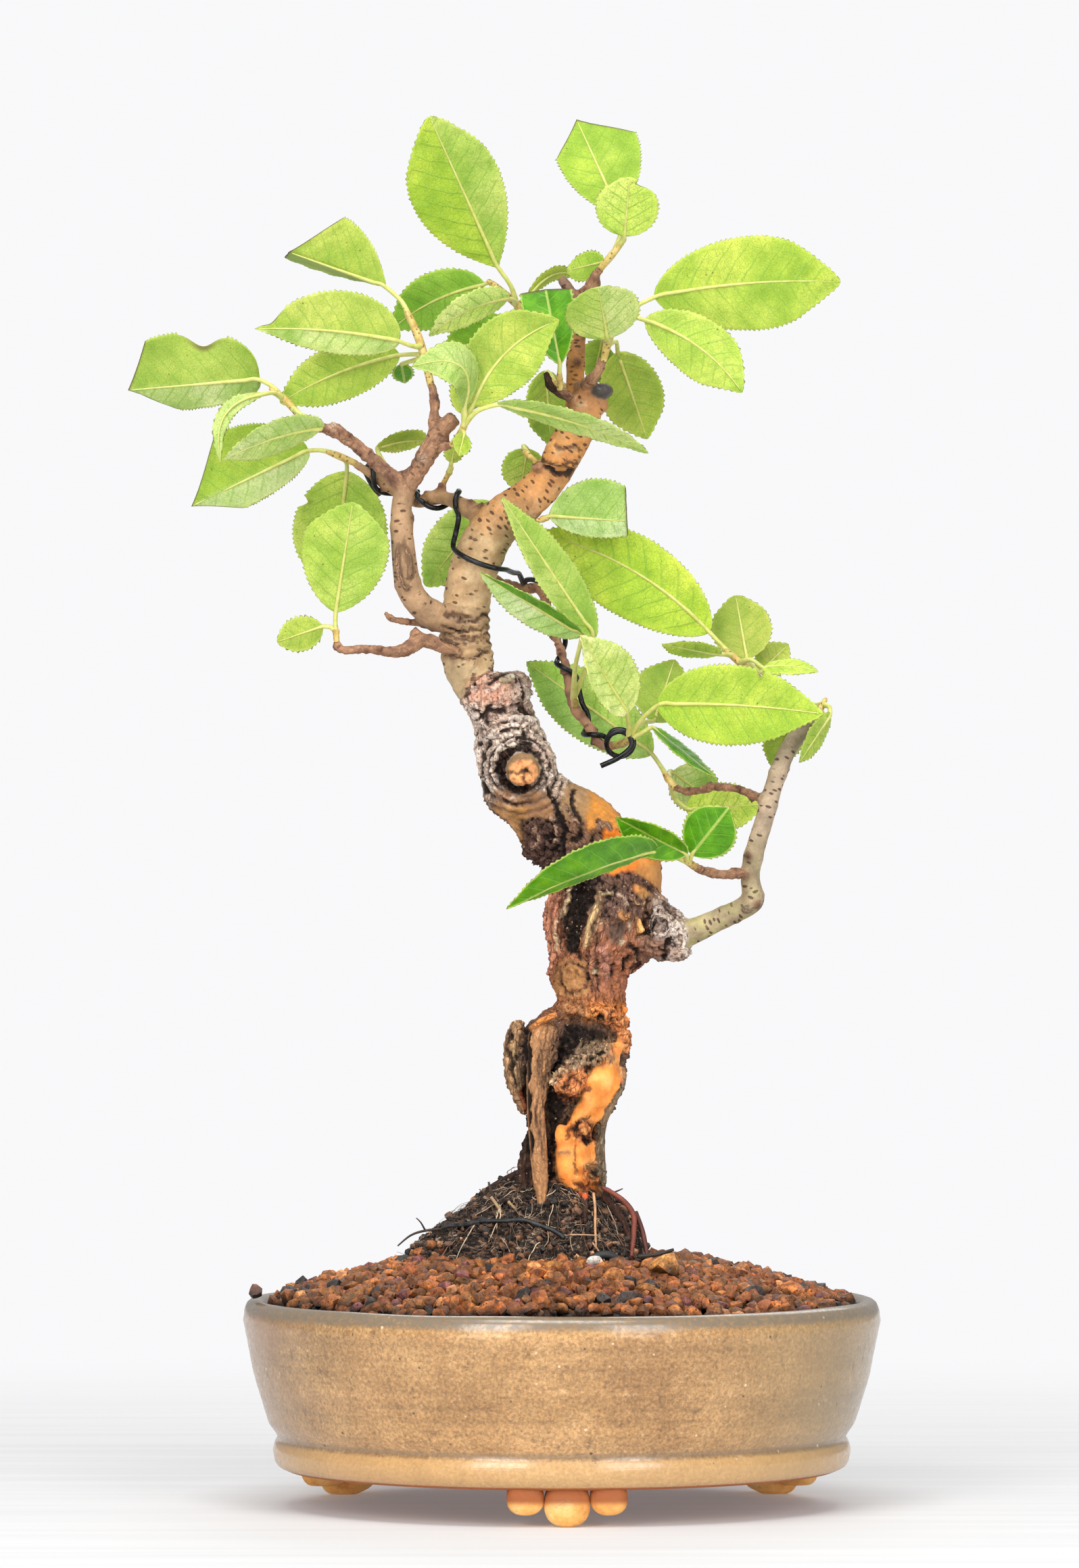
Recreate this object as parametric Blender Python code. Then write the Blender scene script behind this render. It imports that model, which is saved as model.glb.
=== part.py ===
"""Chinese quince trained as a bonsai, standing in its round glazed pot.

Sizes in this file are millimetres until a mesh is made. X runs to the right, Y away from the
viewer, Z up. The pot's axis is X = Y = 0 and the ground is Z = 0 while the pieces are modelled.
The last step moves everything so that the middle of the whole object's footprint is the origin.
"""

import math
import random

import bmesh
import bpy
from mathutils import Matrix, Vector, noise

MM = 0.001

# Clearance between pieces that touch
GAP = 0.35

# Pot, a turned wall with a rounded rim, a foot ring and three clay feet
RIM_RADIUS = 85.1
RIM_HEIGHT = 55.3
WALL = 6.6
BASE_UNDERSIDE = 9.5
BASE_TOP = 16.0
BASE_RADIUS = 73.8
FOOT_RING_RADIUS = 77.0
DRAIN_RADIUS = 9.0
POT_SEGMENTS = 36
FOOT_TURNS = (271, 31, 151)
FOOT_OUTER = 72.6
FOOT_INNER = 57.0
MIDDLE_LOBE = 5.95
SIDE_LOBE = 4.85
SIDE_LOBE_OFFSET = 10.8
SIDE_LOBE_BOTTOM = 3.0
FOOT_SIDES = 8

# Plastic mesh over the drain hole
MESH_HALF = 11.0
MESH_BAR = 1.3
MESH_THICK = 1.0
MESH_BARS = 4

# Soil and root mound
SOIL_EDGE = 54.6
SOIL_RISE = 10.0
SOIL_LEFT_RISE = 1.2
SOIL_RINGS = 9
GRAIN_RELIEF = 1.3
MOUND_BASE = 65.0
MOUND_RISE = 22.0
MOUND_RIGHT = 23.5
MOUND_LEFT = 42.0
MOUND_FRONT = 25.0
MOUND_BACK = 28.0
MOUND_BOTTOM = 34.0
MOUND_SEGMENTS = 26
MOUND_RINGS = 7

# Wires
WIRE_RADIUS = 0.72
TIE_RADIUS = 0.65
WIRE_STEP = 2.3

# Leaves
BLADE_HALF_THICK = 0.33
STALK_RADIUS = 0.72
SHOOT_SIDES = 5
STALK_SIDES = 3

# Trunk from the root base to the sealed cut: x, y, z and radius
STEM = (
    (0.9, 0, 66, 9.0),
    (0.9, 0, 76, 10.4),
    (0.9, 0, 87.5, 10.3),
    (1.5, 0, 97, 9.3),
    (1.2, 0, 103.5, 10.0),
    (2.4, 0, 110.5, 13.4),
    (1.8, 0, 117.5, 15.8),
    (5.0, 0, 124.0, 13.2),
    (6.8, 0, 128.6, 10.6),
    (7.6, 0, 132.0, 9.1),
    (8.0, 0, 137, 9.0),
    (8.0, 0, 143.5, 11.5),
    (11.0, 0, 152, 13.8),
    (12.2, 0, 160, 14.6),
    (12.0, 0, 167, 14.6),
    (8.6, 0, 172.5, 12.8),
    (5.0, 0, 177, 12.6),
    (-1.2, 0, 181.6, 11.2),
    (-6.4, 0, 186.8, 9.8),
    (-11.0, 0, 192.5, 10.0),
    (-12.8, 0, 199, 10.0),
    (-14.2, 0, 205.5, 9.4),
    (-15.8, -0.5, 211.5, 8.4),
    (-17.4, -1, 217, 9.0),
    (-20.4, -1, 221.8, 8.4),
    (-23.8, -1, 226, 6.5),
    (-25.7, -1, 234.5, 6.6),
    (-24.9, -1, 242.5, 6.3),
    (-22.2, -1, 250.5, 6.4),
    (-19.0, -1, 258.5, 6.3),
    (-12.0, -1, 265.4, 5.6),
    (-4.2, 0, 272.6, 5.3),
    (0.5, 1, 280, 5.1),
    (3.9, 1, 286.7, 4.8),
    (6.6, 1, 292.5, 5.0),
    (10.1, 1, 295.8, 4.5),
)
STEM_SIDES = 12
STEM_DEPTH = 0.9
PLAIN_BASE = 88.0

# Branches and twigs: x, y, z and radius, each starting inside the wood that carries it
BRANCHES = {
    "leader": (
        (4.2, 4, 291.1, 3.2), (3.7, 5, 300.1, 2.5), (3.9, 6, 309.7, 2.5), (4.2, 6, 316.7, 2.0),
        (2.2, 6, 323.2, 1.7), (-0.4, 6, 327.2, 1.2),
    ),
    "right_limb": (
        (24, -3.2, 151, 4.4), (32, -4.8, 151.8, 3.7), (43.4, -8, 156.8, 2.9), (50.3, -9.6, 160.8, 3.0),
        (49.9, -11.2, 166.8, 2.6), (50.8, -12.8, 173, 2.6), (53.9, -12.8, 183.5, 2.5), (57, -11.2, 194, 2.4),
        (60.3, -9.6, 201.5, 2.4), (65.3, -8, 207.6, 2.4), (68.3, -6.4, 211.6, 2.5),
    ),
    "right_limb_spur": (
        (49.7, -12, 168.4, 1.4), (42.3, -19.2, 168, 1.3), (37.4, -24, 169, 1.3),
        (34.8, -27.2, 170.3, 1.2),
    ),
    "right_limb_twig": (
        (53.9, -12.8, 187.6, 1.2), (47.6, -8, 190.2, 1.1), (41.5, -3.2, 191.2, 1.2),
        (34.5, 2, 189.9, 1.1), (30.5, 6, 190.9, 1.0),
    ),
    "right_limb_top": (
        (63.7, -7.2, 205, 1.5), (56.2, 4, 216, 1.3), (49.5, 10, 222.7, 1.2),
    ),
    "middle_twig": (
        (-22, 2, 248, 1.6), (-16, 13, 245.6, 1.5), (-10.7, 17, 244.4, 1.4),
        (-5.6, 18, 244, 1.4), (-3.4, 17, 238, 1.3), (-0.9, 16, 229.6, 1.2),
        (1.2, 14, 223.3, 1.2), (3.2, 12, 212.9, 1.5), (6.2, 10, 208.8, 1.3),
        (10.6, 6, 202.4, 1.3), (14, 4, 202.2, 1.4),
    ),
    "low_left_twig": (
        (-25, -4.8, 225.5, 2.0), (-31.6, -8, 228.4, 1.9), (-36.8, -9.6, 230.1, 1.9),
        (-40.9, -11.2, 227.7, 1.9), (-45.1, -11.2, 226.9, 1.5), (-51.4, -11.2, 227.7, 1.2),
        (-58.3, -11.2, 227.4, 1.2), (-59.5, -11.2, 229.9, 0.9),
    ),
    "low_left_stub": ((-37, -9.6, 229.5, 1.6), (-39.7, -9.6, 232.9, 1.4)),
    "small_left_spur": (
        (-30.5, -4.8, 232.5, 1.0), (-38.9, -6.4, 234.6, 0.9), (-44.6, -6.4, 235.6, 1.0),
        (-47, -6.4, 237.4, 0.8),
    ),
    "left_limb": (
        (-25.5, -3.2, 235.2, 4.2), (-31.6, -6.4, 235.9, 3.9), (-37, -9.6, 238.9, 3.6),
        (-40.6, -11.2, 244.4, 3.5), (-42, -12.8, 254.4, 3.2), (-42.5, -12.8, 264.3, 2.8),
        (-41.3, -12.8, 270.8, 2.8),
    ),
    "left_limb_outer": (
        (-41.5, -12.8, 270.3, 2.3), (-47.2, -14.4, 275.2, 1.9), (-54.5, -16, 281.5, 1.7),
        (-60.2, -17.6, 285, 1.5), (-65.9, -19.2, 286.6, 1.2), (-69.2, -19.2, 288.9, 1.1),
    ),
    "left_limb_cut": ((-56.4, -16.8, 282.3, 1.5), (-60, -17.6, 286.6, 1.4)),
    "left_limb_inner": (
        (-41.1, -12.8, 270.3, 2.5), (-37.8, -14.4, 275.4, 2.5), (-34.6, -16, 280.8, 2.7),
        (-31.5, -16.8, 285.6, 2.4), (-28.2, -17.6, 288.9, 2.1),
    ),
    "left_limb_shoot": (
        (-33.5, -16, 283.3, 1.7), (-33.8, -16, 288.2, 1.5), (-33.6, -15.2, 293.1, 1.3),
        (-34.5, -14.4, 297.8, 1.1),
    ),
    "left_limb_side": ((-32.9, -16.8, 280.3, 1.1), (-28.8, -20.8, 281.6, 1.0)),
    "wired_limb": (
        (-20, 0, 262.5, 3.0), (-25.4, 3, 265.6, 2.3), (-29.5, 6, 267.8, 1.9),
        (-33.8, 9, 268.5, 1.9), (-39, 12, 267.6, 1.7), (-45.3, 13, 270.8, 1.5),
        (-50.5, 13, 274.6, 1.3), (-55.5, 13, 277.8, 1.1),
    ),
    "back_twig": ((3.4, 7, 309.7, 1.3), (-3, 14, 313.2, 1.2), (-8.2, 18, 317.1, 1.1)),
    "crown_twig": (
        (3.6, 6, 321.2, 1.6), (7.4, 5, 323.9, 1.7), (8.6, 4, 326.9, 1.4), (10.6, 2, 329.5, 1.1),
    ),
    "crown_bud": ((7.6, 4.8, 324.3, 1.3), (10.4, 5.2, 326, 1.0)),
    "crown_spur": (
        (5, 2, 297.5, 1.5), (8.3, -5.4, 299.7, 1.4), (10, -7, 302.3, 1.3),
        (11.1, -8, 304.7, 1.0),
    ),
    "dark_stub": ((1.5, 0, 295, 1.3), (-3, -4.2, 297.5, 1.1), (-4.2, -4.8, 301.5, 0.9)),
    "petiole_stub": ((3.2, 0, 294, 1.2), (-0.2, -5.4, 296.9, 0.9)),
    "left_knob": ((-4.4, -1.6, 273.5, 2.4), (-6.9, -3.2, 277.2, 1.6)),
    "right_knob": ((-10, -1.6, 265, 2.0), (-6.6, -2.4, 262.5, 1.3)),
    "spur_bud": ((-33.5, 8.6, 268.5, 1.2), (-31.4, 8, 272.5, 0.9)),
}
BRANCH_SIDES = 6
TWIG_SIDES = 5
THICK_TWIG = 1.8

# Deadwood, rolled bark and roots that are one with the stem
RIDGES = {
    "horn": ((-10.6, -3, 129.0, 0.9), (-12.2, -3.4, 125.5, 2.6), (-12.2, -4, 119.5, 3.2),
             (-11.6, -4, 113, 3.0), (-8.6, -4, 105, 2.4)),
    "spike": ((-3.8, -7, 128.6, 2.4), (-5.4, -9.6, 125, 3.7), (-6.3, -11.4, 119, 3.0),
              (-7.0, -12.6, 108, 2.5),
              (-6.4, -13, 97, 2.3), (-5.6, -13.6, 87, 1.9), (-5.3, -14.6, 79, 0.8)),
    "bark_roll": ((0.5, -6, 166, 1.8), (-1.4, -6, 156, 2.6), (-0.6, -5.6, 147, 2.3),
                  (3, -5, 139, 1.8)),
    "strip": ((13.5, -11.5, 122, 2.6), (10.5, -12.5, 112, 3.0), (5.6, -10.8, 103, 3.4),
              (4.4, -10.2, 93, 3.4), (7.2, -8.8, 85.5, 2.6)),
}
RIDGE_SIDES = 6
# Each lump: centre, half sizes
LUMPS = {
    "burl": ((28.6, -3.4, 152.6), (7.0, 7.6, 7.8)),
    "upper_bump": ((8.2, 0, 179.8), (8.0, 9.5, 7.8)),
    "lower_bump": ((16.6, -1, 166.8), (10.2, 11.5, 8.4)),
    "knot": ((3.2, -12.0, 113.6), (5.4, 4.2, 4.6)),
}
# Each hollow: points and radii of the tube that is taken out of the front of the stem
HOLLOWS = {
    "lower": ((3.4, -17.5, 128, 4.4), (-0.6, -17, 119, 4.6), (-1.0, -14.8, 108, 3.6),
              (-1.8, -12.6, 97, 2.8), (-2.0, -13.2, 89.5, 1.6)),
    "lower_top": ((-1, -15.5, 124.5, 3.4), (9.5, -15.5, 123.0, 3.0)),
    "upper": ((3.6, -16.5, 168, 3.2), (2.2, -16.8, 158, 4.6), (1.0, -14.8, 150.5, 3.4)),
}
CUT_COLLAR = (-11.2, -8.0, 196.4)
CUT_COLLAR_RING = 6.9
CUT_COLLAR_BEAD = 2.3
CUT_STUB = 4.8
# Surface roots over the mound, part of the same wood: x, y, height above the mound, radius
ROOTS = {
    "root_right": ((7.5, -4.5, 1.4, 1.8), (12.5, -8.5, 1.4, 1.4), (16.4, -10.5, 1.5, 1.2),
                   (18.2, -13.0, 1.7, 1.0)),
    "root_front": ((5.2, -7.0, 0.9, 1.4), (6.0, -13.5, 0.9, 1.0), (6.2, -18.5, 0.9, 0.8)),
    "root_back": ((2.0, 5.5, 1.2, 2.2), (1.0, 13, 1.4, 1.7), (-2, 19.5, 1.4, 1.2)),
    "root_left": ((-5.5, 2.5, 0.7, 2.2), (-14, 5, 0.6, 1.7), (-22, 7.5, 0.7, 1.2)),
}

# Training wire: its loose ends, the stretch between its two windings, and the windings as pairs
# of share of the branch and turns. Turn 0 faces the viewer
WIRE_START = ((-48.6, 15.9, 269.6), (-50.6, 16.9, 271.8))
WIRED_LIMB_TURNS = (
    (0.075, -0.5), (0.085, -0.25), (0.141, 0.0), (0.207, 0.25), (0.320, 0.5), (0.434, 0.75),
    (0.525, 1.0), (0.598, 1.25), (0.675, 1.5), (0.741, 1.75), (0.795, 2.0), (0.827, 2.12),
)
WIRE_BRIDGE = (
    (-27.4, -2.8, 262.8), (-28.2, -1.6, 258.6), (-28.8, -3.6, 255.0), (-26.8, -7.2, 252.8),
    (-22.4, -9.2, 250.6), (-17.8, -8.4, 249.2), (-14.9, -4.6, 248.9), (-13.9, 0.4, 248.6),
    (-12.8, 5.4, 248.3), (-11.4, 10.2, 248.1),
)
MIDDLE_TWIG_TURNS = (
    (0.248, -0.1), (0.340, -0.45), (0.524, -1.3), (0.635, -2.0), (0.663, -2.22), (0.802, -2.32),
    (0.841, -2.5), (0.881, -2.8), (0.920, -3.05), (0.960, -3.35),
)
WIRE_TAIL = (
    (14.1, 8, 205.2), (16.8, 7.4, 206.6), (19.4, 5, 205.2), (20.6, 1.6, 202.6),
    (18.6, -0.8, 200), (14.6, -1.4, 198.2), (10.3, -1.8, 196.7),
)

# Tie wire over the mound: x and y, the height follows the mound
TIE_ROUTE = (
    (-31.5, -9), (-26, -12.5), (-20.5, -15), (-14, -17), (-8.5, -18.6), (-3.4, -20.4), (0.6, -22),
)


def catmull(points, step):
    """Points on a smooth curve through the given ones, about step apart; extra columns follow."""
    rows = [Vector(p) for p in points]
    found = []
    for i in range(len(rows) - 1):
        before = rows[max(i - 1, 0)]
        start = rows[i]
        end = rows[i + 1]
        after = rows[min(i + 2, len(rows) - 1)]
        parts = max(1, round((end - start).length / step))
        for k in range(parts):
            t = k / parts
            found.append(
                0.5 * (2 * start + (end - before) * t
                       + (2 * before - 5 * start + 4 * end - after) * t * t
                       + (3 * start - before - 3 * end + after) * t ** 3)
            )
    found.append(rows[-1])
    return found


def new_object(name, verts, faces):
    """A mesh object from millimetre points."""
    mesh = bpy.data.meshes.new(name)
    mesh.from_pydata([tuple(Vector(v[:3]) * MM) for v in verts], [], faces)
    obj = bpy.data.objects.new(name, mesh)
    bpy.context.scene.collection.objects.link(obj)
    return obj


def ring_faces(rings, sides):
    """Side quads between rings of points, and a flat cap at each end."""
    faces = []
    for i in range(rings - 1):
        for k in range(sides):
            a = i * sides + k
            b = i * sides + (k + 1) % sides
            faces.append((a, b, b + sides, a + sides))
    faces.append(tuple(reversed(range(sides))))
    faces.append(tuple(range((rings - 1) * sides, rings * sides)))
    return faces


def tube(name, path, sides, grow=0.0, depth=1.0, wobble=0.0, plain_below=-1.0):
    """A closed tube along path, whose points are x, y, z and radius."""
    centres = [Vector(p[:3]) for p in path]
    radii = [p[3] + grow for p in path]
    if grow:
        centres[0] -= (centres[1] - centres[0]).normalized() * grow
        centres[-1] += (centres[-1] - centres[-2]).normalized() * grow
    across = None
    verts = []
    for i, centre in enumerate(centres):
        ahead = centres[min(i + 1, len(centres) - 1)] - centres[max(i - 1, 0)]
        ahead.normalize()
        if across is None:
            across = ahead.cross(Vector((0, 1, 0)))
            if across.length < 0.2:
                across = ahead.cross(Vector((0, 0, 1)))
        across = (across - ahead * across.dot(ahead)).normalized()
        other = ahead.cross(across)
        for k in range(sides):
            turn = math.tau * k / sides
            point = across * math.cos(turn) + other * (math.sin(turn) * depth)
            size = radii[i]
            if wobble and centre.z > plain_below:
                size *= 1 + wobble * noise.noise((centre + point * size) * 0.09)
            verts.append(centre + point * size)
    return new_object(name, verts, ring_faces(len(centres), sides))


def lump(name, centre, half, level=2):
    """An ellipsoid of flat triangles."""
    work = bmesh.new()
    bmesh.ops.create_icosphere(work, subdivisions=level, radius=1.0)
    for v in work.verts:
        v.co = (Vector(centre) + Vector([v.co[i] * half[i] for i in range(3)])) * MM
    mesh = bpy.data.meshes.new(name)
    work.to_mesh(mesh)
    work.free()
    obj = bpy.data.objects.new(name, mesh)
    bpy.context.scene.collection.objects.link(obj)
    return obj


def lathe(name, profile, segments):
    """A solid turned about Z from a closed outline of radius and height."""
    verts = []
    for k in range(segments):
        turn = math.tau * k / segments
        verts += [(r * math.cos(turn), r * math.sin(turn), z) for r, z in profile]
    count = len(profile)
    faces = []
    for k in range(segments):
        for i in range(count):
            a = k * count + i
            b = k * count + (i + 1) % count
            c = ((k + 1) % segments) * count + (i + 1) % count
            d = ((k + 1) % segments) * count + i
            faces.append((a, d, c, b))
    return new_object(name, verts, faces)


def outward(obj):
    """Turns the faces of a closed mesh outwards, when all of them point inwards."""
    work = bmesh.new()
    work.from_mesh(obj.data)
    if work.calc_volume(signed=True) < 0:
        bmesh.ops.reverse_faces(work, faces=work.faces)
    work.to_mesh(obj.data)
    work.free()


def drop(objects):
    for obj in list(objects):
        bpy.data.objects.remove(obj, do_unlink=True)


def combine(base, others, operation, solver="MANIFOLD"):
    """Joins the others to base, or cuts them from it, by one Boolean that is applied."""
    group = bpy.data.collections.new(base.name + "_parts")
    bpy.context.scene.collection.children.link(group)
    for obj in others:
        outward(obj)
        group.objects.link(obj)
        bpy.context.scene.collection.objects.unlink(obj)
    outward(base)
    step = base.modifiers.new("join", "BOOLEAN")
    step.operation = operation
    step.operand_type = "COLLECTION"
    step.collection = group
    step.solver = solver
    graph = bpy.context.evaluated_depsgraph_get()
    mesh = bpy.data.meshes.new_from_object(base.evaluated_get(graph))
    base.modifiers.clear()
    base.data = mesh
    drop(others)
    bpy.data.collections.remove(group)
    return base


def cut(base, cutters):
    """Cuts each closed solid from base, one after the other."""
    for cutter in cutters:
        combine(base, [cutter], "DIFFERENCE")
    return base


def clean_seams(obj, sizes=(0.03, 0.022, 0.015, 0.01, 0.006, 0.003)):
    """Takes out the slivers that Booleans leave along their seams, the widest that come out
    with the mesh still closed."""
    for size in sizes:
        work = bmesh.new()
        work.from_mesh(obj.data)
        for _ in range(3):
            bmesh.ops.dissolve_degenerate(work, dist=size * MM, edges=work.edges[:])
            bmesh.ops.triangulate(work, faces=[f for f in work.faces if len(f.verts) > 3])
        closed = all(len(edge.link_faces) == 2 for edge in work.edges)
        if closed:
            work.to_mesh(obj.data)
        work.free()
        if closed:
            return


def material(name, color, roughness, metallic=0.0):
    """A plain Principled finish."""
    made = bpy.data.materials.new(name)
    made.use_nodes = True
    shader = made.node_tree.nodes["Principled BSDF"]
    shader.inputs["Base Color"].default_value = (*color, 1.0)
    shader.inputs["Roughness"].default_value = roughness
    shader.inputs["Metallic"].default_value = metallic
    return made


def finish(obj, made, smooth_angle=50):
    """Gives a finished solid its material and smooth shading up to the given angle."""
    obj.data.materials.clear()
    obj.data.materials.append(made)
    obj.data.shade_smooth()
    obj.data.set_sharp_from_angle(angle=math.radians(smooth_angle))
    return obj


def pot_outline():
    """Closed outline of the turned pot, from the drain hole out, up, over the rim and back."""
    inner = RIM_RADIUS - WALL
    return (
        (DRAIN_RADIUS, BASE_UNDERSIDE),
        (BASE_RADIUS - 0.6, BASE_UNDERSIDE + 0.2),
        (FOOT_RING_RADIUS - 1.0, 11.6),
        (FOOT_RING_RADIUS, 14.4),
        (FOOT_RING_RADIUS - 0.7, 17.2),
        (FOOT_RING_RADIUS - 0.3, 18.8),
        (79.0, 25.0),
        (82.3, 35.0),
        (83.8, 42.0),
        (RIM_RADIUS, 49.5),
        (RIM_RADIUS, 52.6),
        (RIM_RADIUS - 1.5, RIM_HEIGHT - 0.7),
        (RIM_RADIUS - 3.6, RIM_HEIGHT),
        (inner + 0.9, RIM_HEIGHT - 1.0),
        (inner, 52.0),
        (inner - 2.6, 34.0),
        (inner - 8.0, 19.4),
        (inner - 14.0, BASE_TOP + 0.2),
        (DRAIN_RADIUS + 1.0, BASE_TOP),
    )


def foot_lobe(name, turn, offset, half_width, bottom):
    """One rounded lobe of a foot: rings across a radial run, with a flat spot at the bottom."""
    outward_way = Vector((math.cos(turn), math.sin(turn), 0))
    side_way = Vector((-math.sin(turn), math.cos(turn), 0))
    flat = math.cos(math.pi / FOOT_SIDES)
    top = BASE_UNDERSIDE + 2.4
    rings = (
        (FOOT_OUTER, 0.62, bottom + 1.8),
        (FOOT_OUTER - 1.0, 0.9, bottom + 0.4),
        (FOOT_OUTER - 2.4, 1.0, bottom),
        (FOOT_OUTER - 9.0, 1.0, bottom),
        (FOOT_INNER, 0.8, bottom + 4.6),
    )
    verts = []
    for reach, width, low in rings:
        half_height = (top - low) / 2
        for k in range(FOOT_SIDES):
            angle = math.tau * (k + 0.5) / FOOT_SIDES - math.pi / 2
            side = half_width * width * math.cos(angle) / flat
            height = low + half_height + half_height * math.sin(angle) / flat
            verts.append(outward_way * reach + side_way * (offset + side) + Vector((0, 0, height)))
    return new_object(name, verts, ring_faces(len(rings), FOOT_SIDES))


def make_pot():
    pot = lathe("pot", pot_outline(), POT_SEGMENTS)
    lobes = []
    for degrees in FOOT_TURNS:
        turn = math.radians(degrees)
        lobes.append(foot_lobe("lobe", turn, 0, MIDDLE_LOBE, 0.0))
        for side in (-1, 1):
            lobes.append(foot_lobe("lobe", turn, side * SIDE_LOBE_OFFSET, SIDE_LOBE,
            SIDE_LOBE_BOTTOM))
    combine(pot, lobes, "UNION")
    clean_seams(pot)
    return finish(pot, material("glazed_stoneware", (0.42, 0.34, 0.25), 0.35))


def make_drain_mesh():
    """A square grid of flat bars that lies on the floor over the drain hole."""
    bars = []
    low = BASE_TOP + 0.4
    pitch = (2 * MESH_HALF - MESH_BAR) / (MESH_BARS - 1)
    for k in range(MESH_BARS):
        place = -MESH_HALF + MESH_BAR / 2 + k * pitch
        for along_x in (True, False):
            half = Vector((MESH_HALF, MESH_BAR / 2, 0) if along_x else (MESH_BAR / 2, MESH_HALF, 0))
            middle = Vector((0, place, 0) if along_x else (place, 0, 0))
            corners = [(-1, -1), (1, -1), (1, 1), (-1, 1)]
            verts = []
            for z in (low, low + MESH_THICK):
                verts += [middle + Vector((sx * half.x, sy * half.y, z)) for sx, sy in corners]
            bars.append(new_object("bar", verts, ring_faces(2, 4)))
    grid = combine(bars[0], bars[1:], "UNION")
    grid.name = "drain_mesh"
    return finish(grid, material("mesh_plastic", (0.05, 0.16, 0.09), 0.6))


def soil_height(x, y):
    """Height of the soil's surface before its grain relief."""
    reach = math.hypot(x, y)
    rise = max(0.0, min(1.0, (78.0 - reach) / 48.0))
    rise = rise * rise * (3 - 2 * rise)
    left = max(0.0, -x / 78.0)
    return SOIL_EDGE + SOIL_RISE * rise ** 0.8 + SOIL_LEFT_RISE * left * (rise > 0.02)


def mound_edge(turn):
    """Reach of the root mound from the stem in a direction."""
    side = MOUND_RIGHT if math.cos(turn) > 0 else MOUND_LEFT
    depth = MOUND_BACK if math.sin(turn) > 0 else MOUND_FRONT
    return 1 / math.hypot(math.cos(turn) / side, math.sin(turn) / depth)


def mound_height(x, y):
    """Height of the root mound's surface, and below its edge the height there."""
    share = math.hypot(x, y) / mound_edge(math.atan2(y, x))
    fall = max(0.0, 1 - min(share, 1.0) ** 1.8) ** 0.85
    lumps = 1.1 * noise.noise(Vector((x, y, 0)) * 0.16 + Vector((7, 3, 1)))
    return MOUND_BASE + MOUND_RISE * fall + lumps * (1 - min(share, 1.0) ** 2)


def mound_solid(name, grow=0.0):
    """The root mound: a domed top, and a bowl below the soil's surface."""
    verts = []
    below = ((1.0, 61.0), (0.9, 50.0), (0.66, MOUND_BOTTOM))
    for ring in range(MOUND_RINGS):
        share = (ring + 1) / MOUND_RINGS
        for k in range(MOUND_SEGMENTS):
            turn = math.tau * k / MOUND_SEGMENTS
            reach = mound_edge(turn) * share
            x, y = reach * math.cos(turn), reach * math.sin(turn)
            out = grow * share
            verts.append((x + out * math.cos(turn), y + out * math.sin(turn),
                          mound_height(x, y) + grow))
    for share, z in below:
        for k in range(MOUND_SEGMENTS):
            turn = math.tau * k / MOUND_SEGMENTS
            reach = mound_edge(turn) * share + grow
            verts.append((reach * math.cos(turn), reach * math.sin(turn),
                          z - grow * (z == MOUND_BOTTOM)))
    rings = MOUND_RINGS + len(below)
    return new_object(name, verts, ring_faces(rings, MOUND_SEGMENTS))


def make_mound():
    mound = mound_solid("root_mound")
    cut(mound, [stem_solid("stem_hole", grow=GAP, plain=True)]
        + [tube("ridge_hole", RIDGES["spike"], RIDGE_SIDES, grow=GAP)]
        + [tube("ridge_hole", RIDGES["strip"], RIDGE_SIDES, grow=GAP)])
    return finish(mound, material("root_muck", (0.03, 0.022, 0.016), 0.95))


def make_soil():
    """The soil fills the pot up to its surface, whose grains are raised as relief."""
    draw = random.Random(11)
    inner = RIM_RADIUS - WALL - GAP
    wall = ((inner - 0.2, SOIL_EDGE - 2.6), (inner - 2.7, 34.0), (inner - 8.2, 19.6),
            (inner - 14.3, BASE_TOP + 0.7))
    pocket = MESH_HALF * math.sqrt(2) + 1.0
    floor = ((pocket + 0.6, BASE_TOP + 0.5), (pocket, BASE_TOP + 2.0))
    verts = []
    for ring in range(SOIL_RINGS):
        reach = (inner - 0.3) * (ring + 0.6) / (SOIL_RINGS - 0.4)
        for k in range(POT_SEGMENTS):
            shift = 0.5 * (ring % 2) if ring < SOIL_RINGS - 1 else 0.0
            turn = math.tau * (k + shift) / POT_SEGMENTS
            x, y = reach * math.cos(turn), reach * math.sin(turn)
            raised = GRAIN_RELIEF * ((k + ring) % 2) * draw.uniform(0.4, 1.3)
            if ring == SOIL_RINGS - 1:
                raised = 0.0
            verts.append((x, y, soil_height(x, y) + raised - 0.4))
    for reach, z in wall + floor:
        for k in range(POT_SEGMENTS):
            turn = math.tau * k / POT_SEGMENTS
            verts.append((reach * math.cos(turn), reach * math.sin(turn), z))
    soil = new_object("soil", verts, ring_faces(SOIL_RINGS + len(wall + floor), POT_SEGMENTS))
    cut(soil, [mound_solid("mound_hole", grow=GAP)])
    clean_seams(soil)
    return finish(soil, material("clay_granules", (0.2, 0.085, 0.05), 0.95))


def stem_solid(name, grow=0.0, plain=False):
    """The stem as a tube; the plain one is only its lower end, for the hole that it stands in."""
    path = [p for p in STEM if p[2] < 95] if plain else STEM
    return tube(name, path, STEM_SIDES, grow, STEM_DEPTH, 0.16, PLAIN_BASE)


def root_path(points):
    """A root's x, y, height above the mound and radius, as a path in space."""
    return [(x, y, mound_height(x, y) + lift + r, r) for x, y, lift, r in points]


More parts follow.
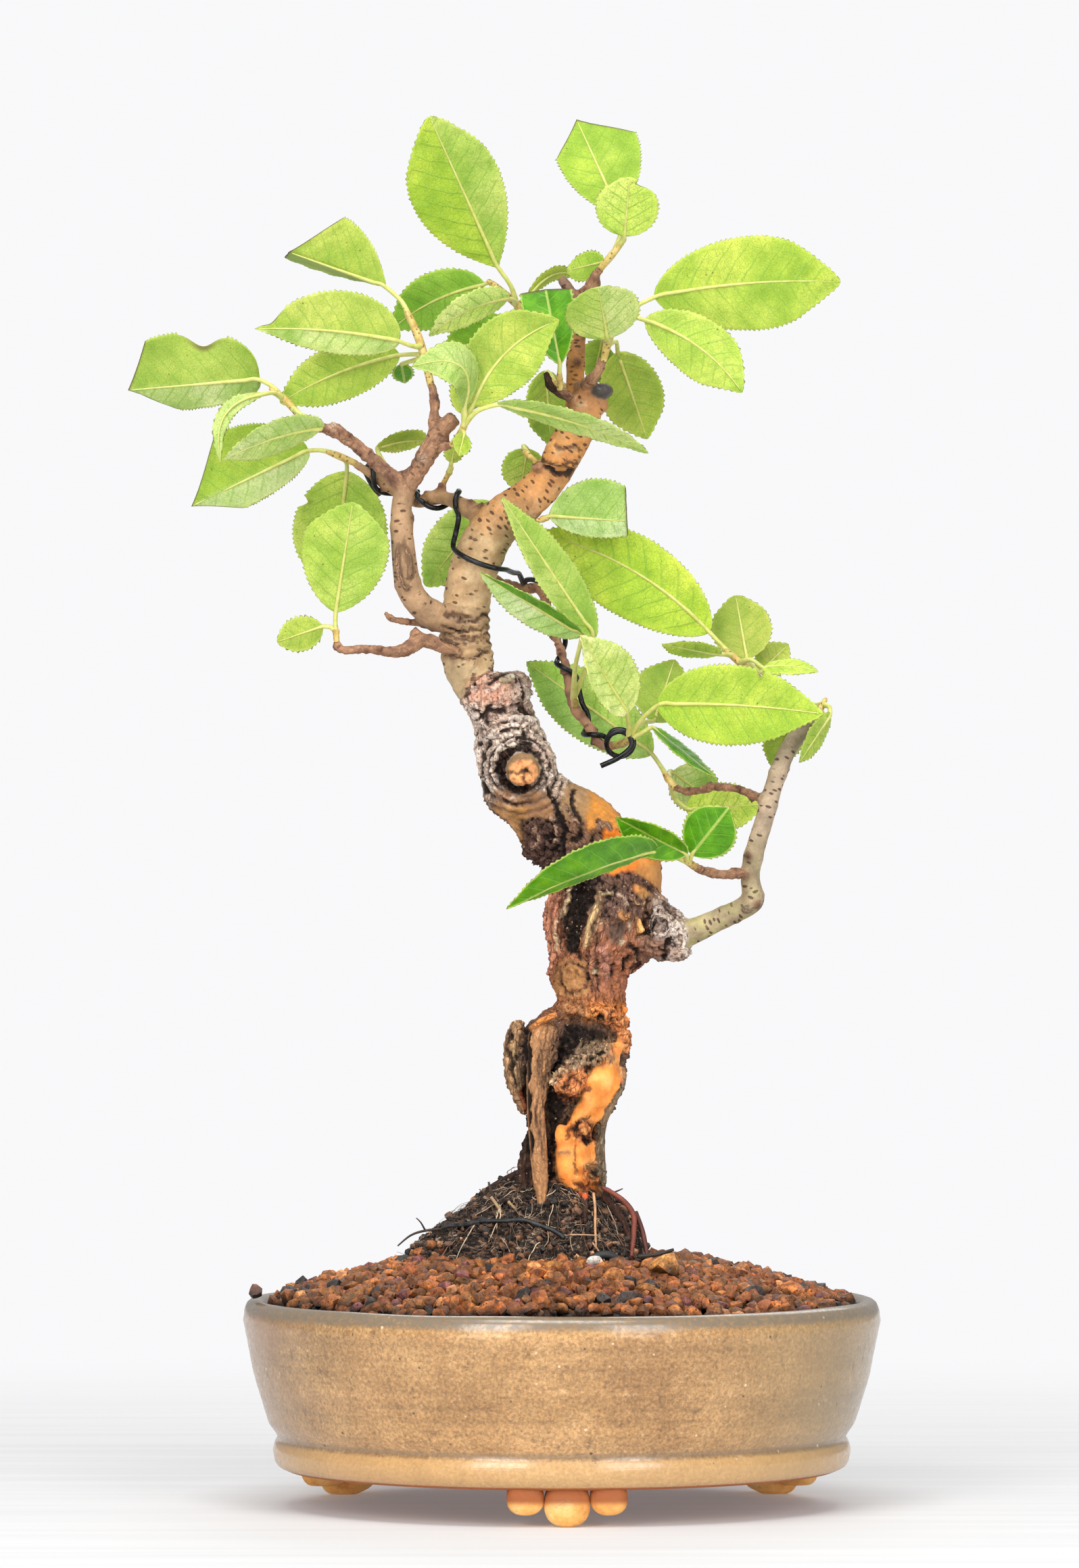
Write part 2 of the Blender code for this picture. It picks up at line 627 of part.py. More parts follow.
def cut_collar():
    """The ring of callus and the cut stub inside it, both facing the front."""
    ring = []
    x, y, z = CUT_COLLAR
    sides, turns = 6, 12
    for k in range(turns):
        turn = math.tau * k / turns
        for j in range(sides):
            tip = math.tau * j / sides
            reach = CUT_COLLAR_RING + CUT_COLLAR_BEAD * math.cos(tip)
            ring.append((x + reach * math.cos(turn), y - CUT_COLLAR_BEAD * math.sin(tip),
                         z + reach * math.sin(turn)))
    faces = []
    for k in range(turns):
        for j in range(sides):
            a = k * sides + j
            b = k * sides + (j + 1) % sides
            c = ((k + 1) % turns) * sides + (j + 1) % sides
            d = ((k + 1) % turns) * sides + j
            faces.append((a, b, c, d))
    stub = ((x, y + 6, z, CUT_STUB), (x + 0.6, y - 3.6, z - 0.4, CUT_STUB - 0.3))
    return [new_object("callus", ring, faces), tube("cut_stub", stub, 10)]


def make_trunk():
    trunk = stem_solid("trunk")
    parts = []
    for points in RIDGES.values():
        parts.append(tube("ridge", points, RIDGE_SIDES))
    for centre, half in LUMPS.values():
        parts.append(lump("lump", centre, half, 2 if max(half) > 7 else 1))
    parts += cut_collar()
    for points in BRANCHES.values():
        sides = BRANCH_SIDES if points[0][3] > THICK_TWIG else TWIG_SIDES
        parts.append(tube("branch", points, sides))
    for points in ROOTS.values():
        parts.append(tube("root", root_path(points), TWIG_SIDES))
    combine(trunk, parts, "UNION")
    hollows = [tube("hollow", points, RIDGE_SIDES) for points in HOLLOWS.values()]
    cut(trunk, hollows[:1])
    cut(trunk, hollows[1:])
    clean_seams(trunk)
    return finish(trunk, material("quince_bark", (0.28, 0.19, 0.12), 0.85))


def along(points, share):
    """Place, direction and radius at a share of a path's length."""
    centres = [Vector(p[:3]) for p in points]
    runs = [(b - a).length for a, b in zip(centres, centres[1:])]
    left = share * sum(runs)
    for i, run in enumerate(runs):
        if left <= run or i == len(runs) - 1:
            t = left / run
            way = (centres[i + 1] - centres[i]).normalized()
            size = points[i][3] * (1 - t) + points[i + 1][3] * t
            return centres[i].lerp(centres[i + 1], t), way, size
        left -= run


def wound(points, knots, lift=0.85):
    """Points of a wire wound on a branch, through knots of share of its length and turns.

    Turn 0 faces the viewer, and the turn between two knots grows evenly.
    """
    total = sum((Vector(b[:3]) - Vector(a[:3])).length for a, b in zip(points, points[1:]))
    found = []
    for (share_a, turn_a), (share_b, turn_b) in zip(knots, knots[1:]):
        _, _, size = along(points, (share_a + share_b) / 2)
        around = math.tau * (size + WIRE_RADIUS + lift) * abs(turn_b - turn_a)
        count = max(1, round(math.hypot(total * (share_b - share_a), around) / WIRE_STEP))
        for k in range(count):
            t = k / count
            place, way, size = along(points, share_a + (share_b - share_a) * t)
            front = Vector((0, -1, 0))
            front = (front - way * front.dot(way)).normalized()
            side = way.cross(front)
            turn = math.tau * (turn_a + (turn_b - turn_a) * t)
            found.append(place + (front * math.cos(turn) + side * math.sin(turn))
                         * (size + WIRE_RADIUS + lift))
    return found


def make_training_wire():
    """One wire: wound on the wired limb, half round the stem, then wound on the middle twig."""
    limb = wound(BRANCHES["wired_limb"][::-1], WIRED_LIMB_TURNS)
    twig = wound(BRANCHES["middle_twig"], MIDDLE_TWIG_TURNS)
    start = catmull(list(WIRE_START) + [tuple(limb[0])], WIRE_STEP * 1.4)[:-1]
    bridge = catmull([tuple(limb[-1])] + list(WIRE_BRIDGE) + [tuple(twig[0])], WIRE_STEP * 1.4)
    tail = catmull([tuple(twig[-1])] + list(WIRE_TAIL), WIRE_STEP * 1.3)[1:]
    route = start + limb + bridge[1:-1] + twig + tail
    wire = tube("training_wire", [(*p, WIRE_RADIUS) for p in route], SHOOT_SIDES)
    return finish(wire, material("black_wire", (0.01, 0.01, 0.011), 0.3))


def make_tie_wire():
    lift = TIE_RADIUS + 1.0
    route = [(x, y, mound_height(x, y) + lift) for x, y in TIE_ROUTE]
    route = catmull(route, 4.0)
    route = [(*p[:2], max(p.z, mound_height(p.x, p.y) + lift), TIE_RADIUS) for p in route]
    wire = tube("tie_wire", route, SHOOT_SIDES)
    return finish(wire, material("tie_wire_grey", (0.03, 0.03, 0.032), 0.5))


def both_sides(value):
    """A measure for the two halves of a blade, from one number or from a pair of them."""
    return value if isinstance(value, tuple) else (value, value)


def leaf(base, tip, wide, stalk, roll=0, arch=0.0, sweep=0.0, fold=0.0, curl=0.0, wave=0.0,
         uneven=0.0, widest=0.47, full_base=0.62, full_tip=0.85, cut_at=1.0, skew=0.0, rows=5):
    """What one leaf measures. Its blade runs from base to tip, wide across at its widest place.

    roll turns it about its length away from facing the viewer, in degrees; arch and sweep bow
    its midrib out of its plane and in it; fold raises its halves, in degrees; curl and wave
    bend the halves and ripple the margin; uneven widens one half and narrows the other. A
    trimmed leaf ends at cut_at, less or more by skew at its margins.
    """
    fold = both_sides(fold)
    skew = (-skew, skew) if not isinstance(skew, tuple) else skew
    return dict(locals())


def leaf_frame(one):
    """Length way, width way and face way of a blade."""
    base, tip = Vector(one["base"]), Vector(one["tip"])
    way = (tip - base).normalized()
    face = Vector((0, -1, 0))
    face = (face - way * face.dot(way)).normalized()
    width = way.cross(face)
    turn = math.radians(one["roll"])
    return (way, width * math.cos(turn) + face * math.sin(turn),
            face * math.cos(turn) - width * math.sin(turn))


def half_width(one, u):
    """Half the blade's width at a share of its length."""
    p = one["widest"]
    if u < p:
        share = 1 - ((p - u) / p) ** 2
        power = one["full_base"]
    else:
        share = 1 - ((u - p) / (1 - p)) ** 2
        power = one["full_tip"]
    return one["wide"] / 2 * max(share, 0.0) ** power


def blade_point(one, u, s, outset=1.0):
    """Point and thickness way of the blade at u along its length and s across, -1 to 1."""
    way, width, face = leaf_frame(one)
    base, tip = Vector(one["base"]), Vector(one["tip"])
    bow = 4 * u * (1 - u)
    middle = base.lerp(tip, u) + face * (one["arch"] * bow) + width * (one["sweep"] * bow)
    slope = 4 * (1 - 2 * u)
    ahead = ((tip - base) + face * (one["arch"] * slope) + width * (one["sweep"] * slope)).normalized()
    up = (face - ahead * face.dot(ahead)).normalized()
    over = ahead.cross(up)
    side = 1 if s > 0 else -1
    reach = half_width(one, u) * abs(s) * outset * (1 + side * one["uneven"])
    lifts = [math.radians(degrees) for degrees in one["fold"]]
    lift = lifts[s > 0]
    bent = one["curl"] * s * s * half_width(one, u) / max(one["wide"], 1e-6) * 2
    ripple = one["wave"] * s * s * math.sin(u * 11 + side * 1.3)
    point = middle + over * (side * reach * math.cos(lift)) + up * (
        reach * math.sin(lift) + bent + ripple)
    left, right = [up * math.cos(tilt) - over * (half * math.sin(tilt))
                   for half, tilt in zip((-1, 1), lifts)]
    return point, (left + right).normalized() if s == 0 else (left, right)[s > 0]


def blade_end(one, s):
    """Share of the length at which the blade ends, s across it: 1 unless it was trimmed."""
    return min(1.0, one["cut_at"] + one["skew"][s > 0] * abs(s))


def make_blade(one):
    """A closed blade with toothed edges, split into triangles alike on both faces."""
    rows = one["rows"]
    middle, edge, tooth = [], [], []
    for i in range(rows + 1):
        t = 0.03 + 0.97 * i / rows
        middle.append(blade_point(one, t * blade_end(one, 0), 0))
        edge.append([blade_point(one, min(t * blade_end(one, s), 0.985), s, 0.95)
                     for s in (-1, 1)])
        ahead = 0.03 + 0.97 * min(i + 0.72, rows) / rows
        tooth.append([blade_point(one, min(ahead * blade_end(one, s), 0.985), s, 1.06)
                      for s in (-1, 1)])
    verts = []

    def pair(place):
        point, up = place
        verts.append(point + up * BLADE_HALF_THICK)
        verts.append(point - up * BLADE_HALF_THICK)
        return len(verts) - 2

    mids = [pair(p) for p in middle]
    edges = [[pair(p) for p in both] for both in edge]
    teeth = []
    for both in tooth[:-1]:
        teeth.append((len(verts), len(verts) + 1))
        verts += [point for point, _ in both]
    faces = []
    for i in range(rows):
        for side in (0, 1):
            a, b = mids[i], mids[i + 1]
            c, d = edges[i][side], edges[i + 1][side]
            e = teeth[i][side]
            upper = ((a, c, e), (a, e, b), (b, e, d))
            lower = ((c + 1, a + 1, e), (b + 1, e, a + 1), (e, b + 1, d + 1))
            rim = ((c, c + 1, e), (d + 1, d, e))
            for corner in upper + lower + rim:
                faces.append(corner if side else tuple(reversed(corner)))
    for i in (0, rows):
        left, mid, right = edges[i][0], mids[i], edges[i][1]
        for p, q in ((left, mid), (mid, right)):
            wall = (p, p + 1, q + 1, q)
            faces.append(wall if i == 0 else tuple(reversed(wall)))
    return new_object("blade", verts, faces)


def make_stalk(one):
    """The leaf's stalk, run on into the blade's midrib."""
    inside = [blade_point(one, u * blade_end(one, 0), 0)[0] for u in (0.05, 0.13)]
    points = [Vector(p) for p in one["stalk"]] + inside
    sizes = [STALK_RADIUS * 1.15] + [STALK_RADIUS] * (len(points) - 2) + [STALK_RADIUS * 0.6]
    return tube("stalk", [(*p, r) for p, r in zip(points, sizes)], STALK_SIDES)


def make_spray(name, shoot, leaves, made):
    """One leafy shoot: its green wood, and its leaves joined to it."""
    parts = []
    for one in leaves:
        parts.append(make_blade(one))
        parts.append(make_stalk(one))
    spray = tube(name, shoot, SHOOT_SIDES)
    combine(spray, parts, "UNION")
    clean_seams(spray)
    return finish(spray, made, 35)


SPRAYS = {
    "spray_back_left": (
        ((-8.8, 18.5, 317.6, 0.9), (-12.5, 18, 321.1, 1.1), (-16.4, 16, 324.3, 1.0),
         (-18.6, 14.8, 326, 0.9)),
        (
            leaf((-17, 13, 330), (-35.2, -3.2, 369.5), 24.6,
                 ((-12.2, 18, 320.9), (-13.6, 14.8, 325.4)), widest=0.56, full_base=1.0,
                 full_tip=0.7, fold=6,
                 uneven=-0.12, rows=6),
            leaf((-9.6, 25, 322.3), (4.7, 36, 328.7), 10,
                 ((-11.4, 18.4, 320.1), (-10.6, 22, 321)), roll=-68, sweep=-2.6, rows=4),
            leaf((-20.5, 16, 325.9), (-45.7, 24, 314.2), 15,
                 ((-18, 15.2, 325.4), (-19.4, 15.6, 326.3)), roll=16, sweep=2.0, rows=4),
            leaf((-14, 9, 321.7), (-35.4, 2, 311.3), 12,
                 ((-12.4, 17.6, 320.9), (-12.8, 12, 321.3)), roll=52, sweep=3.0, rows=4),
            leaf((-14.5, 24, 317), (-31.7, 36, 304.4), 14,
                 ((-11.8, 18.4, 320.3), (-12.6, 21.2, 318.6)), roll=10, rows=4),
        ),
    ),
    "spray_crown": (
        ((10.9, 1.5, 329.9, 0.9), (13.2, 0, 332.6, 1.0), (16, -1.3, 336, 0.8)),
        (
            leaf((15.6, 4, 343.7), (-1.2, 18, 381.7), 22, ((14.4, -0.3, 334.2), (15.8, 2, 339.1)),
                 widest=0.45, full_base=0.85, cut_at=0.69, skew=(-0.19, -0.24), uneven=0.16,
                 fold=5, rows=5),
            leaf((16.7, -3.8, 337.5), (18, -11.2, 352.7), 16.2,
                 ((15.4, -1.1, 335.4), (16.4, -2.6, 336.5)),
                 widest=0.5, full_tip=0.5, full_base=0.5, rows=5),
            leaf((11.6, 8, 331.4), (1.4, 16, 329.5), 8, ((12.6, 0.8, 331.8), (12.4, 4.4, 331.7)),
                 roll=-20, full_tip=0.6, rows=3),
        ),
    ),
    "leaf_by_leader": (
        ((-0.5, -6.2, 297.6, 0.8), (-0.6, -7.5, 299.9, 0.8)),
        (
            leaf((-1.8, -8.6, 303.2), (-3.4, -5.8, 324.9), 16,
                 ((-0.6, -7.2, 299.5), (-0.9, -8, 301.3)),
                 roll=14, fold=18, full_tip=0.6, rows=4),
        ),
    ),
    "spray_right": (
        ((11.3, -8.3, 305.1, 0.9), (11.9, -9.6, 307.8, 1.1), (13, -10.6, 311.3, 1.1),
         (14.6, -11.2, 314.4, 0.8)),
        (
            leaf((12.1, -18.4, 309.4), (9.5, -30.4, 322.5), 19.5,
                 ((12.3, -10.2, 309.2), (12.2, -14.4, 309.1)),
                 full_tip=0.5, full_base=0.45, fold=-8, rows=4),
            leaf((14.9, 8.8, 307.4), (23, 18, 284.4), 16.4,
                 ((12, -9.6, 308.2), (14.4, -2.6, 309.6)),
                 widest=0.5, rows=5),
            leaf((21.9, -11.2, 314.9), (47.8, -12.8, 295.5), 15.4,
                 ((14.2, -11.2, 313.6), (17.4, -11.5, 315.8)), sweep=-2.8, widest=0.55, rows=5),
            leaf((24.5, -6.4, 321.3), (74.5, 4, 325.8), 24.6,
                 ((14.3, -10.9, 313.8), (18, -9.6, 317.6)), widest=0.55, sweep=-1.6, full_tip=0.8,
                 rows=6),
            leaf((11.1, 19, 311.1), (8.3, 26, 299.6), 10, ((12.6, -9.9, 309.8), (13, 5, 312.5)),
                 roll=-24, rows=3),
        ),
    ),
    "spray_upper_left": (
        ((-34.8, -14.2, 298.2, 1.0), (-36.7, -13.8, 306.2, 1.1), (-38.8, -12.8, 312.3, 1.1),
         (-41.1, -12.2, 317, 0.9)),
        (
            leaf((-46.5, -11.2, 323.8), (-87.8, -16, 338.2), 27,
                 ((-40.5, -12.5, 315.7), (-42.5, -11.8, 319.8)),
                 widest=0.42, cut_at=0.62, skew=(0.0, -0.24), fold=(-104, 4), full_base=0.9,
                 rows=4),
            leaf((-42.7, -19.2, 308.8), (-81, -25.6, 311.7), 18.6,
                 ((-37.3, -14.1, 307.7), (-39.7, -17, 307.7)),
                 widest=0.4, sweep=1.2, uneven=0.2, full_base=0.5, full_tip=1.1, rows=5),
            leaf((-42.9, -8.6, 305.8), (-74.9, -3.2, 293.2), 14.5,
                 ((-36.5, -13.4, 305.4), (-38.7, -10.6, 305.8)),
                 sweep=1.6, full_tip=0.7, rows=4),
            leaf((-42.6, -5.8, 303.5), (-41.8, 2.8, 298.7), 5.4,
                 ((-36.4, -13.1, 304.6), (-40, -8, 304.1)),
                 rows=3),
        ),
    ),
    "spray_front_left": (
        ((-28.5, -21.6, 281.9, 0.9), (-26.7, -24, 284.2, 1.0), (-25.3, -25.9, 287.4, 0.9)),
        (
            leaf((-25.7, -28.8, 290.9), (-39.4, -40, 301.1), 12.5,
                 ((-25.9, -25.3, 286), (-25.5, -27.2, 288.6)),
                 roll=-34, arch=6.5, sweep=5.0, rows=4),
            leaf((-23.5, -25.6, 291.2), (-0.6, -27.2, 314.1), 19.4,
                 ((-25.6, -25.6, 286.8), (-24.7, -26.2, 289)),
                 widest=0.55, fold=6, rows=5),
            leaf((-17.1, -30.4, 291.8), (22.8, -25.6, 279), 15,
                 ((-25.8, -25.3, 286.4), (-22.3, -28.5, 289.9)),
                 roll=-69, sweep=-4.4, rows=5),
            leaf((-26.1, -20.2, 289.5), (-22.6, -14.4, 306.1), 10,
                 ((-25.8, -25, 286), (-25.9, -22.4, 287.6)),
                 roll=20, rows=4),
            leaf((-25.7, -27.5, 284.2), (-27.1, -32, 277.9), 5,
                 ((-26.6, -24.3, 284.6), (-26.1, -26.2, 284.8)),
                 roll=20, rows=3),
        ),
    ),
    "spray_outer_left": (
        ((-69.5, -19.4, 289.4, 0.9), (-72.8, -20.2, 293.1, 1.0), (-75.8, -20.8, 295.4, 0.8)),
        (
            leaf((-67.3, -26.4, 287.2), (-88.7, -38.4, 276.9), 14,
                 ((-71, -19.7, 291.1), (-69.1, -24.6, 289.6)),
                 roll=56, sweep=2.2, rows=4),
            leaf((-78.3, -26.9, 294.5), (-89.4, -32, 276), 8,
                 ((-73.8, -20.5, 293.9), (-76.1, -24, 295)),
                 roll=58, sweep=4.0, rows=4),
            leaf((-79.6, -19.2, 298.9), (-127.2, -17.6, 294.9), 21.5,
                 ((-75, -20.5, 295.1), (-76.8, -20.2, 297.1)), widest=0.42, full_base=0.36,
                 cut_at=0.735, skew=(-0.26, -0.12), uneven=0.28,
                 wave=1.6, fold=(-16, 4), rows=5),
        ),
    ),
    "spray_wired": (
        ((-55.9, 13, 278.1, 0.9), (-59.3, 12.8, 279.6, 1.0), (-61.5, 12.4, 280.4, 0.8)),
        (
            leaf((-57.6, 20.8, 276), (-61.9, 40, 243.4), 25,
                 ((-58.1, 13.2, 279), (-57.6, 17.2, 277.9)),
                 widest=0.5, rows=5),
            leaf((-67.6, 12, 281.4), (-109.4, 16, 261.4), 21,
                 ((-60.7, 12.6, 280.2), (-64, 12.4, 281.2)),
                 widest=0.45, cut_at=0.757, skew=(-0.27, -0.3), uneven=0.27, full_base=0.5, rows=5),
        ),
    ),
    "spray_low_left": (
        ((-59.7, -11.2, 230.5, 0.8), (-59.9, -11.2, 232.9, 0.8)),
        (
            leaf((-59.9, -12.2, 237.3), (-55.2, -19.2, 266.4), 22.6,
                 ((-59.8, -11.2, 232.1), (-60, -11.5, 233.9)),
                 widest=0.6, full_base=0.7, full_tip=0.7, rows=6),
            leaf((-63.3, -11.2, 233.7), (-75.4, -12.8, 229.5), 8.8,
                 ((-59.9, -11.2, 232.5), (-61.3, -11.2, 233.5)),
                 full_tip=0.6, rows=3),
        ),
    ),
    "leaf_small_spur": (
        ((-31.1, 7.7, 273.1, 0.7), (-29.8, 5.6, 275.5, 0.7)),
        (
            leaf((-29.4, 2.8, 277.5), (-28.2, -1.6, 282.6), 4.6,
                 ((-30, 6, 275.1), (-29.6, 4, 276.5)),
                 rows=3),
        ),
    ),
    "leaf_behind_limb": (
        ((-44.6, -11.3, 273.7, 0.8), (-46.4, -5.8, 275.5, 0.8)),
        (
            leaf((-49.4, 3.2, 281.5), (-35.3, 10, 283.6), 9,
                 ((-46.2, -6.4, 275.1), (-48.6, -1, 279.6)),
                 roll=-58, sweep=-1.6, rows=4),
        ),
    ),
    "leaf_behind_leader": (
        ((1.6, 7.6, 298.0, 0.8), (-2.2, 18.8, 300, 0.8)),
        (
            leaf((-4.4, 21.2, 303.1), (-3, 24, 282.9), 15, ((-1.9, 18.2, 299.4), (-3.1, 20.9, 302.2)),
                 roll=40, rows=4),
        ),
    ),
    "leaf_left_knob": (
        ((-7.4, -3.2, 278.0, 0.7), (-9.4, -1, 280, 0.7)),
        (
            leaf((-9.2, 12.8, 281.8), (-11, 18, 270.1), 11.5,
                 ((-9.2, -1.3, 279.8), (-10.2, 6, 282.1)), full_tip=0.5, full_base=0.5, rows=4),
        ),
    ),
    "leaf_behind_stem": (
        ((-16.2, 4.7, 262.1, 0.8), (-17.2, 18.8, 264.9, 0.8)),
        (
            leaf((-18.7, 21.2, 267.7), (-36.6, 24, 245.1), 16,
                 ((-17, 18, 264.3), (-17.9, 20, 266.3)),
                 widest=0.5, full_tip=0.7, rows=4),
        ),
    ),
    "leaf_right_knob": (
        ((-5.9, -2.6, 262, 0.7), (-4.6, -1.9, 262.4, 0.7)),
        (
            leaf((-3.4, -2.2, 263.2), (25, 5, 266.9), 14.6,
                 ((-5, -1.9, 262.4), (-4.2, -1.6, 262.9)),
                 cut_at=0.735, skew=(0.03, -0.03), uneven=-0.14, rows=4),
        ),
    ),
    "spray_middle_node": (
        ((3.4, 9.7, 213.1, 0.8), (3.2, 4, 215.4, 0.8)),
        (
            leaf((8.8, -7.2, 230.6), (-16, -14.4, 267.8), 12.6, ((3.2, 4.4, 215), (6.4, -1, 222.6)),
                 roll=-30, fold=16, widest=0.42, rows=5),
            leaf((5.8, -15, 231.1), (-21.7, -24, 247.7), 12, ((3.2, 4, 215.2), (3.6, -7.4, 223)),
                 roll=50, fold=20, widest=0.42, rows=4),
        ),
    ),
    "spray_middle_end": (
        ((14.6, 3.6, 202.2, 1.0), (16.6, 1.2, 202.8, 1.1), (18, -2.6, 204, 0.9)),
        (
            leaf((17.4, -12.2, 210.6), (4.7, -25.6, 231), 17,
                 ((17.6, -1.6, 203.7), (17.8, -7, 207)),
                 fold=8, widest=0.5, rows=4),
            leaf((25.1, -10.6, 213), (69.1, -24, 210.3), 21,
                 ((17.8, -2.2, 203.9), (21, -6.7, 208.8)),
                 fold=5, widest=0.42, sweep=-1.0, rows=6),
            leaf((24.6, 7.2, 208.4), (30.4, 20, 224.7), 12, ((17.6, -1.8, 203.8), (21, -2.6, 208)),
                 rows=4),
            leaf((23.8, -4.8, 207.2), (40.8, -6.4, 193.6), 8,
                 ((17.9, -2.4, 203.8), (21.4, -4.8, 205.6)),
                 roll=44, rows=4),
        ),
    ),
    "spray_right_twig": (
        ((29.9, 6.4, 191.4, 0.9), (28.1, 8, 193.8, 0.9)),
        (
            leaf((24.4, 14, 200), (-9.5, 28, 224.9), 17, ((28.3, 8, 193.4), (26.7, 10.8, 196.4)),
                 widest=0.5, rows=4),
            leaf((29.8, 22, 195.2), (41.9, 30, 186.4), 12.8,
                 ((28.5, 7.8, 193), (28.9, 15.2, 195.2)),
                 full_tip=0.5, rows=4),
            leaf((33.3, 14.8, 185.2), (53.5, 6.8, 186.4), 12.4,
                 ((29.3, 7.6, 192), (30.1, 12.4, 188.4)),
                 full_tip=0.6, rows=4),
        ),
    ),
    "spray_front_spur": (
        ((34.4, -27.5, 170.5, 1.0), (32.8, -29.8, 171.7, 1.0)),
        (
            leaf((25, -34.6, 174.3), (-14.6, -48, 159.2), 14,
                 ((33, -29.4, 171.5), (29.2, -32, 172.9)),
                 roll=56, arch=2.0, sweep=5.4, fold=-8, rows=5),
            leaf((32.8, -33, 173.5), (14, -43.2, 183.3), 12,
                 ((33, -29.8, 171.7), (32.8, -31.4, 172.5)),
                 roll=38, fold=20, rows=4),
            leaf((34, -32, 173.3), (43.7, -40, 185.8), 14,
                 ((33.1, -29.4, 171.7), (33.8, -30.7, 172.3)),
                 fold=-6, rows=4),
        ),
    ),
    "spray_right_top": (
        ((49.1, 10.3, 223.1, 1.0), (46.9, 11.2, 225.1, 1.0), (44.9, 12, 226.9, 0.9)),
        (
            leaf((39.7, 15.2, 232.5), (-6.2, 10, 259), 21.6,
                 ((45.3, 11.8, 226.5), (43.1, 13.6, 228.9)),
                 widest=0.5, fold=6, sweep=4.0, uneven=-0.14, rows=6),
            leaf((49.8, 18, 225.3), (46.9, 26, 242.7), 15.7,
                 ((47.5, 10.8, 224.5), (48.8, 14.8, 224.7)),
                 full_tip=0.6, rows=4),
            leaf((42.5, 7.2, 226.5), (26.6, -3.2, 229.1), 9,
                 ((45.5, 11.6, 226.3), (44.1, 9.2, 226.5)),
                 roll=62, rows=3),
            leaf((53.5, 5.2, 222.8), (68.4, 2, 221.8), 9, ((47.7, 10.8, 224.5), (50.7, 5.2, 225)),
                 roll=62, arch=1.0, rows=3),
            leaf((52.9, 20, 221.7), (61.3, 30, 229.6), 9, ((47.7, 11.2, 224.5), (50.6, 18, 224.1)),
                 rows=3),
        ),
    ),
    "spray_right_tip": (
        ((68.7, -6.1, 212.0, 1.0), (69.5, -5.4, 213.4, 0.8)),
        (
            leaf((63.1, 4.8, 210.6), (56.2, 18, 196.6), 10.5,
                 ((69.1, -5.4, 212.8), (66.4, -1, 212.6)),
                 roll=14, rows=4),
            leaf((71.3, -10.2, 210.6), (62.6, -18.6, 197.6), 8,
                 ((69.3, -5.8, 213), (70.9, -8.3, 212.4)),
                 roll=52, rows=3),
        ),
    ),
}


def clear_scene():
    for obj in list(bpy.data.objects):
        bpy.data.objects.remove(obj, do_unlink=True)


def stand_on_origin():
    """Moves every mesh so that the middle of the whole object's footprint is the origin."""
    low = Vector((math.inf,) * 3)
    high = Vector((-math.inf,) * 3)
    nodes = [obj for obj in bpy.context.scene.objects if obj.type == "MESH"]
    for obj in nodes:
        for v in obj.data.vertices:
            low = Vector(map(min, low, v.co))
            high = Vector(map(max, high, v.co))
    shift = Vector((-(low.x + high.x) / 2, -(low.y + high.y) / 2, -low.z))
    for obj in nodes:
        obj.data.transform(Matrix.Translation(shift))


def main():
    clear_scene()
    make_pot()
    make_drain_mesh()
    make_soil()
    make_mound()
    make_trunk()
    make_training_wire()
    make_tie_wire()
    green = material("quince_leaf", (0.36, 0.6, 0.12), 0.5)
    for name, (shoot, leaves) in SPRAYS.items():
        make_spray(name, shoot, leaves, green)
    stand_on_origin()


main()
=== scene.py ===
"""Looks of the Chinese quince bonsai in its glazed pot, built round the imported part.

Sizes are millimetres in the pot's own frame (its axis is X = Y = 0, the ground Z = 0) until a
mesh is made, as in the part's source, and placed() then turns them into the row frame.
"""

import math
import random

import bmesh
import bpy
import numpy as np
from mathutils import Matrix, Vector, noise


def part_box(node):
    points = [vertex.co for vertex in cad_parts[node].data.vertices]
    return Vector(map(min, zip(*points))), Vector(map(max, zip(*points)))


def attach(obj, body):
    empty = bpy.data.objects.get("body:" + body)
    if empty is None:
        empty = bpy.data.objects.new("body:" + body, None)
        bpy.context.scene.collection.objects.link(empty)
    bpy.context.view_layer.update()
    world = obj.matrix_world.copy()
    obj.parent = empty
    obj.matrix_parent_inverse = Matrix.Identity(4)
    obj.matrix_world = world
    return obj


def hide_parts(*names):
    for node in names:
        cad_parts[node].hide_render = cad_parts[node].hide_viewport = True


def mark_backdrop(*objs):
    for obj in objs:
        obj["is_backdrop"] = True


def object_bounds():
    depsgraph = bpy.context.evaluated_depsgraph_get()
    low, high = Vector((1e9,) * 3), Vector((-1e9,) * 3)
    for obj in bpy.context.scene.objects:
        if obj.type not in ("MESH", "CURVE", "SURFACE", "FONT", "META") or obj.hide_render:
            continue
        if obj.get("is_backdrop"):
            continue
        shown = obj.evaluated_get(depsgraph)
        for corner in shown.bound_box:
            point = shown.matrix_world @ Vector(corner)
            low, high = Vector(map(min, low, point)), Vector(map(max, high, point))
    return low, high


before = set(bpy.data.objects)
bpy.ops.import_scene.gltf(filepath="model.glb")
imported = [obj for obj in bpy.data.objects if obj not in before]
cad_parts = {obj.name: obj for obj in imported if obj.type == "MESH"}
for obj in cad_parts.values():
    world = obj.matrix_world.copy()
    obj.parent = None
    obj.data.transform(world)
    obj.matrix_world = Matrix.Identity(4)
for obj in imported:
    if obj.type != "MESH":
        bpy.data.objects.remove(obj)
cad_low, cad_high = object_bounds()

MM = 0.001
pot_low, pot_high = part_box("pot")
AXIS = Vector(((pot_low.x + pot_high.x) / 2, (pot_low.y + pot_high.y) / 2, 0))


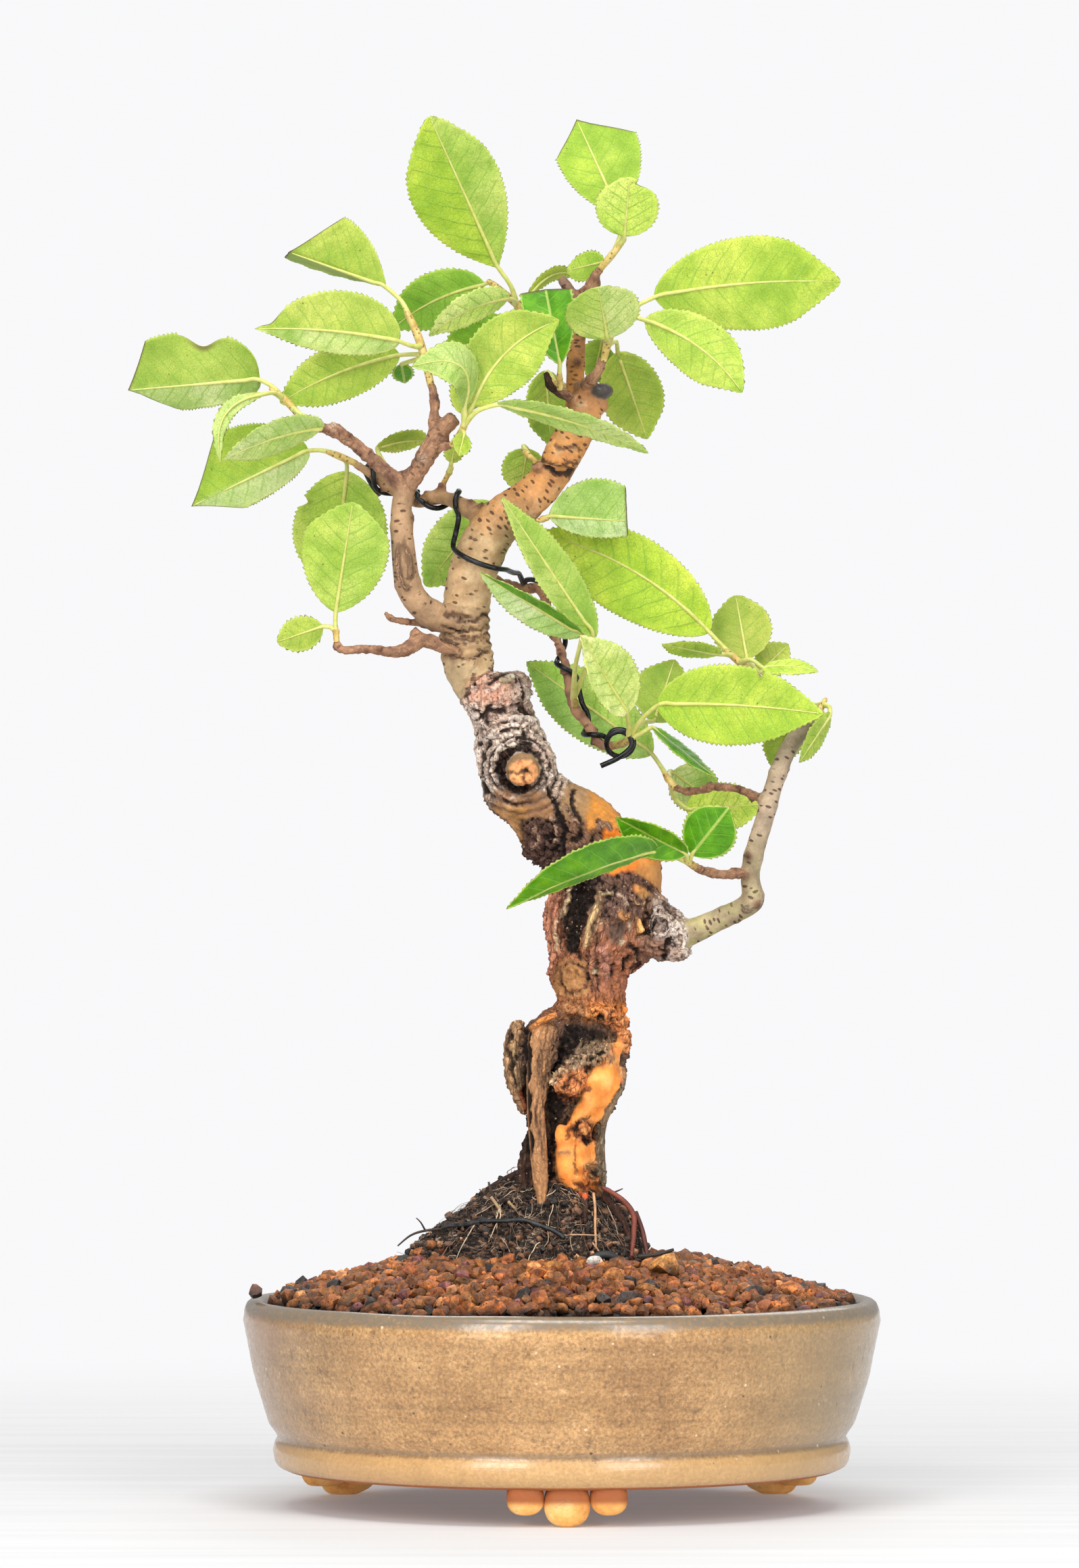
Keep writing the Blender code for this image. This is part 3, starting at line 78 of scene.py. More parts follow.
# Sizes shared with the part's source
# Pot, a turned wall with a rounded rim, a foot ring and three clay feet
RIM_RADIUS = 85.1
RIM_HEIGHT = 55.3
WALL = 6.6
BASE_UNDERSIDE = 9.5
BASE_TOP = 16.0
BASE_RADIUS = 73.8
FOOT_RING_RADIUS = 77.0
DRAIN_RADIUS = 9.0
FOOT_TURNS = (271, 31, 151)
FOOT_OUTER = 72.6
FOOT_INNER = 57.0
MIDDLE_LOBE = 5.95
SIDE_LOBE = 4.85
SIDE_LOBE_OFFSET = 10.8
SIDE_LOBE_BOTTOM = 3.0

# Soil and root mound
SOIL_EDGE = 54.6
SOIL_RISE = 10.0
SOIL_LEFT_RISE = 1.2
MOUND_BASE = 65.0
MOUND_RISE = 22.0
MOUND_RIGHT = 23.5
MOUND_LEFT = 42.0
MOUND_FRONT = 25.0
MOUND_BACK = 28.0
MOUND_BOTTOM = 34.0

# Wires
WIRE_RADIUS = 0.72
TIE_RADIUS = 0.65

# Trunk from the root base to the sealed cut: x, y, z and radius
STEM = (
    (0.9, 0, 66, 9.0),
    (0.9, 0, 76, 10.4),
    (0.9, 0, 87.5, 10.3),
    (1.5, 0, 97, 9.3),
    (1.2, 0, 103.5, 10.0),
    (2.4, 0, 110.5, 13.4),
    (1.8, 0, 117.5, 15.8),
    (5.0, 0, 124.0, 13.2),
    (6.8, 0, 128.6, 10.6),
    (7.6, 0, 132.0, 9.1),
    (8.0, 0, 137, 9.0),
    (8.0, 0, 143.5, 11.5),
    (11.0, 0, 152, 13.8),
    (12.2, 0, 160, 14.6),
    (12.0, 0, 167, 14.6),
    (8.6, 0, 172.5, 12.8),
    (5.0, 0, 177, 12.6),
    (-1.2, 0, 181.6, 11.2),
    (-6.4, 0, 186.8, 9.8),
    (-11.0, 0, 192.5, 10.0),
    (-12.8, 0, 199, 10.0),
    (-14.2, 0, 205.5, 9.4),
    (-15.8, -0.5, 211.5, 8.4),
    (-17.4, -1, 217, 9.0),
    (-20.4, -1, 221.8, 8.4),
    (-23.8, -1, 226, 6.5),
    (-25.7, -1, 234.5, 6.6),
    (-24.9, -1, 242.5, 6.3),
    (-22.2, -1, 250.5, 6.4),
    (-19.0, -1, 258.5, 6.3),
    (-12.0, -1, 265.4, 5.6),
    (-4.2, 0, 272.6, 5.3),
    (0.5, 1, 280, 5.1),
    (3.9, 1, 286.7, 4.8),
    (6.6, 1, 292.5, 5.0),
    (10.1, 1, 295.8, 4.5),
)
STEM_DEPTH = 0.9
PLAIN_BASE = 88.0

# Branches and twigs: x, y, z and radius, each starting inside the wood that carries it
BRANCHES = {
    "leader": (
        (4.2, 4, 291.1, 3.2), (3.7, 5, 300.1, 2.5), (3.9, 6, 309.7, 2.5), (4.2, 6, 316.7, 2.0),
        (2.2, 6, 323.2, 1.7), (-0.4, 6, 327.2, 1.2),
    ),
    "right_limb": (
        (24, -3.2, 151, 4.4), (32, -4.8, 151.8, 3.7), (43.4, -8, 156.8, 2.9), (50.3, -9.6, 160.8, 3.0),
        (49.9, -11.2, 166.8, 2.6), (50.8, -12.8, 173, 2.6), (53.9, -12.8, 183.5, 2.5), (57, -11.2, 194, 2.4),
        (60.3, -9.6, 201.5, 2.4), (65.3, -8, 207.6, 2.4), (68.3, -6.4, 211.6, 2.5),
    ),
    "right_limb_spur": (
        (49.7, -12, 168.4, 1.4), (42.3, -19.2, 168, 1.3), (37.4, -24, 169, 1.3),
        (34.8, -27.2, 170.3, 1.2),
    ),
    "right_limb_twig": (
        (53.9, -12.8, 187.6, 1.2), (47.6, -8, 190.2, 1.1), (41.5, -3.2, 191.2, 1.2),
        (34.5, 2, 189.9, 1.1), (30.5, 6, 190.9, 1.0),
    ),
    "right_limb_top": (
        (63.7, -7.2, 205, 1.5), (56.2, 4, 216, 1.3), (49.5, 10, 222.7, 1.2),
    ),
    "middle_twig": (
        (-22, 2, 248, 1.6), (-16, 13, 245.6, 1.5), (-10.7, 17, 244.4, 1.4),
        (-5.6, 18, 244, 1.4), (-3.4, 17, 238, 1.3), (-0.9, 16, 229.6, 1.2),
        (1.2, 14, 223.3, 1.2), (3.2, 12, 212.9, 1.5), (6.2, 10, 208.8, 1.3),
        (10.6, 6, 202.4, 1.3), (14, 4, 202.2, 1.4),
    ),
    "low_left_twig": (
        (-25, -4.8, 225.5, 2.0), (-31.6, -8, 228.4, 1.9), (-36.8, -9.6, 230.1, 1.9),
        (-40.9, -11.2, 227.7, 1.9), (-45.1, -11.2, 226.9, 1.5), (-51.4, -11.2, 227.7, 1.2),
        (-58.3, -11.2, 227.4, 1.2), (-59.5, -11.2, 229.9, 0.9),
    ),
    "low_left_stub": ((-37, -9.6, 229.5, 1.6), (-39.7, -9.6, 232.9, 1.4)),
    "small_left_spur": (
        (-30.5, -4.8, 232.5, 1.0), (-38.9, -6.4, 234.6, 0.9), (-44.6, -6.4, 235.6, 1.0),
        (-47, -6.4, 237.4, 0.8),
    ),
    "left_limb": (
        (-25.5, -3.2, 235.2, 4.2), (-31.6, -6.4, 235.9, 3.9), (-37, -9.6, 238.9, 3.6),
        (-40.6, -11.2, 244.4, 3.5), (-42, -12.8, 254.4, 3.2), (-42.5, -12.8, 264.3, 2.8),
        (-41.3, -12.8, 270.8, 2.8),
    ),
    "left_limb_outer": (
        (-41.5, -12.8, 270.3, 2.3), (-47.2, -14.4, 275.2, 1.9), (-54.5, -16, 281.5, 1.7),
        (-60.2, -17.6, 285, 1.5), (-65.9, -19.2, 286.6, 1.2), (-69.2, -19.2, 288.9, 1.1),
    ),
    "left_limb_cut": ((-56.4, -16.8, 282.3, 1.5), (-60, -17.6, 286.6, 1.4)),
    "left_limb_inner": (
        (-41.1, -12.8, 270.3, 2.5), (-37.8, -14.4, 275.4, 2.5), (-34.6, -16, 280.8, 2.7),
        (-31.5, -16.8, 285.6, 2.4), (-28.2, -17.6, 288.9, 2.1),
    ),
    "left_limb_shoot": (
        (-33.5, -16, 283.3, 1.7), (-33.8, -16, 288.2, 1.5), (-33.6, -15.2, 293.1, 1.3),
        (-34.5, -14.4, 297.8, 1.1),
    ),
    "left_limb_side": ((-32.9, -16.8, 280.3, 1.1), (-28.8, -20.8, 281.6, 1.0)),
    "wired_limb": (
        (-20, 0, 262.5, 3.0), (-25.4, 3, 265.6, 2.3), (-29.5, 6, 267.8, 1.9),
        (-33.8, 9, 268.5, 1.9), (-39, 12, 267.6, 1.7), (-45.3, 13, 270.8, 1.5),
        (-50.5, 13, 274.6, 1.3), (-55.5, 13, 277.8, 1.1),
    ),
    "back_twig": ((3.4, 7, 309.7, 1.3), (-3, 14, 313.2, 1.2), (-8.2, 18, 317.1, 1.1)),
    "crown_twig": (
        (3.6, 6, 321.2, 1.6), (7.4, 5, 323.9, 1.7), (8.6, 4, 326.9, 1.4), (10.6, 2, 329.5, 1.1),
    ),
    "crown_bud": ((7.6, 4.8, 324.3, 1.3), (10.4, 5.2, 326, 1.0)),
    "crown_spur": (
        (5, 2, 297.5, 1.5), (8.3, -5.4, 299.7, 1.4), (10, -7, 302.3, 1.3),
        (11.1, -8, 304.7, 1.0),
    ),
    "dark_stub": ((1.5, 0, 295, 1.3), (-3, -4.2, 297.5, 1.1), (-4.2, -4.8, 301.5, 0.9)),
    "petiole_stub": ((3.2, 0, 294, 1.2), (-0.2, -5.4, 296.9, 0.9)),
    "left_knob": ((-4.4, -1.6, 273.5, 2.4), (-6.9, -3.2, 277.2, 1.6)),
    "right_knob": ((-10, -1.6, 265, 2.0), (-6.6, -2.4, 262.5, 1.3)),
    "spur_bud": ((-33.5, 8.6, 268.5, 1.2), (-31.4, 8, 272.5, 0.9)),
}

# Deadwood, rolled bark and roots that are one with the stem
RIDGES = {
    "horn": ((-10.6, -3, 129.0, 0.9), (-12.2, -3.4, 125.5, 2.6), (-12.2, -4, 119.5, 3.2),
             (-11.6, -4, 113, 3.0), (-8.6, -4, 105, 2.4)),
    "spike": ((-3.8, -7, 128.6, 2.4), (-5.4, -9.6, 125, 3.7), (-6.3, -11.4, 119, 3.0),
              (-7.0, -12.6, 108, 2.5),
              (-6.4, -13, 97, 2.3), (-5.6, -13.6, 87, 1.9), (-5.3, -14.6, 79, 0.8)),
    "bark_roll": ((0.5, -6, 166, 1.8), (-1.4, -6, 156, 2.6), (-0.6, -5.6, 147, 2.3),
                  (3, -5, 139, 1.8)),
    "strip": ((13.5, -11.5, 122, 2.6), (10.5, -12.5, 112, 3.0), (5.6, -10.8, 103, 3.4),
              (4.4, -10.2, 93, 3.4), (7.2, -8.8, 85.5, 2.6)),
}
# Each lump: centre, half sizes
LUMPS = {
    "burl": ((27.4, -3.4, 152.4), (6.4, 7.4, 7.8)),
    "upper_bump": ((8.2, 0, 179.8), (8.0, 9.5, 7.8)),
    "lower_bump": ((16.6, -1, 166.8), (10.2, 11.5, 8.4)),
    "knot": ((3.2, -12.0, 113.6), (5.4, 4.2, 4.6)),
}
CUT_COLLAR = (-11.2, -8.0, 196.4)
CUT_COLLAR_RING = 6.9
CUT_COLLAR_BEAD = 2.3
CUT_STUB = 4.8
# Surface roots over the mound, part of the same wood: x, y, height above the mound, radius
ROOTS = {
    "root_right": ((7.5, -4.5, 1.4, 1.8), (12.5, -8.5, 1.4, 1.4), (16.4, -10.5, 1.5, 1.2),
                   (18.2, -13.0, 1.7, 1.0)),
    "root_front": ((5.2, -7.0, 0.9, 1.4), (6.0, -13.5, 0.9, 1.0), (6.2, -18.5, 0.9, 0.8)),
    "root_back": ((2.0, 5.5, 1.2, 2.2), (1.0, 13, 1.4, 1.7), (-2, 19.5, 1.4, 1.2)),
    "root_left": ((-5.5, 2.5, 0.7, 2.2), (-14, 5, 0.6, 1.7), (-22, 7.5, 0.7, 1.2)),
}

# Training wire: its loose ends, the stretch between its two windings, and the windings as pairs
# of share of the branch and turns. Turn 0 faces the viewer
WIRE_START = ((-48.6, 15.9, 269.6), (-50.6, 16.9, 271.8))
WIRED_LIMB_TURNS = (
    (0.075, -0.5), (0.085, -0.25), (0.141, 0.0), (0.207, 0.25), (0.320, 0.5), (0.434, 0.75),
    (0.525, 1.0), (0.598, 1.25), (0.675, 1.5), (0.741, 1.75), (0.795, 2.0), (0.827, 2.12),
)
WIRE_BRIDGE = (
    (-27.4, -2.8, 262.8), (-28.2, -1.6, 258.6), (-28.8, -3.6, 255.0), (-26.8, -7.2, 252.8),
    (-22.4, -9.2, 250.6), (-17.8, -8.4, 249.2), (-14.9, -4.6, 248.9), (-13.9, 0.4, 248.6),
    (-12.8, 5.4, 248.3), (-11.4, 10.2, 248.1),
)
MIDDLE_TWIG_TURNS = (
    (0.248, -0.1), (0.340, -0.45), (0.524, -1.3), (0.635, -2.0), (0.663, -2.22), (0.802, -2.32),
    (0.841, -2.5), (0.881, -2.8), (0.920, -3.05), (0.960, -3.35),
)
# Tie wire over the mound: x and y, the height follows the mound
TIE_ROUTE = (
    (-31.5, -9), (-26, -12.5), (-20.5, -15), (-14, -17), (-8.5, -18.6), (-3.4, -20.4), (0.6, -22),
)

def both_sides(value):
    """A measure for the two halves of a blade, from one number or from a pair of them."""
    return value if isinstance(value, tuple) else (value, value)


def leaf(base, tip, wide, stalk, roll=0, arch=0.0, sweep=0.0, fold=0.0, curl=0.0, wave=0.0,
         uneven=0.0, widest=0.47, full_base=0.62, full_tip=0.85, cut_at=1.0, skew=0.0, rows=5):
    """What one leaf measures. Its blade runs from base to tip, wide across at its widest place.

    roll turns it about its length away from facing the viewer, in degrees; arch and sweep bow
    its midrib out of its plane and in it; fold raises its halves, in degrees; curl and wave
    bend the halves and ripple the margin; uneven widens one half and narrows the other. A
    trimmed leaf ends at cut_at, less or more by skew at its margins.
    """
    fold = both_sides(fold)
    skew = (-skew, skew) if not isinstance(skew, tuple) else skew
    return dict(locals())


def leaf_frame(one):
    """Length way, width way and face way of a blade."""
    base, tip = Vector(one["base"]), Vector(one["tip"])
    way = (tip - base).normalized()
    face = Vector((0, -1, 0))
    face = (face - way * face.dot(way)).normalized()
    width = way.cross(face)
    turn = math.radians(one["roll"])
    return (way, width * math.cos(turn) + face * math.sin(turn),
            face * math.cos(turn) - width * math.sin(turn))


def half_width(one, u):
    """Half the blade's width at a share of its length."""
    p = one["widest"]
    if u < p:
        share = 1 - ((p - u) / p) ** 2
        power = one["full_base"]
    else:
        share = 1 - ((u - p) / (1 - p)) ** 2
        power = one["full_tip"]
    return one["wide"] / 2 * max(share, 0.0) ** power


def blade_point(one, u, s, outset=1.0):
    """Point and thickness way of the blade at u along its length and s across, -1 to 1."""
    way, width, face = leaf_frame(one)
    base, tip = Vector(one["base"]), Vector(one["tip"])
    bow = 4 * u * (1 - u)
    middle = base.lerp(tip, u) + face * (one["arch"] * bow) + width * (one["sweep"] * bow)
    slope = 4 * (1 - 2 * u)
    ahead = ((tip - base) + face * (one["arch"] * slope) + width * (one["sweep"] * slope)).normalized()
    up = (face - ahead * face.dot(ahead)).normalized()
    over = ahead.cross(up)
    side = 1 if s > 0 else -1
    reach = half_width(one, u) * abs(s) * outset * (1 + side * one["uneven"])
    lifts = [math.radians(degrees) for degrees in one["fold"]]
    lift = lifts[s > 0]
    bent = one["curl"] * s * s * half_width(one, u) / max(one["wide"], 1e-6) * 2
    ripple = one["wave"] * s * s * math.sin(u * 11 + side * 1.3)
    point = middle + over * (side * reach * math.cos(lift)) + up * (
        reach * math.sin(lift) + bent + ripple)
    left, right = [up * math.cos(tilt) - over * (half * math.sin(tilt))
                   for half, tilt in zip((-1, 1), lifts)]
    return point, (left + right).normalized() if s == 0 else (left, right)[s > 0]


def blade_end(one, s):
    """Share of the length at which the blade ends, s across it: 1 unless it was trimmed."""
    return min(1.0, one["cut_at"] + one["skew"][s > 0] * abs(s))


def along(points, share):
    """Place, direction and radius at a share of a path's length."""
    centres = [Vector(p[:3]) for p in points]
    runs = [(b - a).length for a, b in zip(centres, centres[1:])]
    left = share * sum(runs)
    for i, run in enumerate(runs):
        if left <= run or i == len(runs) - 1:
            t = left / run
            way = (centres[i + 1] - centres[i]).normalized()
            size = points[i][3] * (1 - t) + points[i + 1][3] * t
            return centres[i].lerp(centres[i + 1], t), way, size
        left -= run


SPRAYS = {
    "spray_back_left": (
     ((-8.8, 18.5, 317.6, 0.9), (-12.5, 18, 321.1, 1.1), (-16.4, 16, 324.3, 1.0), (-18.6, 14.8, 326,
          0.9)),
    (
        leaf((-17, 13, 330), (-35.2, -3.2, 369.5), 24.6, ((-12.2, 18, 320.9), (-13.6, 14.8, 325.4)),
             widest=0.56, full_base=1.0, full_tip=0.7, fold=6, uneven=-0.12),
        leaf((-9.6, 25, 322.3), (4.7, 36, 328.7), 4, ((-11.4, 18.4, 320.1), (-10.6, 22, 321)),
             roll=-40, sweep=-4.4),
        leaf((-20.5, 16, 325.9), (-45.7, 24, 314.2), 15, ((-18, 15.2, 325.4), (-19.4, 15.6, 326.3)),
             roll=16, sweep=2.0),
        leaf((-14, 9, 321.7), (-35.4, 2, 311.3), 12, ((-12.4, 17.6, 320.9), (-12.8, 12, 321.3)),
             roll=52, sweep=3.0),
        leaf((-14.5, 24, 317), (-31.7, 36, 304.4), 14, ((-11.8, 18.4, 320.3), (-12.6, 21.2, 318.6)),
             roll=10),
    ),
    ),
    "spray_crown": (
     ((10.9, 1.5, 329.9, 0.9), (13.2, 0, 332.6, 1.0), (16, -1.3, 336, 0.8)),
    (
        leaf((15.6, 4, 343.7), (-1.2, 18, 381.7), 22, ((14.4, -0.3, 334.2), (15.8, 2, 339.1)),
             widest=0.45, full_base=0.85, cut_at=0.69, skew=(-0.19, -0.24), uneven=0.16, fold=5),
        leaf((16.7, -3.8, 337.5), (18, -11.2, 352.7), 16.2, ((15.4, -1.1, 335.4), (16.4, -2.6,
             336.5)), widest=0.5, full_tip=0.5, full_base=0.5),
        leaf((11.6, 8, 331.4), (1.4, 16, 329.5), 8, ((12.6, 0.8, 331.8), (12.4, 4.4, 331.7)),
             roll=-20, full_tip=0.6),
    ),
    ),
    "leaf_by_leader": (
     ((-0.5, -6.2, 297.6, 0.8), (-0.6, -7.5, 299.9, 0.8)),
    (
        leaf((-0.4, -8.6, 303.0), (-5.6, -5.8, 330.4), 14.2, ((-0.6, -7.2, 299.5), (-0.6, -8,
             301.3)), cut_at=0.74, skew=(0.0, -0.05), widest=0.62, roll=8, fold=14, full_base=0.8,
             full_tip=0.5),
    ),
    ),
    "spray_right": (
     ((11.3, -8.3, 305.1, 0.9), (11.9, -9.6, 307.8, 1.1), (13, -10.6, 311.3, 1.1), (14.6, -11.2,
          314.4, 0.8)),
    (
        leaf((12.1, -18.4, 309.4), (9.5, -30.4, 322.5), 19.5, ((12.3, -10.2, 309.2), (12.2, -14.4,
             309.1)), full_tip=0.5, full_base=0.45, fold=-8),
        leaf((14.9, 8.8, 307.4), (23, 18, 284.4), 16.4, ((12, -9.6, 308.2), (14.4, -2.6, 309.6)),
             widest=0.5),
        leaf((21.9, -11.2, 314.9), (47.8, -12.8, 295.5), 15.4, ((14.2, -11.2, 313.6), (17.4, -11.5,
             315.8)), sweep=-2.8, widest=0.55),
        leaf((24.5, -6.4, 321.3), (74.5, 4, 325.8), 24.6, ((14.3, -10.9, 313.8), (18, -9.6, 317.6)),
             widest=0.55, sweep=-1.6, full_tip=0.8),
        leaf((11.1, 19, 311.1), (8.3, 26, 299.6), 10, ((12.6, -9.9, 309.8), (13, 5, 312.5)),
             roll=-24),
    ),
    ),
    "spray_upper_left": (
     ((-34.8, -14.2, 298.2, 1.0), (-36.7, -13.8, 306.2, 1.1), (-38.8, -12.8, 312.3, 1.1), (-41.1,
          -12.2, 317, 0.9)),
    (
        leaf((-46.5, -11.2, 323.8), (-87.8, -16, 338.2), 27, ((-40.5, -12.5, 315.7), (-42.5, -11.8,
             319.8)), widest=0.42, cut_at=0.62, skew=(0.0, -0.24), fold=(-84, 4), full_base=0.9),
        leaf((-42.7, -19.2, 308.8), (-81, -25.6, 311.7), 16.4, ((-37.3, -14.1, 307.7), (-39.7, -17,
             307.7)), widest=0.4, sweep=1.2, uneven=0.3, full_base=0.5, full_tip=1.1),
        leaf((-42.9, -8.6, 305.8), (-74.9, -3.2, 293.2), 14.5, ((-36.5, -13.4, 305.4), (-38.7,
             -10.6, 305.8)), sweep=1.6, full_tip=0.7),
        leaf((-42.6, -5.8, 303.5), (-41.8, 2.8, 298.7), 5.4, ((-36.4, -13.1, 304.6), (-40, -8,
             304.1))),
    ),
    ),
    "spray_front_left": (
     ((-28.5, -21.6, 281.9, 0.9), (-26.7, -24, 284.2, 1.0), (-25.3, -25.9, 287.4, 0.9)),
    (
        leaf((-25.7, -28.8, 290.9), (-39.4, -40, 301.1), 12.5, ((-25.9, -25.3, 286), (-25.5, -27.2,
             288.6)), roll=-34, arch=6.5, sweep=5.0),
        leaf((-23.5, -25.6, 291.2), (-0.6, -27.2, 314.1), 18.6, ((-25.6, -25.6, 286.8), (-24.7,
             -26.2, 289)), widest=0.5, sweep=-3.8, fold=6),
        leaf((-17.1, -30.4, 291.8), (22.8, -25.6, 279), 15, ((-25.8, -25.3, 286.4), (-22.3, -28.5,
             289.9)), roll=-69, sweep=-4.4),
        leaf((-26.1, -20.2, 289.5), (-22.6, -14.4, 306.1), 10, ((-25.8, -25, 286), (-25.9, -22.4,
             287.6)), roll=20),
        leaf((-25.7, -27.5, 284.2), (-27.1, -32, 277.9), 5, ((-26.6, -24.3, 284.6), (-26.1, -26.2,
             284.8)), roll=20),
    ),
    ),
    "spray_outer_left": (
     ((-69.5, -19.4, 289.4, 0.9), (-72.8, -20.2, 293.1, 1.0), (-75.8, -20.8, 295.4, 0.8)),
    (
        leaf((-62.8, -25.2, 285.8), (-88.7, -38.4, 276.9), 14, ((-71, -19.7, 291.1), (-69.1, -24.6,
             289.6)), roll=56, sweep=2.2),
        leaf((-78.3, -26.9, 294.5), (-89.4, -32, 276), 4, ((-73.8, -20.5, 293.9), (-76.1, -24,
             295)), roll=20, sweep=6.2),
        leaf((-79.6, -19.2, 298.9), (-127.2, -17.6, 294.9), 21.5, ((-75, -20.5, 295.1), (-76.8,
             -20.2, 297.1)), widest=0.42, full_base=0.36, cut_at=0.735, skew=(-0.26, -0.12),
             uneven=0.28, wave=1.6, fold=(-38, 4)),
    ),
    ),
    "spray_wired": (
     ((-55.9, 13, 278.1, 0.9), (-59.3, 12.8, 279.6, 1.0), (-61.5, 12.4, 280.4, 0.8)),
    (
        leaf((-57.6, 20.8, 276), (-61.9, 40, 243.4), 25, ((-58.1, 13.2, 279), (-57.6, 17.2, 277.9)),
             widest=0.5),
        leaf((-67.6, 12, 281.4), (-109.4, 16, 261.4), 21, ((-60.7, 12.6, 280.2), (-64, 12.4,
             281.2)), widest=0.45, cut_at=0.757, skew=(-0.27, -0.3), uneven=0.38, full_base=0.5),
    ),
    ),
    "spray_low_left": (
     ((-59.7, -11.2, 230.5, 0.8), (-59.9, -11.2, 232.9, 0.8)),
    (
        leaf((-59.9, -12.2, 237.3), (-55.2, -19.2, 266.4), 22.6, ((-59.8, -11.2, 232.1), (-60,
             -11.5, 233.9)), widest=0.6, full_base=0.7, full_tip=0.7),
        leaf((-63.3, -11.2, 233.7), (-75.4, -12.8, 229.5), 8.8, ((-59.9, -11.2, 232.5), (-61.3,
             -11.2, 233.5)), full_tip=0.6),
    ),
    ),
    "leaf_small_spur": (
     ((-31.1, 7.7, 273.1, 0.7), (-29.8, 5.6, 275.5, 0.7)),
    (
        leaf((-29.4, 2.8, 277.5), (-28.2, -1.6, 282.6), 4.6, ((-30, 6, 275.1), (-29.6, 4, 276.5))),
    ),
    ),
    "leaf_behind_limb": (
     ((-44.6, -11.3, 273.7, 0.8), (-46.4, -5.8, 275.5, 0.8)),
    (
        leaf((-49.4, 3.2, 281.5), (-35.3, 10, 283.6), 9, ((-46.2, -6.4, 275.1), (-48.6, -1, 279.6)),
             roll=-58, sweep=-1.6),
    ),
    ),
    "leaf_behind_leader": (
     ((1.6, 7.6, 298.0, 0.8), (-2.2, 18.8, 300, 0.8)),
    (
        leaf((-4.4, 21.2, 303.1), (-3, 24, 282.9), 15, ((-1.9, 18.2, 299.4), (-3.1, 20.9, 302.2)),
             roll=40),
    ),
    ),
    "leaf_left_knob": (
     ((-7.4, -3.2, 278.0, 0.7), (-9.4, -1, 280, 0.7)),
    (
        leaf((-9.2, 12.8, 281.8), (-11, 18, 270.1), 11.5, ((-9.2, -1.3, 279.8), (-10.2, 6, 282.1)),
             full_tip=0.5, full_base=0.5),
    ),
    ),
    "leaf_behind_stem": (
     ((-16.2, 4.7, 262.1, 0.8), (-17.2, 18.8, 264.9, 0.8)),
    (
        leaf((-18.7, 21.2, 267.7), (-36.6, 24, 245.1), 16, ((-17, 18, 264.3), (-17.9, 20, 266.3)),
             widest=0.5, full_tip=0.7),
    ),
    ),
    "leaf_right_knob": (
     ((-5.9, -2.6, 262, 0.7), (-4.6, -1.9, 262.4, 0.7)),
    (
        leaf((-3.4, -2.2, 263.2), (25, 8, 261.6), 15.4, ((-5, -1.9, 262.4), (-4.2, -1.6, 262.9)),
             cut_at=0.735, skew=(-0.03, 0.02), uneven=-0.38),
    ),
    ),
    "spray_middle_node": (
     ((3.4, 9.7, 213.1, 0.8), (3.2, 4, 215.4, 0.8)),
    (
        leaf((8.8, -7.2, 230.6), (-16, -14.4, 267.8), 12.6, ((3.2, 4.4, 215), (6.4, -1, 222.6)),
             roll=-30, fold=16, widest=0.42),
        leaf((5.8, -15, 231.1), (-21.7, -24, 247.7), 12, ((3.2, 4, 215.2), (3.6, -7.4, 223)),
             roll=50, fold=20, widest=0.42),
    ),
    ),
    "spray_middle_end": (
     ((14.6, 3.6, 202.2, 1.0), (16.6, 1.2, 202.8, 1.1), (18, -2.6, 204, 0.9)),
    (
        leaf((17.4, -12.2, 210.6), (4.7, -25.6, 231), 17, ((17.6, -1.6, 203.7), (17.8, -7, 207)),
             fold=(58, 8), widest=0.5),
        leaf((25.1, -10.6, 213), (69.1, -24, 210.3), 21, ((17.8, -2.2, 203.9), (21, -6.7, 208.8)),
             fold=5, widest=0.42, sweep=-1.0),
        leaf((24.6, 7.2, 208.4), (30.4, 20, 225.4), 16, ((17.6, -1.8, 203.8), (21, -2.6, 208))),
        leaf((23.8, -4.8, 207.2), (40.8, -6.4, 193.6), 8, ((17.9, -2.4, 203.8), (21.4, -4.8,
             205.6)), roll=66),
    ),
    ),
    "spray_right_twig": (
     ((29.9, 6.4, 191.4, 0.9), (28.1, 8, 193.8, 0.9)),
    (
        leaf((24.4, 14, 200), (-9.5, 28, 224.9), 17, ((28.3, 8, 193.4), (26.7, 10.8, 196.4)),
             widest=0.5),
        leaf((29.8, 22, 195.2), (41.9, 30, 186.4), 12.8, ((28.5, 7.8, 193), (28.9, 15.2, 195.2)),
             full_tip=0.5),
        leaf((33.3, 14.8, 185.2), (53.5, 6.8, 186.4), 12.4, ((29.3, 7.6, 192), (30.1, 12.4, 188.4)),
             full_tip=0.6),
    ),
    ),
    "spray_front_spur": (
     ((34.4, -27.5, 170.5, 1.0), (32.8, -29.8, 171.7, 1.0)),
    (
        leaf((25, -34.6, 174.3), (-14.6, -48, 159.2), 14, ((33, -29.4, 171.5), (29.2, -32, 172.9)),
             roll=56, arch=2.0, sweep=5.4, fold=-8, uneven=0.42),
        leaf((32.8, -33, 173.5), (14, -43.2, 183.3), 12, ((33, -29.8, 171.7), (32.8, -31.4, 172.5)),
             roll=38, fold=20),
        leaf((34, -32, 173.3), (43.7, -40, 185.8), 14, ((33.1, -29.4, 171.7), (33.8, -30.7, 172.3)),
             fold=-6),
    ),
    ),
    "spray_right_top": (
     ((49.1, 10.3, 223.1, 1.0), (46.9, 11.2, 225.1, 1.0), (44.9, 12, 226.9, 0.9)),
    (
        leaf((39.7, 15.2, 232.5), (-6.2, 10, 259), 21.6, ((45.3, 11.8, 226.5), (43.1, 13.6, 228.9)),
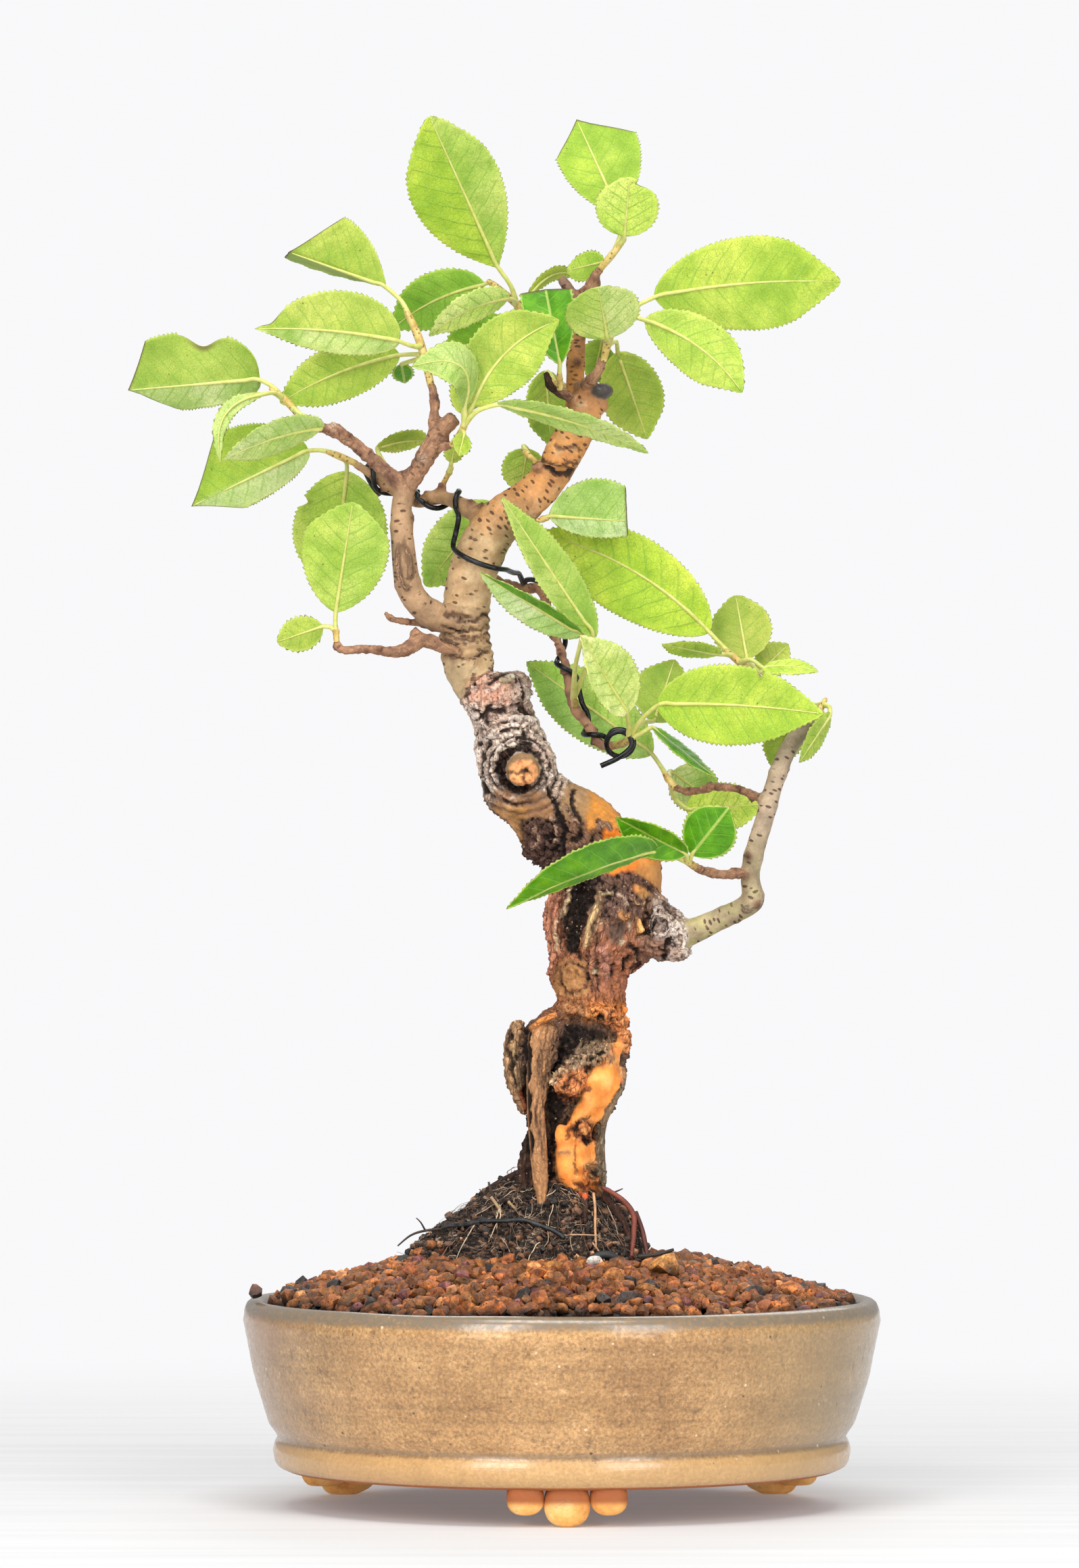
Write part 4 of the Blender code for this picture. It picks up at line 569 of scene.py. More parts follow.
             widest=0.5, fold=6, sweep=4.0, uneven=-0.14),
        leaf((49.8, 18, 225.3), (46.9, 26, 242.7), 15.7, ((47.5, 10.8, 224.5), (48.8, 14.8, 224.7)),
             full_tip=0.6),
        leaf((42.5, 7.2, 226.5), (26.6, -3.2, 229.1), 9, ((45.5, 11.6, 226.3), (44.1, 9.2, 226.5)),
             roll=62),
        leaf((53.5, 5.2, 222.8), (68.4, 2, 221.8), 9, ((47.7, 10.8, 224.5), (50.7, 5.2, 225)),
             roll=62, arch=1.0),
        leaf((52.9, 20, 221.7), (61.3, 30, 229.6), 9, ((47.7, 11.2, 224.5), (50.6, 18, 224.1))),
    ),
    ),
    "spray_right_tip": (
     ((68.7, -6.1, 212.0, 1.0), (69.5, -5.4, 213.4, 0.8)),
    (
        leaf((63.1, 4.8, 210.6), (56.2, 18, 196.6), 10.5, ((69.1, -5.4, 212.8), (66.4, -1, 212.6)),
             roll=14),
        leaf((71.3, -10.2, 210.6), (62.6, -18.6, 197.6), 8, ((69.3, -5.8, 213), (70.9, -8.3,
             212.4)), roll=52),
    ),
    ),
}


# Small tools

def placed(point):
    """A point of the pot's frame, in millimetres, as a place in the row frame."""
    return Vector((point[0] * MM + AXIS.x, point[1] * MM + AXIS.y, point[2] * MM))


def placed_all(points):
    """The same for an array of points."""
    return np.asarray(points, float) * MM + np.array(AXIS)


def smooth_path(points, step):
    """Points on a smooth curve through the given rows; extra columns, such as a radius, follow."""
    rows = np.array(points, float)
    found = []
    for i in range(len(rows) - 1):
        before, start = rows[max(i - 1, 0)], rows[i]
        end, after = rows[i + 1], rows[min(i + 2, len(rows) - 1)]
        parts = max(1, round(float(np.linalg.norm((end - start)[:3])) / step))
        for k in range(parts):
            t = k / parts
            found.append(0.5 * (2 * start + (end - before) * t
                                + (2 * before - 5 * start + 4 * end - after) * t * t
                                + (3 * start - before - 3 * end + after) * t ** 3))
    found.append(rows[-1])
    return np.array(found)


def ease(low, high, value):
    """Rises smoothly from 0 at low to 1 at high."""
    share = np.clip((np.asarray(value, float) - low) / (high - low), 0, 1)
    return share * share * (3 - 2 * share)


def only(obj):
    """Makes obj the one selected and active object."""
    bpy.ops.object.select_all(action="DESELECT")
    obj.select_set(True)
    bpy.context.view_layer.objects.active = obj


def mesh_piece(name, verts, faces):
    """An object from millimetre points of the pot's frame."""
    mesh = bpy.data.meshes.new(name)
    mesh.from_pydata([tuple(v) for v in placed_all(verts)], [], faces)
    obj = bpy.data.objects.new(name, mesh)
    bpy.context.scene.collection.objects.link(obj)
    return obj


def millimetres(obj):
    """Vertex places of a piece, in the pot's frame."""
    flat = np.empty(len(obj.data.vertices) * 3)
    obj.data.vertices.foreach_get("co", flat)
    return (flat.reshape(-1, 3) - np.array(AXIS)) / MM


def set_millimetres(obj, points):
    obj.data.vertices.foreach_set("co", placed_all(points).ravel())
    obj.data.update()


def normals_of(obj):
    flat = np.empty(len(obj.data.vertices) * 3)
    obj.data.vertex_normals.foreach_get("vector", flat)
    return flat.reshape(-1, 3)


def field(points, scale, seed=0.0, octaves=1):
    """Smooth noise at each point, about -1 to 1; scale is per millimetre, one number or three."""
    scaled = np.asarray(points, float) * np.asarray(scale, float) + seed
    if octaves == 1:
        return np.array([noise.noise(Vector(p)) for p in scaled])
    return np.array([noise.fractal(Vector(p), 0.9, 2.1, octaves) for p in scaled])


def attribute(obj, name, values):
    made = obj.data.attributes.new(name, "FLOAT", "POINT")
    made.data.foreach_set("value", np.asarray(values, np.float32))


def colour_attribute(obj, name, colours):
    made = obj.data.color_attributes.new(name, "FLOAT_COLOR", "POINT")
    rgba = np.ones((len(colours), 4), np.float32)
    rgba[:, :3] = colours
    made.data.foreach_set("color", rgba.ravel())


def finish_piece(obj, slot, nodes=(), angle=None):
    """Smooths a finished piece, seats it on the body and hides the parts that it replaces."""
    only(obj)
    if angle is None:
        bpy.ops.object.shade_smooth()
    else:
        bpy.ops.object.shade_smooth_by_angle(angle=math.radians(angle))
    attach(obj, "root")
    if nodes:
        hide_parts(*nodes)
    return obj


class Paint:
    """A finish on the Principled shader, put together from textures."""

    def __init__(self, name, roughness=0.5, **sockets):
        self.material = bpy.data.materials.new(name)
        self.material.use_nodes = True
        self.tree = self.material.node_tree
        self.shader = self.tree.nodes["Principled BSDF"]
        self.set("Roughness", roughness)
        for socket, value in sockets.items():
            self.set(socket.replace("_", " "), value)

    def set(self, socket, value):
        """Puts a number, a colour or another node's output on a socket of the shader."""
        self.feed(self.shader.inputs[socket], value)

    def feed(self, socket, value):
        if isinstance(value, bpy.types.NodeSocket):
            self.tree.links.new(value, socket)
        elif isinstance(value, (tuple, list)) and len(value) == 3 and socket.type == "RGBA":
            socket.default_value = (*value, 1.0)
        else:
            socket.default_value = value

    def add(self, kind, output=0, **inputs):
        """A node; a key that is not one of its sockets is one of its settings."""
        node = self.tree.nodes.new(kind)
        places = {}
        for key, value in inputs.items():
            if key.startswith("in_"):
                places[int(key[3:])] = value
            elif key in node.bl_rna.properties:
                setattr(node, key, value)
            else:
                self.feed(node.inputs[key], value)
        for place, value in places.items():
            self.feed(node.inputs[place], value)
        return node.outputs[output]

    def where(self):
        """Place on the object, in the row frame."""
        return self.add("ShaderNodeTexCoord", "Object")

    def scaled(self, vector, scale, place=(0, 0, 0), turn=(0, 0, 0)):
        return self.add("ShaderNodeMapping", Vector=vector, Scale=scale, Location=place,
                        Rotation=turn)

    def clouds(self, vector, scale, detail=3.0, rough=0.5, distortion=0.0):
        return self.add("ShaderNodeTexNoise", "Fac", Vector=vector, Scale=scale, Detail=detail,
                        Roughness=rough, Distortion=distortion)

    def cells(self, vector, scale, feature="F1", output="Distance", randomness=1.0):
        return self.add("ShaderNodeTexVoronoi", output, feature=feature, Vector=vector,
                        Scale=scale, Randomness=randomness)

    def sum(self, operation, a, b=0.0, c=0.0):
        return self.add("ShaderNodeMath", operation=operation, in_0=a, in_1=b, in_2=c)

    def ramp(self, value, *stops):
        """Colours (or greys) at places along value."""
        node = self.tree.nodes.new("ShaderNodeValToRGB")
        line = node.color_ramp.elements
        while len(line) < len(stops):
            line.new(0.5)
        for element, (place, colour) in zip(line, stops):
            element.position = place
            element.color = (*colour, 1) if isinstance(colour, tuple) else (colour,) * 3 + (1,)
        self.feed(node.inputs[0], value)
        return node.outputs[0]

    def band(self, value, low, high, start=0.0, end=1.0):
        return self.add("ShaderNodeMapRange", interpolation_type="SMOOTHSTEP", Value=value,
                        in_1=low, in_2=high, in_3=start, in_4=end)

    def blend(self, share, a, b, mode="MIX"):
        node = self.tree.nodes.new("ShaderNodeMix")
        node.data_type = "RGBA"
        node.blend_type = mode
        self.feed(node.inputs[0], share)
        self.feed(node.inputs[6], a)
        self.feed(node.inputs[7], b)
        return node.outputs[2]

    def held(self, name, output="Fac"):
        """A value that the mesh carries."""
        return self.add("ShaderNodeAttribute", output, attribute_name=name)

    def part(self, vector, axis):
        return self.add("ShaderNodeSeparateXYZ", axis, Vector=vector)

    def relief(self, height, strength, distance_mm, under=None):
        """Bump from a height; it is put on the shader."""
        node = self.tree.nodes.new("ShaderNodeBump")
        self.feed(node.inputs["Height"], height)
        self.feed(node.inputs["Strength"], strength)
        self.feed(node.inputs["Distance"], distance_mm * MM)
        if under is not None:
            self.feed(node.inputs["Normal"], under)
        self.set("Normal", node.outputs[0])
        return node.outputs[0]


# Camera, light and floor

def make_view():
    """A camera at the photograph's height, far off with a long lens."""
    data = bpy.data.cameras.new("camera")
    data.sensor_width = 36
    data.lens = 198.3
    data.clip_start = 0.05
    data.clip_end = 50
    camera = bpy.data.objects.new("camera", data)
    camera.location = (AXIS.x - 5.9 * MM, -2.3, 191.9 * MM)
    camera.rotation_euler = (math.radians(90), 0, 0)
    bpy.context.scene.collection.objects.link(camera)
    bpy.context.scene.camera = camera


def soft_light(name, place, aim, width, height, power, tint=(1, 1, 1)):
    data = bpy.data.lights.new(name, "AREA")
    data.shape = "RECTANGLE"
    data.size, data.size_y = width, height
    data.energy = power
    data.color = tint
    lamp = bpy.data.objects.new(name, data)
    lamp.location = place
    way = Vector(aim) - Vector(place)
    lamp.rotation_euler = way.to_track_quat("-Z", "Y").to_euler()
    bpy.context.scene.collection.objects.link(lamp)


def make_light():
    world = bpy.data.worlds.new("studio")
    bpy.context.scene.world = world
    world.use_nodes = True
    world.node_tree.nodes["Background"].inputs["Color"].default_value = (0.97, 0.98, 1.0, 1)
    world.node_tree.nodes["Background"].inputs["Strength"].default_value = 0.42
    bpy.context.scene.view_settings.view_transform = "Standard"
    aim = (0.01, 0, 0.16)
    soft_light("light_left", (-0.75, -1.6, 0.9), aim, 0.7, 0.9, 16.5, (1, 0.985, 0.96))
    soft_light("light_right", (0.85, -1.55, 0.8), aim, 0.7, 0.9, 12.5, (1, 0.99, 0.97))
    soft_light("light_top", (-0.05, -0.7, 1.6), aim, 1.1, 0.6, 16.5)
    soft_light("light_back", (0.3, 1.3, 1.1), aim, 1.2, 0.8, 6)
    for side in (-1, 1):
        soft_light("light_low", (0.6 * side, -1.25, 0.10), (0, 0, 0.02), 0.4, 0.12, 1.1, (1, 0.93, 0.84))


def make_stage():
    """A pale floor that melts into an even, near white room; near the pot it takes in some emission, painted
    light that lifts the shadow under the pot.
    """
    bpy.ops.object.select_all(action="DESELECT")
    bpy.ops.mesh.primitive_circle_add(vertices=96, radius=3.9, fill_type="NGON",
                                      location=(0, 0, 0))
    floor = bpy.context.active_object
    floor.name = "floor"
    bpy.ops.object.mode_set(mode="EDIT")
    for width in (2.2, 1.1):
        bpy.ops.mesh.inset(thickness=width)
    bpy.ops.object.mode_set(mode="OBJECT")
    paint = Paint("floor_board", 0.75)
    place = paint.where()
    grain = paint.clouds(paint.scaled(place, (3, 60, 60)), 1.6, 5)
    paint.set("Base Color", paint.ramp(grain, (0.3, (0.70, 0.70, 0.71)), (0.7, (0.77, 0.77, 0.77))))
    paint.relief(grain, 0.15, 0.3)
    reach = paint.add("ShaderNodeVectorMath", "Value", operation="LENGTH", in_0=place)
    tree = paint.tree
    # Near the pot the floor takes in 15 percent emission, painted light that lifts the pot's shadow; further
    # out it fades into the even backdrop
    glow = tree.nodes.new("ShaderNodeEmission")
    glow.inputs["Color"].default_value = (*BACKDROP, 1)
    mixed = tree.nodes.new("ShaderNodeMixShader")
    tree.links.new(paint.band(reach, 0.16, 0.62, 0.15, 1.0), mixed.inputs[0])
    tree.links.new(paint.shader.outputs[0], mixed.inputs[1])
    tree.links.new(glow.outputs[0], mixed.inputs[2])
    tree.links.new(mixed.outputs[0], tree.nodes["Material Output"].inputs[0])
    floor.data.materials.append(paint.material)

    bpy.ops.mesh.primitive_uv_sphere_add(segments=48, ring_count=24, radius=9.0)
    room = bpy.context.active_object
    room.name = "room"
    bpy.ops.object.mode_set(mode="EDIT")
    bpy.ops.mesh.select_all(action="SELECT")
    bpy.ops.mesh.flip_normals()
    bpy.ops.object.mode_set(mode="OBJECT")
    wall = bpy.data.materials.new("room_white")
    wall.use_nodes = True
    wall.node_tree.nodes.clear()
    light = wall.node_tree.nodes.new("ShaderNodeEmission")
    light.inputs["Color"].default_value = (*BACKDROP, 1)
    out = wall.node_tree.nodes.new("ShaderNodeOutputMaterial")
    wall.node_tree.links.new(light.outputs[0], out.inputs[0])
    room.data.materials.append(wall)
    room.visible_diffuse = room.visible_glossy = room.visible_transmission = False
    room.visible_shadow = False
    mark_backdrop(floor, room)


BACKDROP = (0.945, 0.945, 0.958)


# Pot

def pot_outline():
    """Closed outline of the turned pot, its wall as a smooth line."""
    inner = RIM_RADIUS - WALL
    wall = (
        (BASE_RADIUS - 0.6, BASE_UNDERSIDE + 0.2), (FOOT_RING_RADIUS - 1.2, 10.9),
        (FOOT_RING_RADIUS - 0.3, 13.0), (FOOT_RING_RADIUS, 15.0), (FOOT_RING_RADIUS - 0.5, 17.2),
        (FOOT_RING_RADIUS - 1.25, 18.5), (FOOT_RING_RADIUS - 0.55, 19.8), (78.0, 22.0),
        (79.4, 26.0), (82.0, 34.5), (83.5, 42.0), (84.5, 47.0), (RIM_RADIUS - 0.1, 49.4),
        (RIM_RADIUS - 0.3, 50.9), (RIM_RADIUS - 0.45, 52.2), (RIM_RADIUS - 1.2, 54.3),
        (RIM_RADIUS - 3.0, 55.2),
        (RIM_RADIUS - 5.0, 54.9), (inner + 0.2, 53.2), (inner - 0.4, 50.0), (inner - 2.8, 34.0),
        (inner - 8.0, 19.4), (inner - 14.0, BASE_TOP + 0.2),
    )
    line = smooth_path([(r, 0, z) for r, z in wall], 1.1)
    return ([(DRAIN_RADIUS, BASE_UNDERSIDE), (30, BASE_UNDERSIDE), (55, BASE_UNDERSIDE + 0.05)]
            + [(r, z) for r, _, z in line]
            + [(40, BASE_TOP), (DRAIN_RADIUS + 1.0, BASE_TOP)])


def turned(name, outline, steps):
    """A ring turned about the pot's axis from a closed outline of radius and height."""
    count = len(outline)
    mesh = bpy.data.meshes.new(name)
    mesh.from_pydata([placed((r, 0, z)) for r, z in outline],
                     [(i, (i + 1) % count) for i in range(count)], [])
    obj = bpy.data.objects.new(name, mesh)
    bpy.context.scene.collection.objects.link(obj)
    only(obj)
    bpy.ops.object.mode_set(mode="EDIT")
    bpy.ops.mesh.select_all(action="SELECT")
    bpy.ops.mesh.spin(steps=steps, angle=math.tau, center=AXIS, axis=(0, 0, 1))
    bpy.ops.mesh.select_all(action="SELECT")
    bpy.ops.mesh.remove_doubles(threshold=0.02 * MM)
    bpy.ops.mesh.normals_make_consistent(inside=False)
    bpy.ops.object.mode_set(mode="OBJECT")
    return obj


def foot_lobe(turn, offset, half_width, bottom):
    """Points and faces of one rounded clay lobe, run in under the base along a radius."""
    sides = 28
    outward = Vector((math.cos(turn), math.sin(turn), 0))
    sideways = Vector((-math.sin(turn), math.cos(turn), 0))
    top = BASE_UNDERSIDE + 2.4
    rings = []
    for share in (0.0, 0.12, 0.3, 0.5, 0.72, 0.9, 1.0):
        swell = math.sqrt(1 - (1 - share) ** 2)
        rings.append((FOOT_OUTER - 2.6 * share, 0.35 + 0.65 * swell,
                      bottom + 3.4 * (1 - swell)))
    rings += [(FOOT_OUTER - 6, 1.0, bottom), (FOOT_OUTER - 9.0, 0.98, bottom + 0.2),
              (FOOT_OUTER - 12, 0.93, bottom + 1.6), (FOOT_INNER, 0.8, bottom + 4.6)]
    verts, faces = [], []
    for reach, width, low in rings:
        half = (top - low) / 2
        for k in range(sides):
            angle = math.tau * k / sides - math.pi / 2
            across, up = math.cos(angle), math.sin(angle)
            across = math.copysign(abs(across) ** 0.86, across)
            up = math.copysign(abs(up) ** 0.8, up)
            ripple = 1 + 0.03 * noise.noise(Vector((reach * 0.3, across * 2, offset + turn * 3)))
            verts.append(outward * reach + sideways * (offset + half_width * width * across * ripple)
                         + Vector((0, 0, max(low + half + half * up, bottom))))
    for i in range(len(rings) - 1):
        for k in range(sides):
            a, b = i * sides + k, i * sides + (k + 1) % sides
            faces.append((a, b, b + sides, a + sides))
    faces.append(tuple(reversed(range(sides))))
    faces.append(tuple(range((len(rings) - 1) * sides, len(rings) * sides)))
    return verts, faces


def glaze():
    """Tan stoneware glaze: mottled, pinholed, greyer on the rim, with painted shade greying its sides, a groove
    darkened by pooled glaze and painted shade, and a foot ring lightened by painted light.
    """
    paint = Paint("tan_glaze", 0.3, Coat_Weight=0.38, Coat_Roughness=0.12, Specular_IOR_Level=0.55)
    place = paint.where()
    height = paint.sum("MULTIPLY", paint.part(place, "Z"), 1000)
    mottle = paint.clouds(place, 38, 5, 0.62)
    drift = paint.clouds(paint.scaled(place, (8, 8, 30)), 1.0, 3)
    fine = paint.clouds(place, 620, 3, 0.6)
    flecks = paint.clouds(place, 240, 4, 0.75)
    tan = paint.ramp(mottle, (0.3, (0.32, 0.165, 0.060)), (0.5, (0.46, 0.255, 0.100)),
                     (0.72, (0.60, 0.35, 0.150)))
    tan = paint.blend(paint.band(drift, 0.45, 0.7, 0, 0.55), tan, (0.34, 0.225, 0.115))
    across = paint.sum("ABSOLUTE", paint.sum("SUBTRACT", paint.part(place, "X"), AXIS.x))
    # The pot's left and right sides are greyed towards olive: painted shade
    grey = paint.sum("MULTIPLY", paint.band(across, 0.045, 0.08), paint.band(drift, 0.3, 0.6, 0.35, 0.8))
    tan = paint.blend(grey, tan, (0.265, 0.17, 0.075))
    tan = paint.blend(paint.band(flecks, 0.56, 0.70, 0, 0.4), tan, (0.72, 0.47, 0.24))
    tan = paint.blend(paint.band(flecks, 0.44, 0.30, 0, 0.7), tan, (0.18, 0.095, 0.04))
    dots = paint.clouds(place, 1150, 3, 0.7)
    tan = paint.blend(1.0, tan, paint.ramp(dots, (0.32, 0.62), (0.5, 0.98), (0.68, 1.42)), "MULTIPLY")
    thrown = paint.clouds(paint.scaled(place, (6, 6, 240)), 1.0, 4, 0.6)
    tan = paint.blend(1.0, tan, paint.ramp(thrown, (0.34, 0.80), (0.5, 0.99), (0.66, 1.12)), "MULTIPLY")
    side = paint.sum("SUBTRACT", paint.part(place, "X"), AXIS.x)
    tan = paint.blend(paint.sum("MULTIPLY", paint.band(side, -0.025, -0.06, 0, 0.5),
                                paint.band(drift, 0.4, 0.6)), tan, (0.42, 0.205, 0.095))
    tan = paint.blend(paint.band(side, 0.03, 0.07, 0, 0.4), tan, (0.36, 0.26, 0.12))
    rim = paint.sum("MULTIPLY", paint.band(height, 50.6, 52.6), paint.band(fine, 0.3, 0.6, 0.6, 1))
    tan = paint.blend(rim, tan, (0.20, 0.155, 0.105))
    # The narrow groove over the foot ring is darkened: pooled glaze and painted shade
    groove = paint.sum("MULTIPLY", paint.band(height, 17.6, 18.3), paint.band(height, 19.9, 18.9))
    tan = paint.blend(paint.sum("MULTIPLY", groove, 0.6), tan, (0.22, 0.15, 0.09))
    # Below the groove the foot ring is made lighter: painted light
    tan = paint.blend(paint.band(height, 17.8, 17.0, 0, 0.5), tan, (0.68, 0.41, 0.165))
    rust = paint.sum("MULTIPLY", paint.band(paint.cells(paint.scaled(place, (1, 1, 0.45)), 210), 0.2, 0.1),
                     paint.band(across, 0.072, 0.08, 0, 0.8))
    tan = paint.blend(rust, tan, (0.16, 0.06, 0.03))
    specks = paint.cells(place, 260)
    sizes = paint.clouds(place, 150, 2)
    dark = paint.sum("MULTIPLY", paint.band(specks, 0.13, 0.07), paint.band(sizes, 0.56, 0.62))
    tan = paint.blend(paint.sum("MULTIPLY", dark, 0.85), tan, (0.05, 0.032, 0.02))
    pale = paint.cells(paint.scaled(place, (1, 1, 1), (0.5, 0.2, 0.1)), 300)
    light = paint.sum("MULTIPLY", paint.band(pale, 0.15, 0.08), paint.band(sizes, 0.44, 0.38))
    tan = paint.blend(paint.sum("MULTIPLY", light, 0.8), tan, (0.86, 0.68, 0.48))
    paint.set("Base Color", tan)
    paint.set("Roughness", paint.band(fine, 0.3, 0.7, 0.2, 0.4))
    bands = paint.add("ShaderNodeTexWave", "Fac", bands_direction="Z", Vector=place, Scale=70.0,
                      Distortion=5.0, Detail=2.0)
    peel = paint.sum("MULTIPLY_ADD", paint.clouds(place, 300, 3), 0.5, paint.sum("MULTIPLY", bands, 0.14))
    holes = paint.sum("SUBTRACT", peel, paint.sum("MULTIPLY", dark, 0.6))
    paint.relief(holes, 0.5, 0.4)
    return paint.material


def bare_clay():
    """Unglazed orange clay, burnt darker in its hollows and towards the base."""
    paint = Paint("bare_clay", 0.72)
    place = paint.where()
    height = paint.sum("MULTIPLY", paint.part(place, "Z"), 1000)
    cloud = paint.clouds(place, 130, 5, 0.7)
    tone = paint.ramp(cloud, (0.3, (0.56, 0.22, 0.05)), (0.5, (0.90, 0.45, 0.12)),
                      (0.7, (0.96, 0.67, 0.28)))
    burnt = paint.sum("MULTIPLY", paint.band(height, 5.0, 7.2), paint.band(cloud, 0.25, 0.5, 0.6, 1))
    tone = paint.blend(paint.sum("MULTIPLY", burnt, 0.9), tone, (0.32, 0.07, 0.018))
    cracks = paint.cells(paint.scaled(place, (1, 1, 2.2)), 260, "DISTANCE_TO_EDGE")
    broken = paint.sum("MULTIPLY", paint.band(cracks, 0.04, 0.0), paint.band(cloud, 0.56, 0.66))
    tone = paint.blend(paint.sum("MULTIPLY", broken, 0.45), tone, (0.30, 0.09, 0.03))
    paint.set("Base Color", tone)
    paint.relief(paint.sum("SUBTRACT", paint.clouds(place, 420, 4), broken), 0.4, 0.3)
    return paint.material


def make_pot():
    steps = 192
    pot = turned("pot_body", pot_outline(), steps)
    points = millimetres(pot)
    reach = np.hypot(points[:, 0], points[:, 1])
    turn = np.arctan2(points[:, 1], points[:, 0])
    around = np.c_[np.cos(turn) * 1.3, np.sin(turn) * 1.3, points[:, 2] * 0.09]
    uneven = field(around, 1.0, 4.0)
    throwing = np.sin(points[:, 2] * 1.9 + 2.0 * uneven) * 0.07
    outside = ease(70, 74, reach)
    reach_new = reach - outside * (0.14 + 0.2 * np.abs(uneven) + throwing * 0.5)
    points[:, 0] *= reach_new / reach
    points[:, 1] *= reach_new / reach
    points[:, 2] -= ease(50, 54, points[:, 2]) * (0.25 + 0.25 * field(around, 2.2, 9.0))
    set_millimetres(pot, points)
    pot.data.materials.append(glaze())
    pot.data.materials.append(bare_clay())
    edge = 10.4 * MM
    for face in pot.data.polygons:
        low = face.center.z < edge + 0.25 * MM * noise.noise(face.center * 60)
        near_axis = (face.center - Vector((AXIS.x, AXIS.y, face.center.z))).length < 72 * MM
        inside = face.center.z > 12 * MM and near_axis and face.center.z < 30 * MM
        face.material_index = 1 if low or inside else 0
    finish_piece(pot, "pot", ["pot"], 60)
    verts, faces = [], []
    for degrees in FOOT_TURNS:
        turn = math.radians(degrees)
        for offset, width, bottom in ((0, MIDDLE_LOBE, 0.0),
                                      (-SIDE_LOBE_OFFSET, SIDE_LOBE, SIDE_LOBE_BOTTOM),
                                      (SIDE_LOBE_OFFSET, SIDE_LOBE, SIDE_LOBE_BOTTOM)):
            more, sides = foot_lobe(turn, offset, width, bottom)
            faces += [tuple(k + len(verts) for k in side) for side in sides]
            verts += more
    feet = mesh_piece("pot_feet", verts, faces)
    only(feet)
    bpy.ops.object.mode_set(mode="EDIT")
    bpy.ops.mesh.select_all(action="SELECT")
    bpy.ops.mesh.normals_make_consistent(inside=False)
    bpy.ops.object.mode_set(mode="OBJECT")
    feet.data.materials.append(pot.data.materials[1])
    finish_piece(feet, "pot", ["pot"], 50)


def dress_drain_mesh():
    """The drainage mesh keeps its solid and gets a moulded plastic finish."""
    paint = Paint("drain_plastic", 0.5)
    cloud = paint.clouds(paint.where(), 500, 3)
    paint.set("Base Color", paint.ramp(cloud, (0.3, (0.03, 0.11, 0.06)), (0.7, (0.06, 0.19, 0.10))))
    paint.relief(cloud, 0.2, 0.2)
    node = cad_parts["drain_mesh"]
    node.data.materials.clear()
    node.data.materials.append(paint.material)


# Soil and root mound

def soil_height(x, y):
    """Height of the soil's surface."""
    reach = np.hypot(x, y)
    rise = np.clip((78.0 - reach) / 48.0, 0, 1)
    rise = rise * rise * (3 - 2 * rise)
    left = np.clip(-x / 78.0, 0, None)
    return SOIL_EDGE + SOIL_RISE * rise ** 0.8 + SOIL_LEFT_RISE * left * (rise > 0.02)


def mound_edge(turn):
    """Reach of the root mound from the stem in a direction."""
    side = np.where(np.cos(turn) > 0, MOUND_RIGHT, MOUND_LEFT)
    depth = np.where(np.sin(turn) > 0, MOUND_BACK, MOUND_FRONT)
    return 1 / np.hypot(np.cos(turn) / side, np.sin(turn) / depth)


def mound_share(x, y):
    return np.hypot(x, y) / mound_edge(np.arctan2(y, x))


def mound_height(x, y):
    """Height of the root mound's surface, and below its edge the height there."""
    share = np.minimum(mound_share(x, y), 1.0)
    fall = np.clip(1 - share ** 1.8, 0, None) ** 0.85
    spots = np.c_[np.ravel(x) * 0.16 + 7, np.ravel(y) * 0.16 + 3, np.ones(np.size(x))]
    lumps = 1.1 * np.array([noise.noise(Vector(p)) for p in spots]).reshape(np.shape(x))
    return MOUND_BASE + MOUND_RISE * fall + lumps * (1 - share ** 2)


def granule_clay():
    """Baked clay granules: each grain carries its own colour with painted shade and light, with pores, pale
    painted highlights and uneven gloss.
    """
    paint = Paint("baked_clay_granules", 0.62, Specular_IOR_Level=0.5)
    place = paint.where()
    cloud = paint.clouds(place, 420, 5, 0.7)
    tone = paint.blend(1.0, paint.held("grain", "Color"),
                       paint.ramp(cloud, (0.28, 0.14), (0.47, 0.75), (0.58, 1.35), (0.72, 2.6)), "MULTIPLY")
    pores = paint.cells(place, 900)
    pits = paint.sum("MULTIPLY", paint.band(pores, 0.3, 0.1), paint.band(cloud, 0.45, 0.6))
    tone = paint.blend(paint.sum("MULTIPLY", pits, 0.8), tone, (0.025, 0.010, 0.006))
    # Pale specks on the grains are painted highlights
    glints = paint.sum("MULTIPLY", paint.band(paint.cells(place, 1150), 0.26, 0.12),
                       paint.band(cloud, 0.52, 0.60, 0.0, 0.75))
    tone = paint.blend(paint.sum("MULTIPLY", glints, paint.held("grain")), tone, (0.86, 0.55, 0.36))
    paint.set("Base Color", tone)
    paint.set("Roughness", paint.band(cloud, 0.3, 0.7, 0.34, 0.66))
    paint.relief(paint.sum("SUBTRACT", cloud, paint.sum("MULTIPLY", pits, 0.5)), 1.0, 0.8)
    return paint.material


def chunk_pattern():
    """Points and faces of one chunk, a cube with its faces divided and drawn in to a ball."""
    bpy.ops.mesh.primitive_cube_add(size=2)
    cube = bpy.context.active_object
    bpy.ops.object.mode_set(mode="EDIT")
    bpy.ops.mesh.select_all(action="SELECT")
    bpy.ops.mesh.subdivide(number_cuts=1, smoothness=0.6)
    bpy.ops.object.mode_set(mode="OBJECT")
    flat = np.empty(len(cube.data.vertices) * 3)
    cube.data.vertices.foreach_get("co", flat)
    points = flat.reshape(-1, 3)
    points /= np.linalg.norm(points, axis=1)[:, None] ** 0.55
    faces = np.array([list(f.vertices) for f in cube.data.polygons])
    bpy.data.objects.remove(cube, do_unlink=True)
    return points, faces


